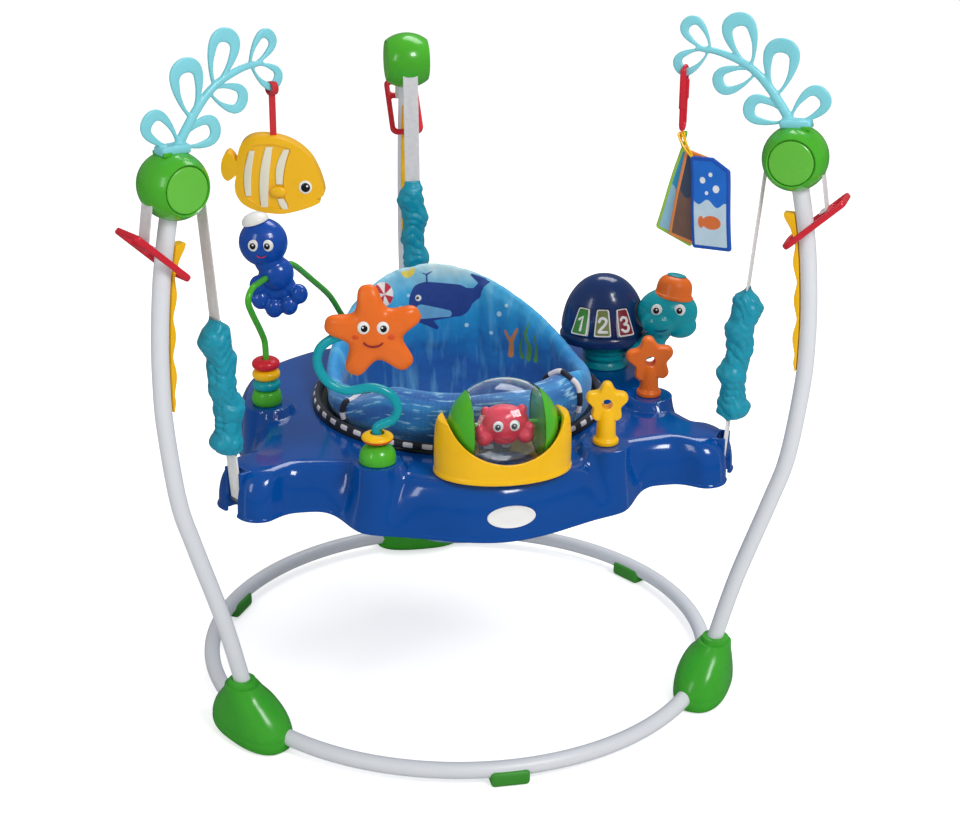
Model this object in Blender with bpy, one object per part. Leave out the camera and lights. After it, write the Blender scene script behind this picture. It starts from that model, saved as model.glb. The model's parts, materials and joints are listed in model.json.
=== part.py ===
# Baby activity jumper: a ring stand with three curved towers, a tray with a turning
# seat that hangs from the towers on straps and springs, and the toys on the tray.
#
# Frame: metres, +Z up, front of the tray at -Y, origin on the floor under the
# middle of the whole object. All parts hang from the empty "stand_axis", the
# vertical axis that the three towers stand round.

import math
import bpy
import bmesh
from mathutils import Matrix, Vector

# Clearances
GAP = 0.0003
RUNNING_GAP = 0.0006

# Base ring, feet and hubs
RING_R = 0.360
TUBE_D = 0.022
TUBE_SIDES = 8
RING_Z = 0.020
TOWER_ANGLES = {"left": 210.0, "right": 330.0, "back": 90.0}
RING_FOOT_ANGLES = {"front": 270.0, "right": 30.0, "left": 150.0}
RING_FOOT_LENGTH = 0.052
RING_FOOT_WIDTH = 0.030
HUB_HALF_WIDTH = 0.070
HUB_INNER_REACH = 0.030
HUB_OUTER_REACH = 0.046
HUB_HEIGHT = 0.092
HUB_WEB = 0.014

# Towers: share of the drum's height, and offset outwards from the ring's centreline
DRUM_Z = 0.783
TOWER_STATIONS = [
    (0.060, 0.010), (0.109, 0.020), (0.239, 0.046), (0.391, 0.084), (0.480, 0.104),
    (0.613, 0.117), (0.690, 0.119), (0.766, 0.117), (0.856, 0.110), (0.939, 0.098),
    (0.967, 0.092),
]

# Strap drums at the tops of the towers
DRUM_OUT = 0.087
DRUM_R = 0.042
DRUM_HALF_WIDTH = 0.0345
DRUM_CAP_R = 0.029
STRAP_WIDTH = 0.023
STRAP_THICKNESS = 0.0016
STRAP_ARC_HALF = 0.0355
STRAP_ARC_RISE = 0.026

# Height adjusters: a loop round the tower that hooks on the notched rack
NOTCH_PITCH = 0.050
NOTCH_COUNT = 3
HEIGHT_TRAVEL = NOTCH_PITCH * (NOTCH_COUNT - 1)
TOP_NOTCH_Z = 0.672
RACK_WIDTH = 0.014
RACK_BASE = 0.0034
RACK_TOOTH = 0.0040
RACK_TOP_Z = 0.712
RACK_FOOT_Z = 0.500
ADJUSTER_LENGTH = 0.100
ADJUSTER_WIDTH = 0.052
ADJUSTER_BAR = 0.008
ADJUSTER_SLOPE = 43.0
ADJUSTER_STRAP_SLOT = 0.016
ADJUSTER_CORNER = 0.006

# Play tray
TRAY_TOP_Z = 0.398
TRAY_DEPTH = 0.076
TRAY_WALL = 0.0042
TRAY_ARM_REACH = 0.385
TRAY_ARM_HALF = 0.049
TRAY_ARM_CORNER = 0.018
TRAY_FRONT_R = 0.311
TRAY_BACK_R = 0.326
TRAY_FRONT_VALLEY_R = 0.281
TRAY_BACK_VALLEY_R = 0.296
ARM_SLOT_DEPTH = 0.016
BOSS_R = 0.030
BOSS_HEIGHT = 0.012

# Seat
SEAT_RING_R = 0.1985
SEAT_RING_WIDTH = 0.016
SEAT_RING_HEIGHT = 0.022
SEAT_RING_RISE = 0.007
SEAT_FLANGE_R = SEAT_RING_R + 0.006
SEAT_BACK_WALL = 0.022
SEAT_FRONT_WALL = 0.044
SEAT_BACK_RISE = 0.147
SEAT_SIDE_RISE = 0.044
SEAT_FRONT_RISE = 0.074
SEAT_BACK_MIDDLE = 96.0
SEAT_BACK_SPAN = 88.0
SEAT_DROP = 0.190
SEAT_FACETS = 30
LEG_HOLE_R = 0.048

# Hangers: straight line from the tray arm's slot up to the drum
TAB_LENGTH = 0.052
SLEEVE_LENGTH = 0.188
SLEEVE_BORE_R = 0.0124
SLEEVE_WAIST_R = 0.0165
SLEEVE_BULGE_R = 0.0215
SLEEVE_FLOOR = 0.004
SPRING_WIRE_R = 0.0013
SPRING_COIL_R = 0.0098
SPRING_TURNS = 5
SPRING_STEPS = 7

# Toys, from the stand's axis
BALL_STANDOFF = 0.0515
BALL_AT = (0.010, -(SEAT_RING_R + BALL_STANDOFF))
BALL_Z = 0.460
BALL_R = 0.060
BALL_HALF_LENGTH = 0.071
BALL_WINDOW_HALF = 0.037
BALL_SHELL = 0.0025
BALL_AXLE_R = 0.0035
BALL_PIN_R = 0.0045
CRADLE_HALF_LENGTH = 0.089
CRADLE_HALF_DEPTH = 0.058
CRADLE_HORN_Z = 0.012
CRADLE_HORN_AT = 0.077
CRADLE_FRONT_DROP = 0.045
CRADLE_CLEARANCE = 0.0045
CRADLE_WELL_R = 0.050
STALK_AT = (-0.148, -0.226)
STALK_DOME_R = 0.0240
STALK_DOME_HEIGHT = 0.026
STALK_R = 0.0060
DISC_R = 0.0205
DISC_BORE_R = 0.0086
DISC_HEIGHT = 0.013
STARFISH_R = 0.062
STARFISH_VALLEY_R = 0.036
STARFISH_THICKNESS = 0.026
YELLOW_STAR_AT = (0.154, -0.219)
ORANGE_STAR_AT = (0.257, -0.062)
LINK_STAR_HEIGHT = 0.084
LINK_STAR_THICKNESS = 0.018
LINK_HOLE_R = 0.0070
YELLOW_STAR_WIDTH = 0.054
ORANGE_STAR_WIDTH = 0.064
WIRE_FRONT_AT = (-0.268, 0.000)
WIRE_BACK_AT = (-0.125, 0.230)
WIRE_R = 0.0043
WIRE_FLAT_Z = 0.586
WIRE_BASE_HEIGHT = 0.020
BEAD_R = 0.019
BEAD_HEIGHT = 0.0145
BEAD_TRAVEL = 0.005
BEAD_CLEARANCE = 0.0008
OCTOPUS_ALONG_WIRE = 0.027
TURTLE_AT = (0.236, 0.098)
TURTLE_SHELL_R = 0.063
TURTLE_SHELL_HEIGHT = 0.100
TURTLE_SHELL_Z = 0.436
TURTLE_SHELL_SQUASH = 0.80
TURTLE_HEAD_RADII = (0.046, 0.036, 0.036)
TURTLE_HEAD_AT = (0.086, -0.026, 0.052)
TURTLE_NECK_R = 0.018
TURTLE_HEAD_ROOM = 0.002
TURTLE_CAP_R = 0.030
BUTTON_START = -124.0
BUTTON_STEP = 30.0
BUTTON_LEAN = 27.0
BUTTON_WIDTH = 0.0254
BUTTON_HEIGHT = 0.040
BUTTON_THICKNESS = 0.007
BUTTON_TRAVEL = 0.0015
TOY_YAW = -11.3
FISH_LENGTH = 0.118
FISH_HEIGHT = 0.102
FISH_THICKNESS = 0.026
LEAF_BAR = 0.0075
SEAWEED_THICKNESS = 0.007
CARD_SIZE = (0.058, 0.120)
CARD_THICKNESS = 0.0045
CARD_RING_WIDTH = 0.0035
CARD_YAW = -49.0
CARD_CUT = (0.024, 0.015)
CARD_NECK = 0.005
# Tilt, distance behind the ring, left side and top of each card
CARD_PLACES = [(17, 0.0042, 0.002, -0.014), (10, 0.0, 0.009, -0.014), (-5, -0.0042, 0.014, -0.024)]


def clear_scene():
    for old in list(bpy.data.objects):
        bpy.data.objects.remove(old, do_unlink=True)


def srgb(code):
    parts = [int(code[i:i + 2], 16) / 255 for i in (0, 2, 4)]
    return [c / 12.92 if c <= 0.04045 else ((c + 0.055) / 1.055) ** 2.4 for c in parts]


def finish(name, code, roughness, metallic=0.0, alpha=1.0):
    material = bpy.data.materials.new(name)
    material.use_nodes = True
    shader = material.node_tree.nodes["Principled BSDF"]
    shader.inputs["Base Color"].default_value = (*srgb(code), 1.0)
    shader.inputs["Roughness"].default_value = roughness
    shader.inputs["Metallic"].default_value = metallic
    shader.inputs["Alpha"].default_value = alpha
    return material


def frame_at(name, parent=None, location=(0, 0, 0), turn=(0, 0, 0)):
    """An empty that holds the pieces of one group; turn is in degrees."""
    empty = bpy.data.objects.new(name, None)
    bpy.context.collection.objects.link(empty)
    empty.parent = parent
    empty.location = location
    empty.rotation_euler = [math.radians(a) for a in turn]
    return empty


def add_piece(name, mesh, material, parent, location=(0, 0, 0), turn=(0, 0, 0), smooth=40):
    """Make an object of a bmesh, with its faces out, under its parent frame."""
    bmesh.ops.recalc_face_normals(mesh, faces=mesh.faces[:])
    data = bpy.data.meshes.new(name)
    mesh.to_mesh(data)
    mesh.free()
    data.materials.append(material)
    data.shade_smooth()
    data.set_sharp_from_angle(angle=math.radians(smooth))
    piece = bpy.data.objects.new(name, data)
    bpy.context.collection.objects.link(piece)
    piece.parent = parent
    piece.location = location
    piece.rotation_euler = [math.radians(a) for a in turn]
    return piece


def helper(name, mesh, parent, location=(0, 0, 0), turn=(0, 0, 0)):
    """A hidden shape that only cuts or extends a piece."""
    tool = add_piece(name, mesh, HELPER, parent, location, turn)
    tool.hide_render = True
    tool.display_type = "WIRE"
    return tool


def combine(piece, operation, tools):
    for tool in tools:
        step = piece.modifiers.new(tool.name, "BOOLEAN")
        step.operation = operation
        step.solver = "EXACT"
        step.object = tool


def cut(piece, *tools):
    combine(piece, "DIFFERENCE", tools)


def join(piece, *tools):
    combine(piece, "UNION", tools)


# Mesh builders


def skin(rings, wrap=False):
    """Faces between rings of points; a ring of one point is a pole."""
    mesh = bmesh.new()
    loops = [[mesh.verts.new(p) for p in ring] for ring in rings]
    pairs = list(zip(loops, loops[1:]))
    if wrap:
        pairs.append((loops[-1], loops[0]))
    for low, high in pairs:
        count = max(len(low), len(high))
        for i in range(count):
            j = (i + 1) % count
            corners = [low[i % len(low)], low[j % len(low)], high[j % len(high)], high[i % len(high)]]
            mesh.faces.new(list(dict.fromkeys(corners)))
    if not wrap:
        for loop in (loops[0], loops[-1]):
            if len(loop) > 2:
                mesh.faces.new(loop)
    return mesh


def around(radius, count, z=0.0, depth=None):
    """Points of a circle or an ellipse in the XY plane."""
    depth = radius if depth is None else depth
    step = 2 * math.pi / count
    return [(radius * math.cos(i * step), depth * math.sin(i * step), z) for i in range(count)]


def turned(profile, count, wrap=False, squash=1.0):
    """A solid turned round Z from (radius, z) points."""
    rings = []
    for radius, z in profile:
        rings.append(around(radius, count, z, radius * squash) if radius > 1e-6 else [(0, 0, z)])
    return skin(rings, wrap)


def edge_radius(size, corner):
    return min(corner, 0.45 * min(size))


def edge_bevel(size, corner):
    return 0.6 * edge_radius(size, corner)


def rounded_box(size, corner, rows=2):
    """A box with its upright edges rounded and its ends chamfered."""
    x, y, z = (s / 2 for s in size)
    edge = edge_radius(size, corner)

    def outline(inset, level):
        points = []
        for cx, cy, start in ((1, 1, 0), (-1, 1, 90), (-1, -1, 180), (1, -1, 270)):
            for i in range(rows + 1):
                a = math.radians(start + 90 * i / rows)
                px = cx * (x - edge) + (edge - inset) * math.cos(a)
                py = cy * (y - edge) + (edge - inset) * math.sin(a)
                points.append((px, py, level))
        return points

    bevel = edge_bevel(size, corner)
    return skin([outline(bevel, -z), outline(0, bevel - z), outline(0, z - bevel), outline(bevel, z)])


def ball(radii, count=10, rows=6):
    rings = []
    for i in range(rows + 1):
        a = math.pi * (i / rows - 0.5)
        if i in (0, rows):
            rings.append([(0, 0, radii[2] * math.sin(a))])
        else:
            wide = radii[0] * math.cos(a)
            rings.append(around(wide, count, radii[2] * math.sin(a), radii[1] * math.cos(a)))
    return skin(rings)


def curve_through(points, steps):
    """A smooth line through the points, as a Catmull-Rom curve."""
    points = [Vector(p) for p in points]
    ends = [2 * points[0] - points[1], *points, 2 * points[-1] - points[-2]]
    line = []
    for i in range(len(points) - 1):
        a, b, c, d = ends[i:i + 4]
        for k in range(steps):
            t = k / steps
            line.append(0.5 * (2 * b + (c - a) * t + (2 * a - 5 * b + 4 * c - d) * t ** 2
                               + (3 * b - a - 3 * c + d) * t ** 3))
    line.append(points[-1])
    return line


def closed_curve_through(points, steps):
    points = [Vector(p) for p in points]
    count = len(points)
    line = []
    for i in range(count):
        a, b, c, d = (points[(i + k - 1) % count] for k in range(4))
        for k in range(steps):
            t = k / steps
            line.append(0.5 * (2 * b + (c - a) * t + (2 * a - 5 * b + 4 * c - d) * t ** 2
                               + (3 * b - a - 3 * c + d) * t ** 3))
    return line


def disc_section(radius, sides, height=None):
    """A round section, or an oval one with its own half height."""
    height = radius if height is None else height
    step = 2 * math.pi / sides
    return [(radius * math.cos(i * step), height * math.sin(i * step)) for i in range(sides)]


def strip_section(width, thickness):
    return [(-width / 2, -thickness / 2), (width / 2, -thickness / 2),
            (width / 2, thickness / 2), (-width / 2, thickness / 2)]


def sweep(line, section, side=(0, 1, 0), closed=False):
    """Carry a section along a flat line; its first measure runs along side."""
    line = [Vector(p) for p in line]
    side = Vector(side).normalized()
    rings = []
    for i, point in enumerate(line):
        before = line[i - 1] if i or closed else point
        after = line[(i + 1) % len(line)] if i + 1 < len(line) or closed else point
        normal = (after - before).normalized().cross(side).normalized()
        rings.append([point + side * a + normal * b for a, b in section])
    return skin(rings, wrap=closed)


def plate(outline, thickness, bevel=0.0):
    """A flat (x, z) outline given a thickness along Y, its rims eased by bevel."""
    middle = sum((Vector((x, 0, z)) for x, z in outline), Vector()) / len(outline)
    rings = []
    for y, ease in ((-thickness / 2, bevel), (bevel - thickness / 2, 0.0),
                    (thickness / 2 - bevel, 0.0), (thickness / 2, bevel)):
        if bevel == 0.0 and rings and abs(y - rings[-1][0][1]) < 1e-9:
            continue
        ring = []
        for x, z in outline:
            point = Vector((x, 0, z))
            reach = (point - middle).length
            point = middle + (point - middle) * (1 - ease / reach)
            ring.append((point.x, y, point.z))
        rings.append(ring)
    return skin(rings)


def loop_plate(outer, inner, thickness, ease=0.0):
    """A flat frame in the XZ plane between two outlines with as many points.

    ease, from 0 to 0.5, takes that share of the bar's width off each of its corners.
    """
    if ease == 0.0:
        corners = ((0, -0.5), (0, 0.5), (1, 0.5), (1, -0.5))
    else:
        near, far = ease, 1 - ease
        corners = ((near, -0.5), (0, ease - 0.5), (0, 0.5 - ease), (near, 0.5),
                   (far, 0.5), (1, 0.5 - ease), (1, ease - 0.5), (far, -0.5))
    rings = []
    for share, y in corners:
        rings.append([(a + (c - a) * share, y * thickness, b + (d - b) * share)
                      for (a, b), (c, d) in zip(outer, inner)])
    return skin(rings, wrap=True)


def star_outline(tip, valley, turn=90.0, points=5):
    outline = []
    for i in range(points):
        for angle, radius in ((-9, tip * 0.93), (0, tip), (9, tip * 0.93), (36, valley)):
            a = math.radians(turn + 360 * i / points + angle)
            outline.append((radius * math.cos(a), radius * math.sin(a)))
    return outline


# Shared shapes of the stand


def tower_line():
    points = [(RING_R + out, 0.0, share * DRUM_Z) for share, out in TOWER_STATIONS]
    return curve_through(points, 2)


def tower_r(z):
    """Radius of the tower's centreline at a height."""
    line = tower_line()
    for low, high in zip(line, line[1:]):
        if low.z <= z <= high.z:
            return low.x + (high.x - low.x) * (z - low.z) / (high.z - low.z)
    return line[-1].x


def ring_arc(start, end, count):
    """Points of the base ring between two angles from a tower's own angle."""
    line = []
    for i in range(count + 1):
        a = math.radians(start + (end - start) * i / count)
        line.append((RING_R * math.cos(a), RING_R * math.sin(a), RING_Z))
    return line


def ring_tube(radius, start, end, count, sides=TUBE_SIDES):
    """A stretch of the base ring's tube, with each section square to the ring."""
    rings = []
    for point in ring_arc(start, end, count):
        out = Vector((point[0], point[1], 0)).normalized()
        rings.append([Vector(point) + out * a + Vector((0, 0, b)) for a, b in disc_section(radius, sides)])
    return skin(rings)


WEB_ANGLE = math.degrees(HUB_WEB / 2 / RING_R)
TUBE_STEPS = 14
TUBE_STEP_ANGLE = (120 - 2 * WEB_ANGLE) / TUBE_STEPS


def make_base(stand):
    for name, angle in RING_FOOT_ANGLES.items():
        start = angle - 60 + WEB_ANGLE
        tube = ring_tube(TUBE_D / 2, start, start + TUBE_STEPS * TUBE_STEP_ANGLE, TUBE_STEPS)
        add_piece("base_tube_" + name, tube, WHITE_STEEL, stand)
        mid = frame_at("ring_foot_frame_" + name, stand, turn=(0, 0, angle))
        foot_mesh = rounded_box((RING_FOOT_WIDTH, RING_FOOT_LENGTH, RING_Z + 0.002), 0.006)
        at = (RING_R, 0, (RING_Z + 0.002) / 2)
        foot = add_piece("ring_foot_" + name, foot_mesh, GREEN_RUBBER, mid, location=at)
        groove = ring_tube(TUBE_D / 2 + GAP, -3 * TUBE_STEP_ANGLE, 3 * TUBE_STEP_ANGLE, 6)
        cut(foot, helper("ring_foot_groove_" + name, groove, mid))


def hub_section(z, half_width, inner, outer, count=14):
    """One level of a hub: an egg-shaped ring, reaching inner and outer of the ring's centreline."""
    centre = RING_R + (outer - inner) / 2
    half_depth = (outer + inner) / 2
    ring = []
    for i in range(count):
        a = 2 * math.pi * i / count
        c, s = math.cos(a), math.sin(a)
        x = centre + half_depth * math.copysign(abs(c) ** 0.8, c)
        y = half_width * math.copysign(abs(s) ** 0.8, s)
        ring.append((x, y, z))
    return ring


def make_hub(name, tower_frame):
    inner, outer, wide = HUB_INNER_REACH, HUB_OUTER_REACH, HUB_HALF_WIDTH
    mouth = tower_r(HUB_HEIGHT) - RING_R
    neck = TUBE_D / 2 + 0.006
    rings = [
        hub_section(0.0, wide * 0.86, inner * 0.7, outer * 0.7),
        hub_section(0.06 * HUB_HEIGHT, wide * 0.97, inner * 0.93, outer * 0.9),
        hub_section(0.25 * HUB_HEIGHT, wide, inner, outer),
        hub_section(0.50 * HUB_HEIGHT, wide * 0.80, inner * 0.85, outer * 0.98),
        hub_section(0.78 * HUB_HEIGHT, wide * 0.50, inner * 0.35, outer * 0.95),
        hub_section(0.95 * HUB_HEIGHT, neck + 0.008, neck + 0.003 - mouth, mouth + neck + 0.003),
        hub_section(HUB_HEIGHT, neck, neck - mouth - 0.002, mouth + neck - 0.002),
    ]
    hub = add_piece("hub_" + name, skin(rings), GREEN_PLASTIC, tower_frame)
    bore_r = TUBE_D / 2 + GAP
    end_gap = math.degrees(GAP / RING_R)
    start = WEB_ANGLE - end_gap
    reach = WEB_ANGLE + 3 * TUBE_STEP_ANGLE
    sockets = []
    for sign, word in ((1, "a"), (-1, "b")):
        bore = ring_tube(bore_r, sign * start, sign * reach, 3)
        sockets.append(helper("hub_ring_bore_%s_%s" % (name, word), bore, tower_frame))
    line = tower_line()
    foot = line[0] - (line[1] - line[0]).normalized() * GAP
    bore = sweep([foot, *line[1:]], disc_section(bore_r, TUBE_SIDES))
    sockets.append(helper("hub_tower_bore_" + name, bore, tower_frame))
    cut(hub, *sockets)


def drum_profile():
    """Half of the drum's outline, from the cap's middle outwards and back: (radius, side)."""
    w, r = DRUM_HALF_WIDTH, DRUM_R
    half = [(0.0, w), (DRUM_CAP_R, w - 0.0015), (0.90 * r, 0.82 * w), (0.985 * r, 0.45 * w)]
    return half + [(r, 0.0)] + [(radius, -side) for radius, side in reversed(half)]


def drum_mesh(extra=0.0):
    grow = 1 + extra / DRUM_R
    mesh = turned([(radius * grow, side * grow) for radius, side in drum_profile()], 16)
    bmesh.ops.rotate(mesh, matrix=Matrix.Rotation(math.radians(-90), 3, "X"), verts=mesh.verts)
    return mesh


def strap_path():
    """The webbing in the tower's plane, from the sleeve's mouth over the drum to the adjuster."""
    start = hanger_point(strap_foot_length())
    arc = []
    for i in range(9):
        a = math.pi * (1 - i / 8)
        arc.append((DRUM_R_AT + STRAP_ARC_HALF * math.cos(a), 0, DRUM_Z - 0.008 + STRAP_ARC_RISE * math.sin(a)))
    tail = adjuster_point(ADJUSTER_STRAP_AT, ADJUSTER_BAR / 2 + STRAP_THICKNESS / 2 + GAP)
    return [Vector(start), *[Vector(p) for p in arc], tail]


DRUM_R_AT = RING_R + DRUM_OUT

# The hanger's line: x out from the axis, z up
HANGER_FOOT = Vector((TRAY_ARM_REACH - ARM_SLOT_DEPTH / 2, 0, TRAY_TOP_Z - 0.042))
HANGER_TOP = Vector((DRUM_R_AT - STRAP_ARC_HALF, 0, DRUM_Z - 0.008))
HANGER_LINE = (HANGER_TOP - HANGER_FOOT).normalized()
HANGER_TILT = math.degrees(math.atan2(HANGER_LINE.x, HANGER_LINE.z))


def hanger_point(length):
    return HANGER_FOOT + HANGER_LINE * length


def strap_foot_length():
    """Where the strap ends, measured along the hanger: just above the spring."""
    return TAB_LENGTH + SLEEVE_LENGTH - 0.010


# The adjuster's own line, from its outer tip down to the bar in the top notch
SLOPE = math.radians(ADJUSTER_SLOPE)
ADJUSTER_LINE = Vector((-math.cos(SLOPE), 0, -math.sin(SLOPE)))
ADJUSTER_UP = Vector((-math.sin(SLOPE), 0, math.cos(SLOPE)))
ADJUSTER_STRAP_AT = ADJUSTER_BAR + ADJUSTER_STRAP_SLOT + ADJUSTER_BAR / 2


def rack_face_r(z):
    return tower_r(z) - TUBE_D / 2 - GAP


def rack_chord():
    """The straight line of the teeth's tips between the top and the bottom notch."""
    low_z = TOP_NOTCH_Z - HEIGHT_TRAVEL
    depth = RACK_BASE + RACK_TOOTH
    high = Vector((rack_face_r(TOP_NOTCH_Z) - depth, 0, TOP_NOTCH_Z))
    low = Vector((rack_face_r(low_z) - depth, 0, low_z))
    return low, high


def slide_line():
    """Direction in which the adjuster goes down the tower."""
    low, high = rack_chord()
    return (low - high).normalized()


def adjuster_bar_reach(towards):
    """How far the bar's square section reaches from its centre in a direction."""
    return ADJUSTER_BAR / 2 * (abs(ADJUSTER_LINE.dot(towards)) + abs(ADJUSTER_UP.dot(towards)))


def adjuster_bar_centre():
    """The hook bar's centre: its corner passes just off the tips of the rack's teeth."""
    down = slide_line()
    inwards = Vector((down.z, 0, -down.x))
    if inwards.x > 0:
        inwards.negate()
    high = rack_chord()[1]
    return high + inwards * (adjuster_bar_reach(inwards) + GAP)


def adjuster_point(length, above=0.0):
    """A point on the adjuster's middle line, counted from its outer tip."""
    tip = adjuster_bar_centre() - ADJUSTER_LINE * (ADJUSTER_LENGTH - ADJUSTER_BAR / 2)
    return tip + ADJUSTER_LINE * length + ADJUSTER_UP * above


def stand_axis_y():
    """Puts the origin under the middle: the front foot and the back adjuster reach farthest."""
    front = RING_R + RING_FOOT_WIDTH / 2
    ease = edge_bevel((ADJUSTER_LENGTH, ADJUSTER_WIDTH, ADJUSTER_BAR), ADJUSTER_CORNER)
    back = adjuster_point(0.0).x + math.sin(SLOPE) * (ADJUSTER_BAR / 2 - ease)
    return (front - back) / 2


def make_tower(name, tower_frame):
    tube = sweep(tower_line(), disc_section(TUBE_D / 2, TUBE_SIDES))
    add_piece("tower_" + name, tube, WHITE_STEEL, tower_frame)


def make_housing(name, tower_frame):
    at = (DRUM_R_AT, 0, DRUM_Z)
    drum = add_piece("housing_" + name, drum_mesh(), GREEN_PLASTIC, tower_frame, location=at)
    line = tower_line()
    top = line[-1] + (line[-1] - line[-2]).normalized() * GAP
    bore = sweep([*line[:-1], top], disc_section(TUBE_D / 2 + GAP, TUBE_SIDES))
    webbing = strip_section(STRAP_WIDTH + 2 * GAP, STRAP_THICKNESS + 2 * GAP)
    slot = sweep(strap_path(), webbing)
    cut(drum, helper("drum_bore_" + name, bore, tower_frame), helper("drum_slot_" + name, slot, tower_frame))


def make_rack(name, tower_frame):
    low, high = rack_chord()
    down = slide_line()

    def tip_r(z):
        return high.x + (z - high.z) * down.x / down.z

    outline = [(rack_face_r(RACK_FOOT_Z), RACK_FOOT_Z)]
    levels = 6
    for i in range(1, levels + 1):
        z = RACK_FOOT_Z + (RACK_TOP_Z - RACK_FOOT_Z) * i / levels
        outline.append((rack_face_r(z), z))
    outline.append((rack_face_r(RACK_TOP_Z) - 0.016, RACK_TOP_Z))
    outline.append((tip_r(RACK_TOP_Z - 0.014) - 0.004, RACK_TOP_Z - 0.014))
    for i in range(NOTCH_COUNT):
        z = TOP_NOTCH_Z - i * NOTCH_PITCH
        outline.append((tip_r(z + 0.012), z + 0.012))
        outline.append((tip_r(z + 0.009) + 0.65 * RACK_TOOTH, z + 0.007))
        outline.append((tip_r(z - 0.004) + 0.65 * RACK_TOOTH, z - 0.005))
        outline.append((tip_r(z - 0.012), z - 0.012))
    last = TOP_NOTCH_Z - HEIGHT_TRAVEL - 0.020
    outline.append((rack_face_r(last) - RACK_BASE - 0.4 * RACK_TOOTH, last))
    outline.append((rack_face_r(RACK_FOOT_Z) - RACK_BASE, RACK_FOOT_Z + 0.004))
    add_piece("notch_rack_" + name, plate(outline, RACK_WIDTH), YELLOW_PLASTIC, tower_frame)


def make_adjuster(name, tower_frame):
    """A sloping loop: the tube passes its long opening, the strap's end its short one."""
    middle = adjuster_point(ADJUSTER_LENGTH / 2)
    holder = frame_at("adjuster_frame_" + name, tower_frame, location=middle, turn=(0, -ADJUSTER_SLOPE, 0))
    size = (ADJUSTER_LENGTH, ADJUSTER_WIDTH, ADJUSTER_BAR)
    loop = add_piece("adjuster_" + name, rounded_box(size, ADJUSTER_CORNER), RED_PLASTIC, holder)
    inner_width = ADJUSTER_WIDTH - 2 * ADJUSTER_BAR
    half = ADJUSTER_LENGTH / 2
    tube_start = ADJUSTER_STRAP_AT + ADJUSTER_BAR / 2
    openings = ((ADJUSTER_BAR, tube_start - ADJUSTER_BAR, "strap"),
                (tube_start, ADJUSTER_LENGTH - ADJUSTER_BAR, "tube"))
    for start, end, word in openings:
        hole = rounded_box((end - start, inner_width, 3 * ADJUSTER_BAR), 0.002, rows=1)
        at = (half - (start + end) / 2, 0, 0)
        cut(loop, helper("adjuster_%s_hole_%s" % (word, name), hole, holder, location=at))


def make_strap(name, tower_frame):
    webbing = sweep(strap_path(), strip_section(STRAP_WIDTH, STRAP_THICKNESS))
    add_piece("strap_" + name, webbing, GREY_WEBBING, tower_frame)


def make_hanger(name, tower_frame):
    """The spring in its gathered sleeve, and the sleeve's tab down to the tray."""
    hanger = frame_at("hanger_frame_" + name, tower_frame, location=HANGER_FOOT, turn=(0, HANGER_TILT, 0))
    low = TAB_LENGTH
    high = low + SLEEVE_LENGTH
    profile = [(0.0, low), (0.8 * SLEEVE_WAIST_R, low)]
    rows = 9
    for i in range(rows):
        z = low + 0.008 + (SLEEVE_LENGTH - 0.016) * i / (rows - 1)
        swell = math.sin(math.pi * (i + 0.5) / 3) ** 2
        profile.append((SLEEVE_WAIST_R + (SLEEVE_BULGE_R - SLEEVE_WAIST_R) * swell, z))
    profile += [(0.8 * SLEEVE_WAIST_R + 0.001, high), (SLEEVE_BORE_R, high)]
    profile += [(SLEEVE_BORE_R, low + SLEEVE_FLOOR), (0.0, low + SLEEVE_FLOOR)]
    sleeve = add_piece("sleeve_" + name, turned(profile, 9), TEAL_FABRIC, hanger)
    tab_size = (STRAP_THICKNESS * 1.6, STRAP_WIDTH, TAB_LENGTH + 0.002)
    tab = rounded_box(tab_size, 0.0005, rows=1)
    join(sleeve, helper("sleeve_tab_" + name, tab, hanger, location=(0, 0, TAB_LENGTH / 2 + 0.001)))
    floor_z = low + SLEEVE_FLOOR + GAP + SPRING_WIRE_R
    top_z = strap_foot_length() - GAP - SPRING_WIRE_R
    steps = SPRING_TURNS * SPRING_STEPS
    line = []
    for i in range(steps + 1):
        a = 2 * math.pi * i / SPRING_STEPS
        line.append(Vector((SPRING_COIL_R * math.cos(a), SPRING_COIL_R * math.sin(a),
                            floor_z + (top_z - floor_z) * i / steps)))
    rings = []
    for i, point in enumerate(line):
        heading = line[min(i + 1, steps)] - line[max(i - 1, 0)]
        out = Vector((point.x, point.y, 0)).normalized()
        up = heading.normalized().cross(out).normalized()
        rings.append([point + out * a + up * b for a, b in disc_section(SPRING_WIRE_R, 4)])
    add_piece("spring_" + name, skin(rings), STEEL, hanger)


# Seaweed arches: leaves as (root, tip) in the tower's plane, from the drum's centre

SEAWEED_STEM = [(-0.004, 0.038), (-0.036, 0.083), (-0.065, 0.110), (-0.102, 0.125), (-0.134, 0.129)]
SEAWEED_LEAVES = [
    ((-0.010, 0.044), (0.034, 0.088)), ((-0.030, 0.076), (-0.024, 0.149)),
    ((-0.064, 0.110), (-0.088, 0.176)), ((-0.116, 0.127), (-0.150, 0.165)),
    ((-0.010, 0.048), (-0.070, 0.062)), ((-0.056, 0.105), (-0.110, 0.084)),
    ((-0.118, 0.127), (-0.160, 0.100)),
]
HANG_LEAF = SEAWEED_LEAVES[-1]
HANG_LEAF_POINTS = 20


def leaf_outline(root, tip, inset, count):
    """A drop-shaped outline with its point at the root."""
    root, tip = Vector(root), Vector(tip)
    along = tip - root
    length = along.length
    along.normalize()
    across = Vector((-along.y, along.x))
    half = 0.31 * length
    outline = []
    for i in range(count):
        a = 2 * math.pi * (i + 0.5) / count
        u = length * (0.5 - 0.5 * math.cos(a))
        v = half * math.sin(a) * (0.45 + 0.75 * u / length)
        centre = 0.58 * length
        shrink = Vector((u - centre, v))
        shrink *= max(0.0, 1 - inset / max(shrink.length, 1e-6))
        point = root + along * (centre + shrink.x) + across * shrink.y
        outline.append((point.x, point.y))
    return outline


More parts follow.
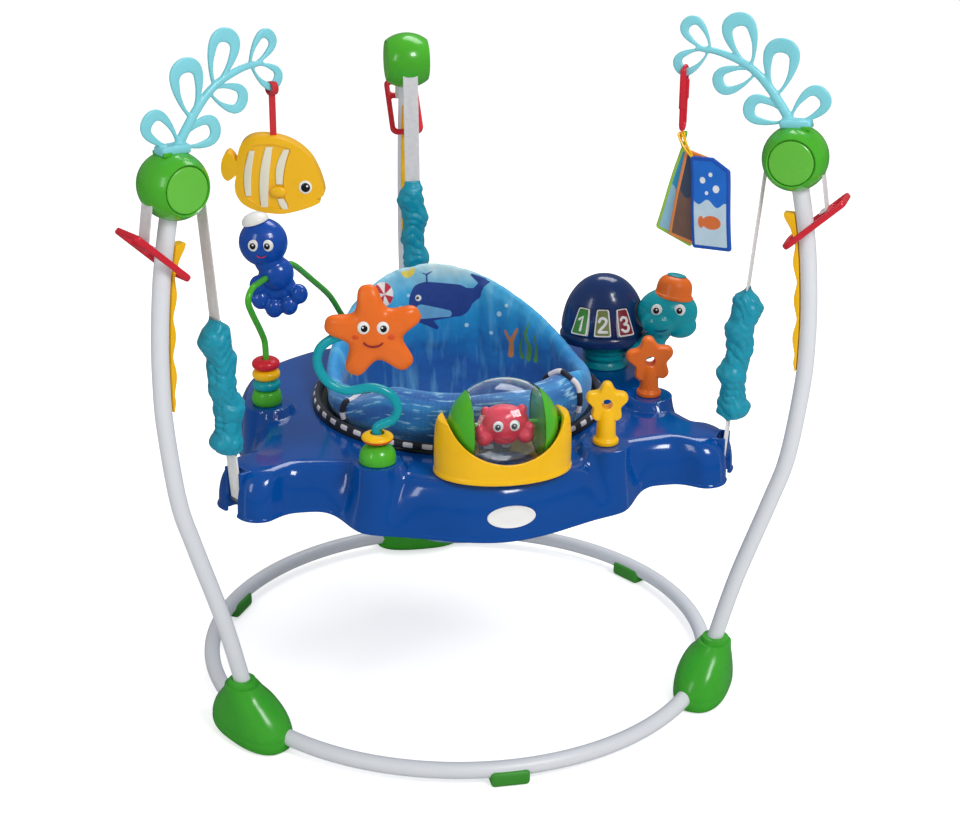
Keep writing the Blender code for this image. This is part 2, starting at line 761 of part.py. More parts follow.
def make_seaweed(name, tower_frame):
    at = frame_at("seaweed_frame_" + name, tower_frame, location=(DRUM_R_AT, 0, DRUM_Z))
    stem_line = curve_through([(x, 0, z) for x, z in SEAWEED_STEM], 2)
    section = strip_section(SEAWEED_THICKNESS + 0.0012, LEAF_BAR + 0.001)
    arch = add_piece("seaweed_" + name, sweep(stem_line, section), TURQUOISE_PLASTIC, at)
    foot = rounded_box((0.030, 0.018, 0.022), 0.004)
    foot_tool = helper("seaweed_foot_" + name, foot, at, location=(-0.003, 0, DRUM_R))
    tools = [foot_tool]
    for i, (root, tip) in enumerate(SEAWEED_LEAVES):
        holds_toy = (root, tip) == HANG_LEAF
        ease = 0.29 if holds_toy else 0.0
        count = HANG_LEAF_POINTS if holds_toy else 10
        rims = leaf_outline(root, tip, 0, count), leaf_outline(root, tip, LEAF_BAR, count)
        leaf = loop_plate(*rims, SEAWEED_THICKNESS, ease)
        tools.append(helper("leaf_%s_%d" % (name, i + 1), leaf, at))
    join(arch, *tools)
    cut(arch, helper("seaweed_seat_" + name, drum_mesh(GAP), at))


# Play tray


def half_sector(arm, turn, bulge, valley, inset):
    """Tray outline from one arm's middle to the middle of the bulge beside it."""
    reach = TRAY_ARM_REACH - inset
    half = TRAY_ARM_HALF - inset
    corner = TRAY_ARM_CORNER
    plan = [(reach, half - corner), (reach - corner, half), (valley + 0.040 - inset, half + 0.001)]
    for share, angle in ((0.0, 21.0), (0.55, 40.0)):
        radius = valley + share * (bulge - valley) - inset
        plan.append((radius * math.cos(math.radians(angle)), radius * math.sin(math.radians(angle))))
    a = math.radians(arm)
    return [(u * math.cos(a) - turn * t * math.sin(a), u * math.sin(a) + turn * t * math.cos(a)) for u, t in plan]


def tray_outline(inset, z):
    spec = {90.0: ("back", "back"), 210.0: ("back", "front"), 330.0: ("front", "back")}
    radii = {"front": (TRAY_FRONT_R, TRAY_FRONT_VALLEY_R), "back": (TRAY_BACK_R, TRAY_BACK_VALLEY_R)}
    keys = []
    for arm, (before, after) in spec.items():
        a = math.radians(arm)
        keys += reversed(half_sector(arm, -1, *radii[before], inset))
        reach = TRAY_ARM_REACH - inset
        keys.append((reach * math.cos(a), reach * math.sin(a)))
        keys += half_sector(arm, 1, *radii[after], inset)
        middle = math.radians(arm + 60)
        bulge = radii[after][0] - inset
        keys.append((bulge * math.cos(middle), bulge * math.sin(middle)))
    return [(p.x, p.y, z) for p in closed_curve_through([(x, y, 0) for x, y in keys], 2)]


def ring_under(outline, radius, z):
    """A circle with one point under each point of an outline."""
    ring = []
    for x, y, _ in outline:
        reach = math.hypot(x, y)
        ring.append((x * radius / reach, y * radius / reach, z))
    return ring


TRAY_HOLE_R = SEAT_RING_R + RUNNING_GAP + 0.002
TRAY_BOTTOM_Z = TRAY_TOP_Z - TRAY_DEPTH


def make_tray(tray_frame):
    top, low, wall = TRAY_TOP_Z, TRAY_BOTTOM_Z, TRAY_WALL
    edge = tray_outline(0.0, low)
    lip = 0.030
    rings = [
        edge, tray_outline(0.004, top - 0.014), tray_outline(0.018, top),
        ring_under(edge, TRAY_HOLE_R, top), ring_under(edge, TRAY_HOLE_R, top - lip),
        ring_under(edge, TRAY_HOLE_R + wall, top - lip), ring_under(edge, TRAY_HOLE_R + wall, top - wall),
        tray_outline(0.018 + 0.8 * wall, top - wall), tray_outline(0.004 + wall, top - 0.014 - wall),
        tray_outline(wall, low),
    ]
    tray = add_piece("play_tray", skin(rings, wrap=True), BLUE_PLASTIC, tray_frame)
    bosses = []
    spots = {"stalk": STALK_AT, "yellow_star": YELLOW_STAR_AT, "orange_star": ORANGE_STAR_AT,
             "wire": WIRE_FRONT_AT}
    for word, (x, y) in spots.items():
        deep = wall * 0.6
        profile = [(0.0, -deep), (BOSS_R + 0.003, -deep), (BOSS_R, 0.6 * BOSS_HEIGHT),
                   (0.86 * BOSS_R, BOSS_HEIGHT), (0.0, BOSS_HEIGHT)]
        bosses.append(helper("boss_" + word, turned(profile, 12), tray_frame, location=(x, y, top)))
    join(tray, *bosses)
    for name, angle in TOWER_ANGLES.items():
        arm = frame_at("arm_frame_" + name, tray_frame, turn=(0, 0, angle))
        start = TRAY_ARM_REACH - ARM_SLOT_DEPTH
        width = STRAP_WIDTH + 0.004
        cheek = 0.005
        block_size = (ARM_SLOT_DEPTH + cheek - 0.001, width + 2 * cheek, TRAY_DEPTH - 0.018)
        block_at = (start - cheek + block_size[0] / 2, 0, TRAY_TOP_Z - wall / 2 - block_size[2] / 2)
        block = rounded_box(block_size, 0.002, rows=1)
        join(tray, helper("arm_block_" + name, block, arm, location=block_at))
        depth = ARM_SLOT_DEPTH + 0.010
        slot = rounded_box((depth, width, TRAY_DEPTH + 0.020), 0.002, rows=1)
        at = (start + depth / 2, 0, TRAY_TOP_Z - TRAY_DEPTH / 2)
        cut(tray, helper("arm_slot_" + name, slot, arm, location=at))
        pin = sweep([(0, -width / 2 - cheek / 2, 0), (0, width / 2 + cheek / 2, 0)],
                    disc_section(0.003, 8), side=(1, 0, 0))
        pin_at = (HANGER_FOOT.x, 0, HANGER_FOOT.z - 0.003 - GAP)
        join(tray, helper("arm_pin_" + name, pin, arm, location=pin_at))


# Seat


def make_seat(seat_frame):
    count = SEAT_FACETS
    top = TRAY_TOP_Z + SEAT_RING_RISE
    low = top - SEAT_RING_HEIGHT
    outer, inner = SEAT_RING_R, SEAT_RING_R - SEAT_RING_WIDTH
    flange = SEAT_FLANGE_R
    rest = TRAY_TOP_Z + GAP
    ring = turned([(outer, low), (outer, rest), (flange, rest), (flange - 0.001, top - 0.002),
                   (outer - 0.003, top), (inner, top), (inner, low)], count, wrap=True)
    add_piece("seat_ring", ring, BLACK_PLASTIC, seat_frame)

    fit = inner - GAP

    def top_height(angle):
        """The padded wall: a high back, low sides and a fat roll in front."""
        turn = (math.degrees(angle) - SEAT_BACK_MIDDLE + 180) % 360 - 180
        back = (0.5 + 0.5 * math.cos(math.pi * min(abs(turn) / SEAT_BACK_SPAN, 1.0))) ** 0.75
        front = max(0.0, min(1.0, (abs(turn) - 105) / 30))
        rise = SEAT_SIDE_RISE + (SEAT_BACK_RISE - SEAT_SIDE_RISE) * back
        return TRAY_TOP_Z + rise + (SEAT_FRONT_RISE - SEAT_SIDE_RISE) * front * front * (3 - 2 * front)

    def wall(angle):
        """Thickness of the padding: a fat roll in front, thinner behind."""
        front = 0.5 - 0.5 * math.sin(angle)
        return SEAT_BACK_WALL + (SEAT_FRONT_WALL - SEAT_BACK_WALL) * front

    floor_z = TRAY_TOP_Z - SEAT_DROP
    rings = [[(0, 0, floor_z)]]

    def level(scale_r, height):
        points = []
        for i in range(count):
            a = 2 * math.pi * i / count
            radius = scale_r(a)
            points.append((radius * math.cos(a), radius * math.sin(a), height(a)))
        return points

    def even(value):
        return lambda angle: value

    rings += [
        level(even(0.55 * fit), even(floor_z + 0.012)),
        level(even(0.86 * fit), even(TRAY_TOP_Z - 0.095)),
        level(even(fit), even(low - 0.010)),
        level(even(fit), even(top)),
        level(lambda a: fit - 0.15 * wall(a), lambda a: top_height(a) - 0.3 * wall(a)),
        level(lambda a: fit - 0.5 * wall(a), top_height),
        level(lambda a: fit - 0.9 * wall(a), lambda a: top_height(a) - 0.35 * wall(a)),
        level(lambda a: fit - wall(a), even(top)),
        level(even(fit - 0.8 * SEAT_BACK_WALL), even(low - 0.010)),
        level(even(0.86 * fit - 0.6 * SEAT_BACK_WALL), even(TRAY_TOP_Z - 0.085)),
        level(even(0.50 * fit), even(floor_z + 0.026)),
        [(0, 0, floor_z + 0.016)],
    ]
    sling = add_piece("seat_sling", skin(rings), BLUE_FABRIC, seat_frame)
    for side in (-1, 1):
        reach = fit + 0.05
        hole = sweep([(0, 0, 0), (0, -reach, 0)], disc_section(LEG_HOLE_R, 12), side=(1, 0, 0))
        at = (side * (LEG_HOLE_R + 0.014), -0.030, TRAY_TOP_Z - 0.128)
        word = "left" if side < 0 else "right"
        turn = (0, 0, side * 20)
        cut(sling, helper("leg_hole_" + word, hole, seat_frame, location=at, turn=turn))


# Toys on the tray


def make_ball_station(tray_frame):
    x, y = BALL_AT
    station = frame_at("ball_frame", tray_frame, location=(x, y, BALL_Z))
    low = TRAY_TOP_Z + GAP - BALL_Z
    high = CRADLE_HORN_Z
    a, b = CRADLE_HALF_LENGTH, CRADLE_HALF_DEPTH
    rings = [around(a, 24, low, b), around(a + 0.001, 24, low + 0.010, b + 0.001),
             around(a * 0.97, 24, high - 0.004, b * 0.90), around(a * 0.93, 24, high, b * 0.86)]
    cradle = add_piece("crab_cradle", skin(rings), YELLOW_PLASTIC, station)
    room = BALL_R + CRADLE_CLEARANCE
    hollow = ball((BALL_HALF_LENGTH + CRADLE_CLEARANCE, room, room), 16, 8)
    well = turned([(0.0, 2 * low), (CRADLE_WELL_R, 2 * low), (CRADLE_WELL_R, 0.3 * low), (0.0, 0.3 * low)], 20)
    scoop_z = high + 0.018
    scoop_section = disc_section(CRADLE_HORN_AT, 24, scoop_z + CRADLE_FRONT_DROP)
    scoop = sweep([(0, -2 * b, 0), (0, 2 * b, 0)], scoop_section, side=(1, 0, 0))
    pins = sweep([(-a - 0.01, 0, 0), (a + 0.01, 0, 0)], disc_section(BALL_PIN_R + GAP, 10))
    beside_seat = turned([(0.0, -0.1), (SEAT_FLANGE_R + 0.001, -0.1), (SEAT_FLANGE_R + 0.001, 0.1), (0.0, 0.1)], 40)
    cut(cradle, helper("cradle_hollow", hollow, station), helper("cradle_well", well, station),
        helper("cradle_seat_room", beside_seat, station, location=(-x, -y, 0)),
        helper("cradle_scoop", scoop, station, location=(0, 0, scoop_z)),
        helper("cradle_bores", pins, station))

    def arc_profile(start, end, radius, rows):
        """Points of the ball's own outline between two places along its length."""
        points = []
        for i in range(rows + 1):
            u = start + (end - start) * i / rows
            points.append((radius * math.sqrt(max(0.0, 1 - (u / (radius * BALL_HALF_LENGTH / BALL_R)) ** 2)), u))
        return points

    lie = Matrix.Rotation(math.radians(90), 3, "Y")
    inner_r = BALL_R - BALL_SHELL
    w = BALL_WINDOW_HALF
    band = turned(arc_profile(-w, w, BALL_R, 4) + arc_profile(w, -w, inner_r, 4), 20, wrap=True)
    bmesh.ops.rotate(band, matrix=lie, verts=band.verts)
    add_piece("ball_window", band, CLEAR_PLASTIC, station)
    start = w + GAP
    end = BALL_HALF_LENGTH * 0.985
    dome = arc_profile(start, end, BALL_R, 5)
    tip = CRADLE_HALF_LENGTH - 0.006
    half = [(BALL_AXLE_R, 0.0), (BALL_AXLE_R, start)] + dome
    half += [(BALL_PIN_R, dome[-1][1] + 0.0001), (BALL_PIN_R, tip), (0.0, tip)]
    both = [(r, -u) for r, u in reversed(half)] + half[1:]
    spool = turned(both, 16)
    bmesh.ops.rotate(spool, matrix=lie, verts=spool.verts)
    add_piece("ball_caps", spool, GREEN_PLASTIC, station)
    crab = add_piece("crab", ball((0.026, 0.022, 0.021), 12, 6), RED_PLASTIC, station)
    claws = []
    for side in (-1, 1):
        claw = ball((0.009, 0.011, 0.009), 7, 4)
        claws.append(helper("claw_%d" % side, claw, station, location=(side * 0.023, -0.012, -0.012)))
    bore = sweep([(-0.05, 0, 0), (0.05, 0, 0)], disc_section(BALL_AXLE_R + GAP, 10))
    join(crab, *claws)
    cut(crab, helper("crab_bore", bore, station))


def star_slab(outline, thickness):
    """A star with pillowed faces."""
    rings = []
    for y, scale in ((-0.5, 0.62), (-0.36, 0.90), (0.0, 1.0), (0.36, 0.90), (0.5, 0.62)):
        rings.append([(x * scale, y * thickness, z * scale) for x, z in outline])
    return skin(rings)


def make_stalk_station(tray_frame):
    x, y = STALK_AT
    boss_top = TRAY_TOP_Z + BOSS_HEIGHT + GAP
    station = frame_at("stalk_frame", tray_frame, location=(x, y, boss_top), turn=(0, 0, TOY_YAW))
    h = STALK_DOME_HEIGHT
    r = STALK_DOME_R
    dome = [(0.0, 0.0), (r, 0.0), (r, 0.25 * h), (0.86 * r, 0.66 * h), (0.62 * r, 0.92 * h), (0.45 * r, h), (0.0, h)]
    add_piece("stalk_base", turned(dome, 16), GREEN_PLASTIC, station)
    low = h + GAP
    high = low + DISC_HEIGHT
    ring = [(DISC_BORE_R, low), (0.8 * DISC_R, low), (DISC_R, low + 0.35 * DISC_HEIGHT),
            (DISC_R, high - 0.35 * DISC_HEIGHT), (0.8 * DISC_R, high), (DISC_BORE_R, high)]
    add_piece("stalk_disc", turned(ring, 16, wrap=True), YELLOW_PLASTIC, station)
    pivot_z = h + GAP + STALK_R
    wobble = frame_at("stalk_pivot", station, location=(0, 0, pivot_z))
    spots = [(0.0, 0.0), (0.0, 0.014), (0.020, 0.025), (0.026, 0.042), (0.016, 0.060), (-0.006, 0.068),
             (-0.036, 0.064), (-0.060, 0.074), (-0.073, 0.096), (-0.071, 0.118), (-0.056, 0.132), (-0.036, 0.138)]
    line = curve_through([(u, 0, z) for u, z in spots], 2)
    rings = [[line[0] - Vector((0, 0, STALK_R))]]
    for share in (0.5, 0.87):
        drop = STALK_R * math.cos(math.asin(share))
        rings.append([Vector((share * STALK_R * math.cos(a), share * STALK_R * math.sin(a), -drop))
                      for a in (2 * math.pi * i / 8 for i in range(8))])
    for i, point in enumerate(line):
        before, after = line[max(i - 1, 0)], line[min(i + 1, len(line) - 1)]
        heading = (after - before).normalized()
        side = Vector((0, 1, 0))
        normal = side.cross(heading).normalized()
        rings.append([point + normal * STALK_R * math.cos(2 * math.pi * k / 8)
                      + side * STALK_R * math.sin(2 * math.pi * k / 8) for k in range(8)])
    add_piece("star_stalk", skin(rings), TEAL_PLASTIC, wobble)
    outline = star_outline(STARFISH_R, STARFISH_VALLEY_R, turn=98.0)
    at = (line[-1].x + 0.034, 0, line[-1].z + 0.004)
    star = add_piece("starfish", star_slab(outline, STARFISH_THICKNESS), ORANGE_PLASTIC, wobble, location=at)
    socket_line = [*line[:-1], line[-1] + (line[-1] - line[-2]).normalized() * GAP]
    socket = sweep(socket_line[-7:], disc_section(STALK_R + GAP, 8))
    cut(star, helper("star_socket", socket, wobble))


def make_link_star(name, at, width, material, tray_frame, turn):
    """A small upright star on a stem, with a round hole that links hook into."""
    x, y = at
    boss_top = TRAY_TOP_Z + BOSS_HEIGHT + GAP
    station = frame_at(name + "_frame", tray_frame, location=(x, y, boss_top), turn=(0, 0, TOY_YAW))
    radius = width / 2
    middle = LINK_STAR_HEIGHT - radius
    outline = star_outline(radius * 1.06, radius * 0.72, turn=turn)
    star = plate([(px, pz + middle) for px, pz in outline], LINK_STAR_THICKNESS, LINK_STAR_THICKNESS / 6)
    piece = add_piece(name, star, material, station)
    stem = turned([(0.0, 0.0), (0.017, 0.0), (0.017, 0.006), (0.011, 0.016), (0.010, middle - 0.010),
                   (0.0, middle - 0.010)], 12)
    join(piece, helper(name + "_stem", stem, station))
    reach = 2 * LINK_STAR_THICKNESS
    hole = sweep([(0, -reach, middle), (0, reach, middle)], disc_section(LINK_HOLE_R, 12), side=(1, 0, 0))
    cut(piece, helper(name + "_hole", hole, station))


def make_wire_station(tray_frame):
    """A looping wire over the seat's side, with three beads and an octopus to spin."""
    ax, ay = WIRE_FRONT_AT
    bx, by = WIRE_BACK_AT
    heading = math.degrees(math.atan2(by - ay, bx - ax))
    span = math.hypot(bx - ax, by - ay)
    boss_top = TRAY_TOP_Z + BOSS_HEIGHT + GAP
    station = frame_at("wire_frame", tray_frame, location=(ax, ay, boss_top), turn=(0, 0, heading))
    base_h = WIRE_BASE_HEIGHT
    straight = base_h + 3 * (BEAD_HEIGHT + GAP) + 3 * BEAD_TRAVEL + 0.004
    flat = WIRE_FLAT_Z - boss_top
    spots = [(0, 0.010), (0, straight * 0.5), (0, straight), (-0.010, straight + 0.022), (-0.034, flat - 0.036),
             (-0.044, flat - 0.016), (-0.034, flat - 0.003), (-0.012, flat), (0.066, flat), (0.094, flat - 0.006),
             (0.150, flat - 0.044), (0.205, flat - 0.084), (0.240, flat - 0.120), (span, 0.020),
             (span, TRAY_TOP_Z + 2 * GAP - boss_top)]
    line = curve_through([(u, 0, z) for u, z in spots], 2)
    wire = add_piece("wire_arch", sweep(line, disc_section(WIRE_R, 6)), GREEN_PLASTIC, station)
    base = turned([(0.0, 0.0), (BEAD_R + 0.001, 0.0), (BEAD_R + 0.002, 0.4 * base_h),
                   (BEAD_R - 0.003, base_h), (0.0, base_h)], 14)
    foot = turned([(0.0, 0.0), (0.016, 0.0), (0.014, 0.010), (0.008, 0.016), (0.0, 0.016)], 12)
    foot_z = TRAY_TOP_Z + GAP - boss_top
    join(wire, helper("wire_base", base, station),
         helper("wire_foot", foot, station, location=(span, 0, foot_z)))
    colours = {"bead_teal": TEAL_PLASTIC, "bead_yellow": YELLOW_PLASTIC, "bead_red": RED_PLASTIC}
    bore = WIRE_R + BEAD_CLEARANCE
    h = BEAD_HEIGHT
    z = base_h + GAP
    for name, material in colours.items():
        rim = [(bore, 0.0), (0.75 * BEAD_R, 0.0), (0.95 * BEAD_R, 0.22 * h), (BEAD_R, 0.5 * h),
               (0.95 * BEAD_R, 0.78 * h), (0.75 * BEAD_R, h), (bore, h)]
        add_piece(name, turned(rim, 14, wrap=True), material, station, location=(0, 0, z))
        z += h + GAP
    spin = frame_at("octopus_pivot", station, location=(OCTOPUS_ALONG_WIRE, 0, flat))
    turn_back = TOY_YAW - heading
    face = frame_at("octopus_face", spin, turn=(0, 0, turn_back))
    body = add_piece("octopus", ball((0.024, 0.022, 0.026), 10, 6), BLUE_PLASTIC, face, location=(0.006, 0, 0.002))
    parts = {
        "octopus_head": (ball((0.033, 0.029, 0.033), 12, 7), (-0.010, 0, 0.046)),
        "octopus_knob": (ball((0.018, 0.018, 0.013), 8, 5), (-0.022, 0, 0.082)),
    }
    tools = []
    for name, (mesh, at) in parts.items():
        tools.append(helper(name, mesh, face, location=at))
    feet = [(-0.016, -0.034), (0.002, -0.048), (0.022, -0.044), (0.036, -0.026), (-0.018, -0.014)]
    for i, (u, z) in enumerate(feet):
        lobe = ball((0.0125, 0.0120, 0.0155), 7, 4)
        tools.append(helper("octopus_leg_%d" % i, lobe, face, location=(u, -0.004 * (i % 2), z)))
    bore_line = [(-0.08, 0, 0), (0.08, 0, 0)]
    hole = sweep(bore_line, disc_section(bore, 10))
    join(body, *tools)
    cut(body, helper("octopus_bore", hole, spin))


def make_turtle(tray_frame):
    x, y = TURTLE_AT
    station = frame_at("turtle_frame", tray_frame, location=(x, y, TRAY_TOP_Z + GAP), turn=(0, 0, TOY_YAW))
    rise = TURTLE_SHELL_Z - TRAY_TOP_Z
    stand = turned([(0.0, 0.0), (0.034, 0.0), (0.030, 0.012), (0.031, 0.030), (0.046, rise - GAP),
                    (0.0, rise - GAP)], 18)
    body = add_piece("turtle_body", stand, TEAL_PLASTIC, station)
    head_x, head_y, head_up = TURTLE_HEAD_AT
    head_at = (head_x, head_y, rise + head_up)
    neck_at = (0, head_y, rise)
    neck_line = curve_through([(0.030, 0, -0.012), (0.062, 0, 0.000), (head_x - 0.006, 0, 0.5 * head_up)], 3)
    neck = sweep(neck_line, disc_section(TURTLE_NECK_R, 10))
    chin = ball((0.024, 0.022, 0.018), 10, 6)
    chin_at = (head_x + 0.018, head_y - 0.008, rise + head_up - 0.018)
    join(body, helper("turtle_head", ball(TURTLE_HEAD_RADII, 12, 7), station, location=head_at),
         helper("turtle_neck", neck, station, location=neck_at),
         helper("turtle_chin", chin, station, location=chin_at))
    r, h = TURTLE_SHELL_R, TURTLE_SHELL_HEIGHT
    dome = [(0.0, 0.0), (r * 0.96, 0.0), (r, 0.08 * h), (0.97 * r, 0.28 * h), (0.86 * r, 0.55 * h),
            (0.62 * r, 0.82 * h), (0.32 * r, 0.96 * h), (0.0, h)]
    shell_x = -0.004
    shell = add_piece("turtle_shell", turned(dome, 20, squash=TURTLE_SHELL_SQUASH), DARK_BLUE_PLASTIC, station,
                      location=(shell_x, 0, rise))
    room = ball([radius + TURTLE_HEAD_ROOM for radius in TURTLE_HEAD_RADII], 12, 7)
    tunnel = sweep(neck_line, disc_section(TURTLE_NECK_R + 2 * GAP, 10))
    cut(shell, helper("turtle_head_room", room, station, location=head_at),
        helper("turtle_neck_room", tunnel, station, location=neck_at))
    colours = [GREEN_PLASTIC, OLIVE_PLASTIC, DARK_RED_PLASTIC]
    for i, material in enumerate(colours):
        azimuth = BUTTON_START + BUTTON_STEP * i
        a = math.radians(azimuth)
        face_r = 0.93 * r
        spot = (shell_x + face_r * math.cos(a), TURTLE_SHELL_SQUASH * face_r * math.sin(a), rise + 0.40 * h)
        turn = (0, 90 - BUTTON_LEAN, azimuth * 0.94 - 4)
        mount = frame_at("button_frame_%d" % (i + 1), station, location=spot, turn=turn)
        size = (BUTTON_HEIGHT, BUTTON_WIDTH, BUTTON_THICKNESS)
        key = rounded_box(size, 0.004)
        add_piece("number_button_%d" % (i + 1), key, material, mount)
        spare = BUTTON_TRAVEL + GAP
        pocket_size = (BUTTON_HEIGHT + 2 * RUNNING_GAP, BUTTON_WIDTH + 2 * RUNNING_GAP, BUTTON_THICKNESS + 0.02)
        pocket = rounded_box(pocket_size, 0.004)
        drop = BUTTON_THICKNESS / 2 + spare - pocket_size[2] / 2
        cut(shell, helper("button_pocket_%d" % (i + 1), pocket, mount, location=(0, 0, -drop)))
    brim = TURTLE_CAP_R
    cap = turned([(0.0, -0.006), (0.93 * brim, -0.006), (brim, 0.004), (0.83 * brim, 0.022), (0.4 * brim, 0.032),
                  (0.0, 0.034)], 14)
    cap_at = (head_at[0] + 0.006, head_at[1], head_at[2] + 0.026)
    hat = add_piece("turtle_cap", cap, ORANGE_PLASTIC, station, location=cap_at)
    scalp = ball([radius + GAP for radius in TURTLE_HEAD_RADII], 12, 7)
    cut(hat, helper("cap_seat", scalp, station, location=head_at))


# Toys that hang from the arches


def hang_spot():
    """Lowest place of the end leaf's bar, in the tower's plane, from the drum's centre."""
    outline = leaf_outline(*HANG_LEAF, LEAF_BAR / 2, HANG_LEAF_POINTS)
    return min(outline, key=lambda p: p[1])


# A loop that hangs on the leaf's bar clears its half width, and its bow over the loop's width
HANG_CLEARANCE = LEAF_BAR / 2 + 0.0002 + GAP
HANG_BOW = 0.0021
STRAP_EYE_R = HANG_CLEARANCE + HANG_BOW + GAP
FISH_STRAP_WIDTH = 0.009
FISH_STRAP_THICKNESS = 0.0026
FISH_STRAP_LENGTH = 0.075


def ring_points(radius, count):
    step = 2 * math.pi / count
    return [(radius * math.cos(i * step), radius * math.sin(i * step)) for i in range(count)]


def make_fish(tower_frame):
    u, z = hang_spot()
    hook = frame_at("fish_pivot", tower_frame, location=(DRUM_R_AT + u, 0, DRUM_Z + z))
    thick = FISH_STRAP_THICKNESS
    eye_outer = STRAP_EYE_R + thick
    eye = loop_plate(ring_points(eye_outer, 16), ring_points(STRAP_EYE_R, 16), FISH_STRAP_WIDTH)
    eye_drop = STRAP_EYE_R - HANG_CLEARANCE - HANG_BOW
    strap = add_piece("fish_strap", eye, RED_WEBBING, hook, location=(0, 0, -eye_drop), turn=(0, 0, 90))
    top = eye_drop + STRAP_EYE_R + thick / 2
    run = FISH_STRAP_LENGTH - top
    tail = rounded_box((thick, FISH_STRAP_WIDTH, run), 0.0005, rows=1)
    tail_at = (0, 0, -top - run / 2)
    join(strap, helper("fish_strap_tail", tail, hook, location=tail_at, turn=(0, 0, 90)))
    face_turn = TOY_YAW - TOWER_ANGLES["left"]
    overlap = 0.014
    body_frame = frame_at("fish_frame", hook, location=(0, 0, overlap - FISH_STRAP_LENGTH), turn=(0, 0, face_turn))
    length, height = FISH_LENGTH, FISH_HEIGHT
    outline = [(0.50, -0.52), (0.46, -0.38), (0.32, -0.20), (0.16, -0.02), (-0.02, 0.0), (-0.20, -0.10),
               (-0.33, -0.30), (-0.36, -0.46), (-0.44, -0.38), (-0.50, -0.42), (-0.50, -0.56), (-0.43, -0.62),
               (-0.36, -0.56), (-0.31, -0.76), (-0.20, -0.94), (0.0, -1.0), (0.20, -0.99), (0.30, -0.92),
               (0.34, -0.84), (0.45, -0.72)]
    flat = [(px * length, pz * height + 0.002) for px, pz in outline]
    fish = add_piece("fish", plate(flat, FISH_THICKNESS, 0.006), YELLOW_PLASTIC, body_frame)
    slot_size = (thick + 2 * GAP, FISH_STRAP_WIDTH + 2 * GAP, 0.040)
    slot = rounded_box(slot_size, 0.0005, rows=1)
    slot_at = (0, 0, -overlap - GAP + slot_size[2] / 2)
    cut(fish, helper("fish_slot", slot, body_frame, location=slot_at, turn=(0, 0, 90 - face_turn)))


CLIP_BAR = 0.0055
CLIP_LENGTH = 0.086
CLIP_WIDTH = 0.026


def stadium(length, width, inset, count=6):
    """A long oval in the XZ plane, hanging from its top end."""
    r = width / 2 - inset
    points = []
    for start, z in ((0, -width / 2), (180, width / 2 - length)):
        for i in range(count + 1):
            a = math.radians(start + 180 * i / count)
            points.append((r * math.cos(a), z + r * math.sin(a)))
    return points


def card_outline(left, top):
    """A card below the ring: a neck that runs to its upper left corner, and a cut upper right one."""
    wide, tall = CARD_SIZE
    cut_wide, cut_tall = CARD_CUT
    neck = CARD_NECK / 2
    return [(-neck, neck), (neck, neck), (left + 4 * neck, top), (left + wide - cut_wide, top),
            (left + wide, top - cut_tall), (left + wide, top - tall), (left, top - tall), (left, top - 2 * neck),
            (left + 2 * neck, top)]


def make_cards(tower_frame):
    u, z = hang_spot()
    hook = frame_at("clip_pivot", tower_frame, location=(DRUM_R_AT + u, 0, DRUM_Z + z))
    top = HANG_CLEARANCE + GAP + CLIP_BAR
    rims = stadium(CLIP_LENGTH, CLIP_WIDTH, 0.0), stadium(CLIP_LENGTH, CLIP_WIDTH, CLIP_BAR)
    clip_frame = frame_at("clip_frame", hook, location=(0, 0, top), turn=(0, 0, 90))
    add_piece("clip_link", loop_plate(*rims, CLIP_BAR, 0.29), RED_PLASTIC, clip_frame)
    card_pivot = frame_at("card_pivot", hook, location=(0, 0, top - CLIP_LENGTH + CLIP_BAR / 2))
    hang = CLIP_BAR / 2 + 3 * GAP
    ring_r = hang + 0.0018
    ring = loop_plate(ring_points(ring_r + 0.003, 14), ring_points(ring_r, 14), CARD_RING_WIDTH)
    ring_at = (0, 0, hang - ring_r)
    book = add_piece("card_book", ring, RED_PLASTIC, card_pivot, location=ring_at)
    face = frame_at("card_frame", card_pivot, turn=(0, 0, CARD_YAW - TOWER_ANGLES["right"]))
    card_top = hang - 2 * ring_r - 0.0015
    tools = []
    for i, (tilt, y, left, top) in enumerate(CARD_PLACES):
        leaf = plate(card_outline(left, top), CARD_THICKNESS)
        at = (0, y, card_top)
        tools.append(helper("card_%d" % (i + 1), leaf, face, location=at, turn=(0, tilt, 0)))
    join(book, *tools)


# Finishes

clear_scene()
HELPER = finish("helper", "888888", 0.5)
WHITE_STEEL = finish("white powder-coated steel", "E9EAEC", 0.35, 0.1)
STEEL = finish("spring steel", "9A9DA2", 0.35, 1.0)
GREEN_PLASTIC = finish("green plastic", "45B031", 0.30)
GREEN_RUBBER = finish("green rubber", "3FA12F", 0.60)
YELLOW_PLASTIC = finish("yellow plastic", "F6C310", 0.32)
RED_PLASTIC = finish("red plastic", "D8202F", 0.32)
RED_WEBBING = finish("red webbing", "C81E2B", 0.85)
TURQUOISE_PLASTIC = finish("turquoise plastic", "3DBFD3", 0.35)
TEAL_PLASTIC = finish("teal plastic", "139AA0", 0.35)
TEAL_FABRIC = finish("teal fabric", "0F8F97", 0.85)
GREY_WEBBING = finish("grey webbing", "C9C9CC", 0.85)
BLUE_PLASTIC = finish("blue plastic", "0B3F97", 0.20)
DARK_BLUE_PLASTIC = finish("dark blue plastic", "16306B", 0.28)
BLUE_FABRIC = finish("blue printed fabric", "2C8FD0", 0.85)
BLACK_PLASTIC = finish("black plastic", "1B1D24", 0.50)
ORANGE_PLASTIC = finish("orange plastic", "F0671A", 0.35)
OLIVE_PLASTIC = finish("olive green plastic", "5A7A2C", 0.35)
DARK_RED_PLASTIC = finish("dark red plastic", "8A1F2E", 0.35)
CLEAR_PLASTIC = finish("clear plastic", "DDE8F0", 0.05, alpha=0.25)

# Assembly

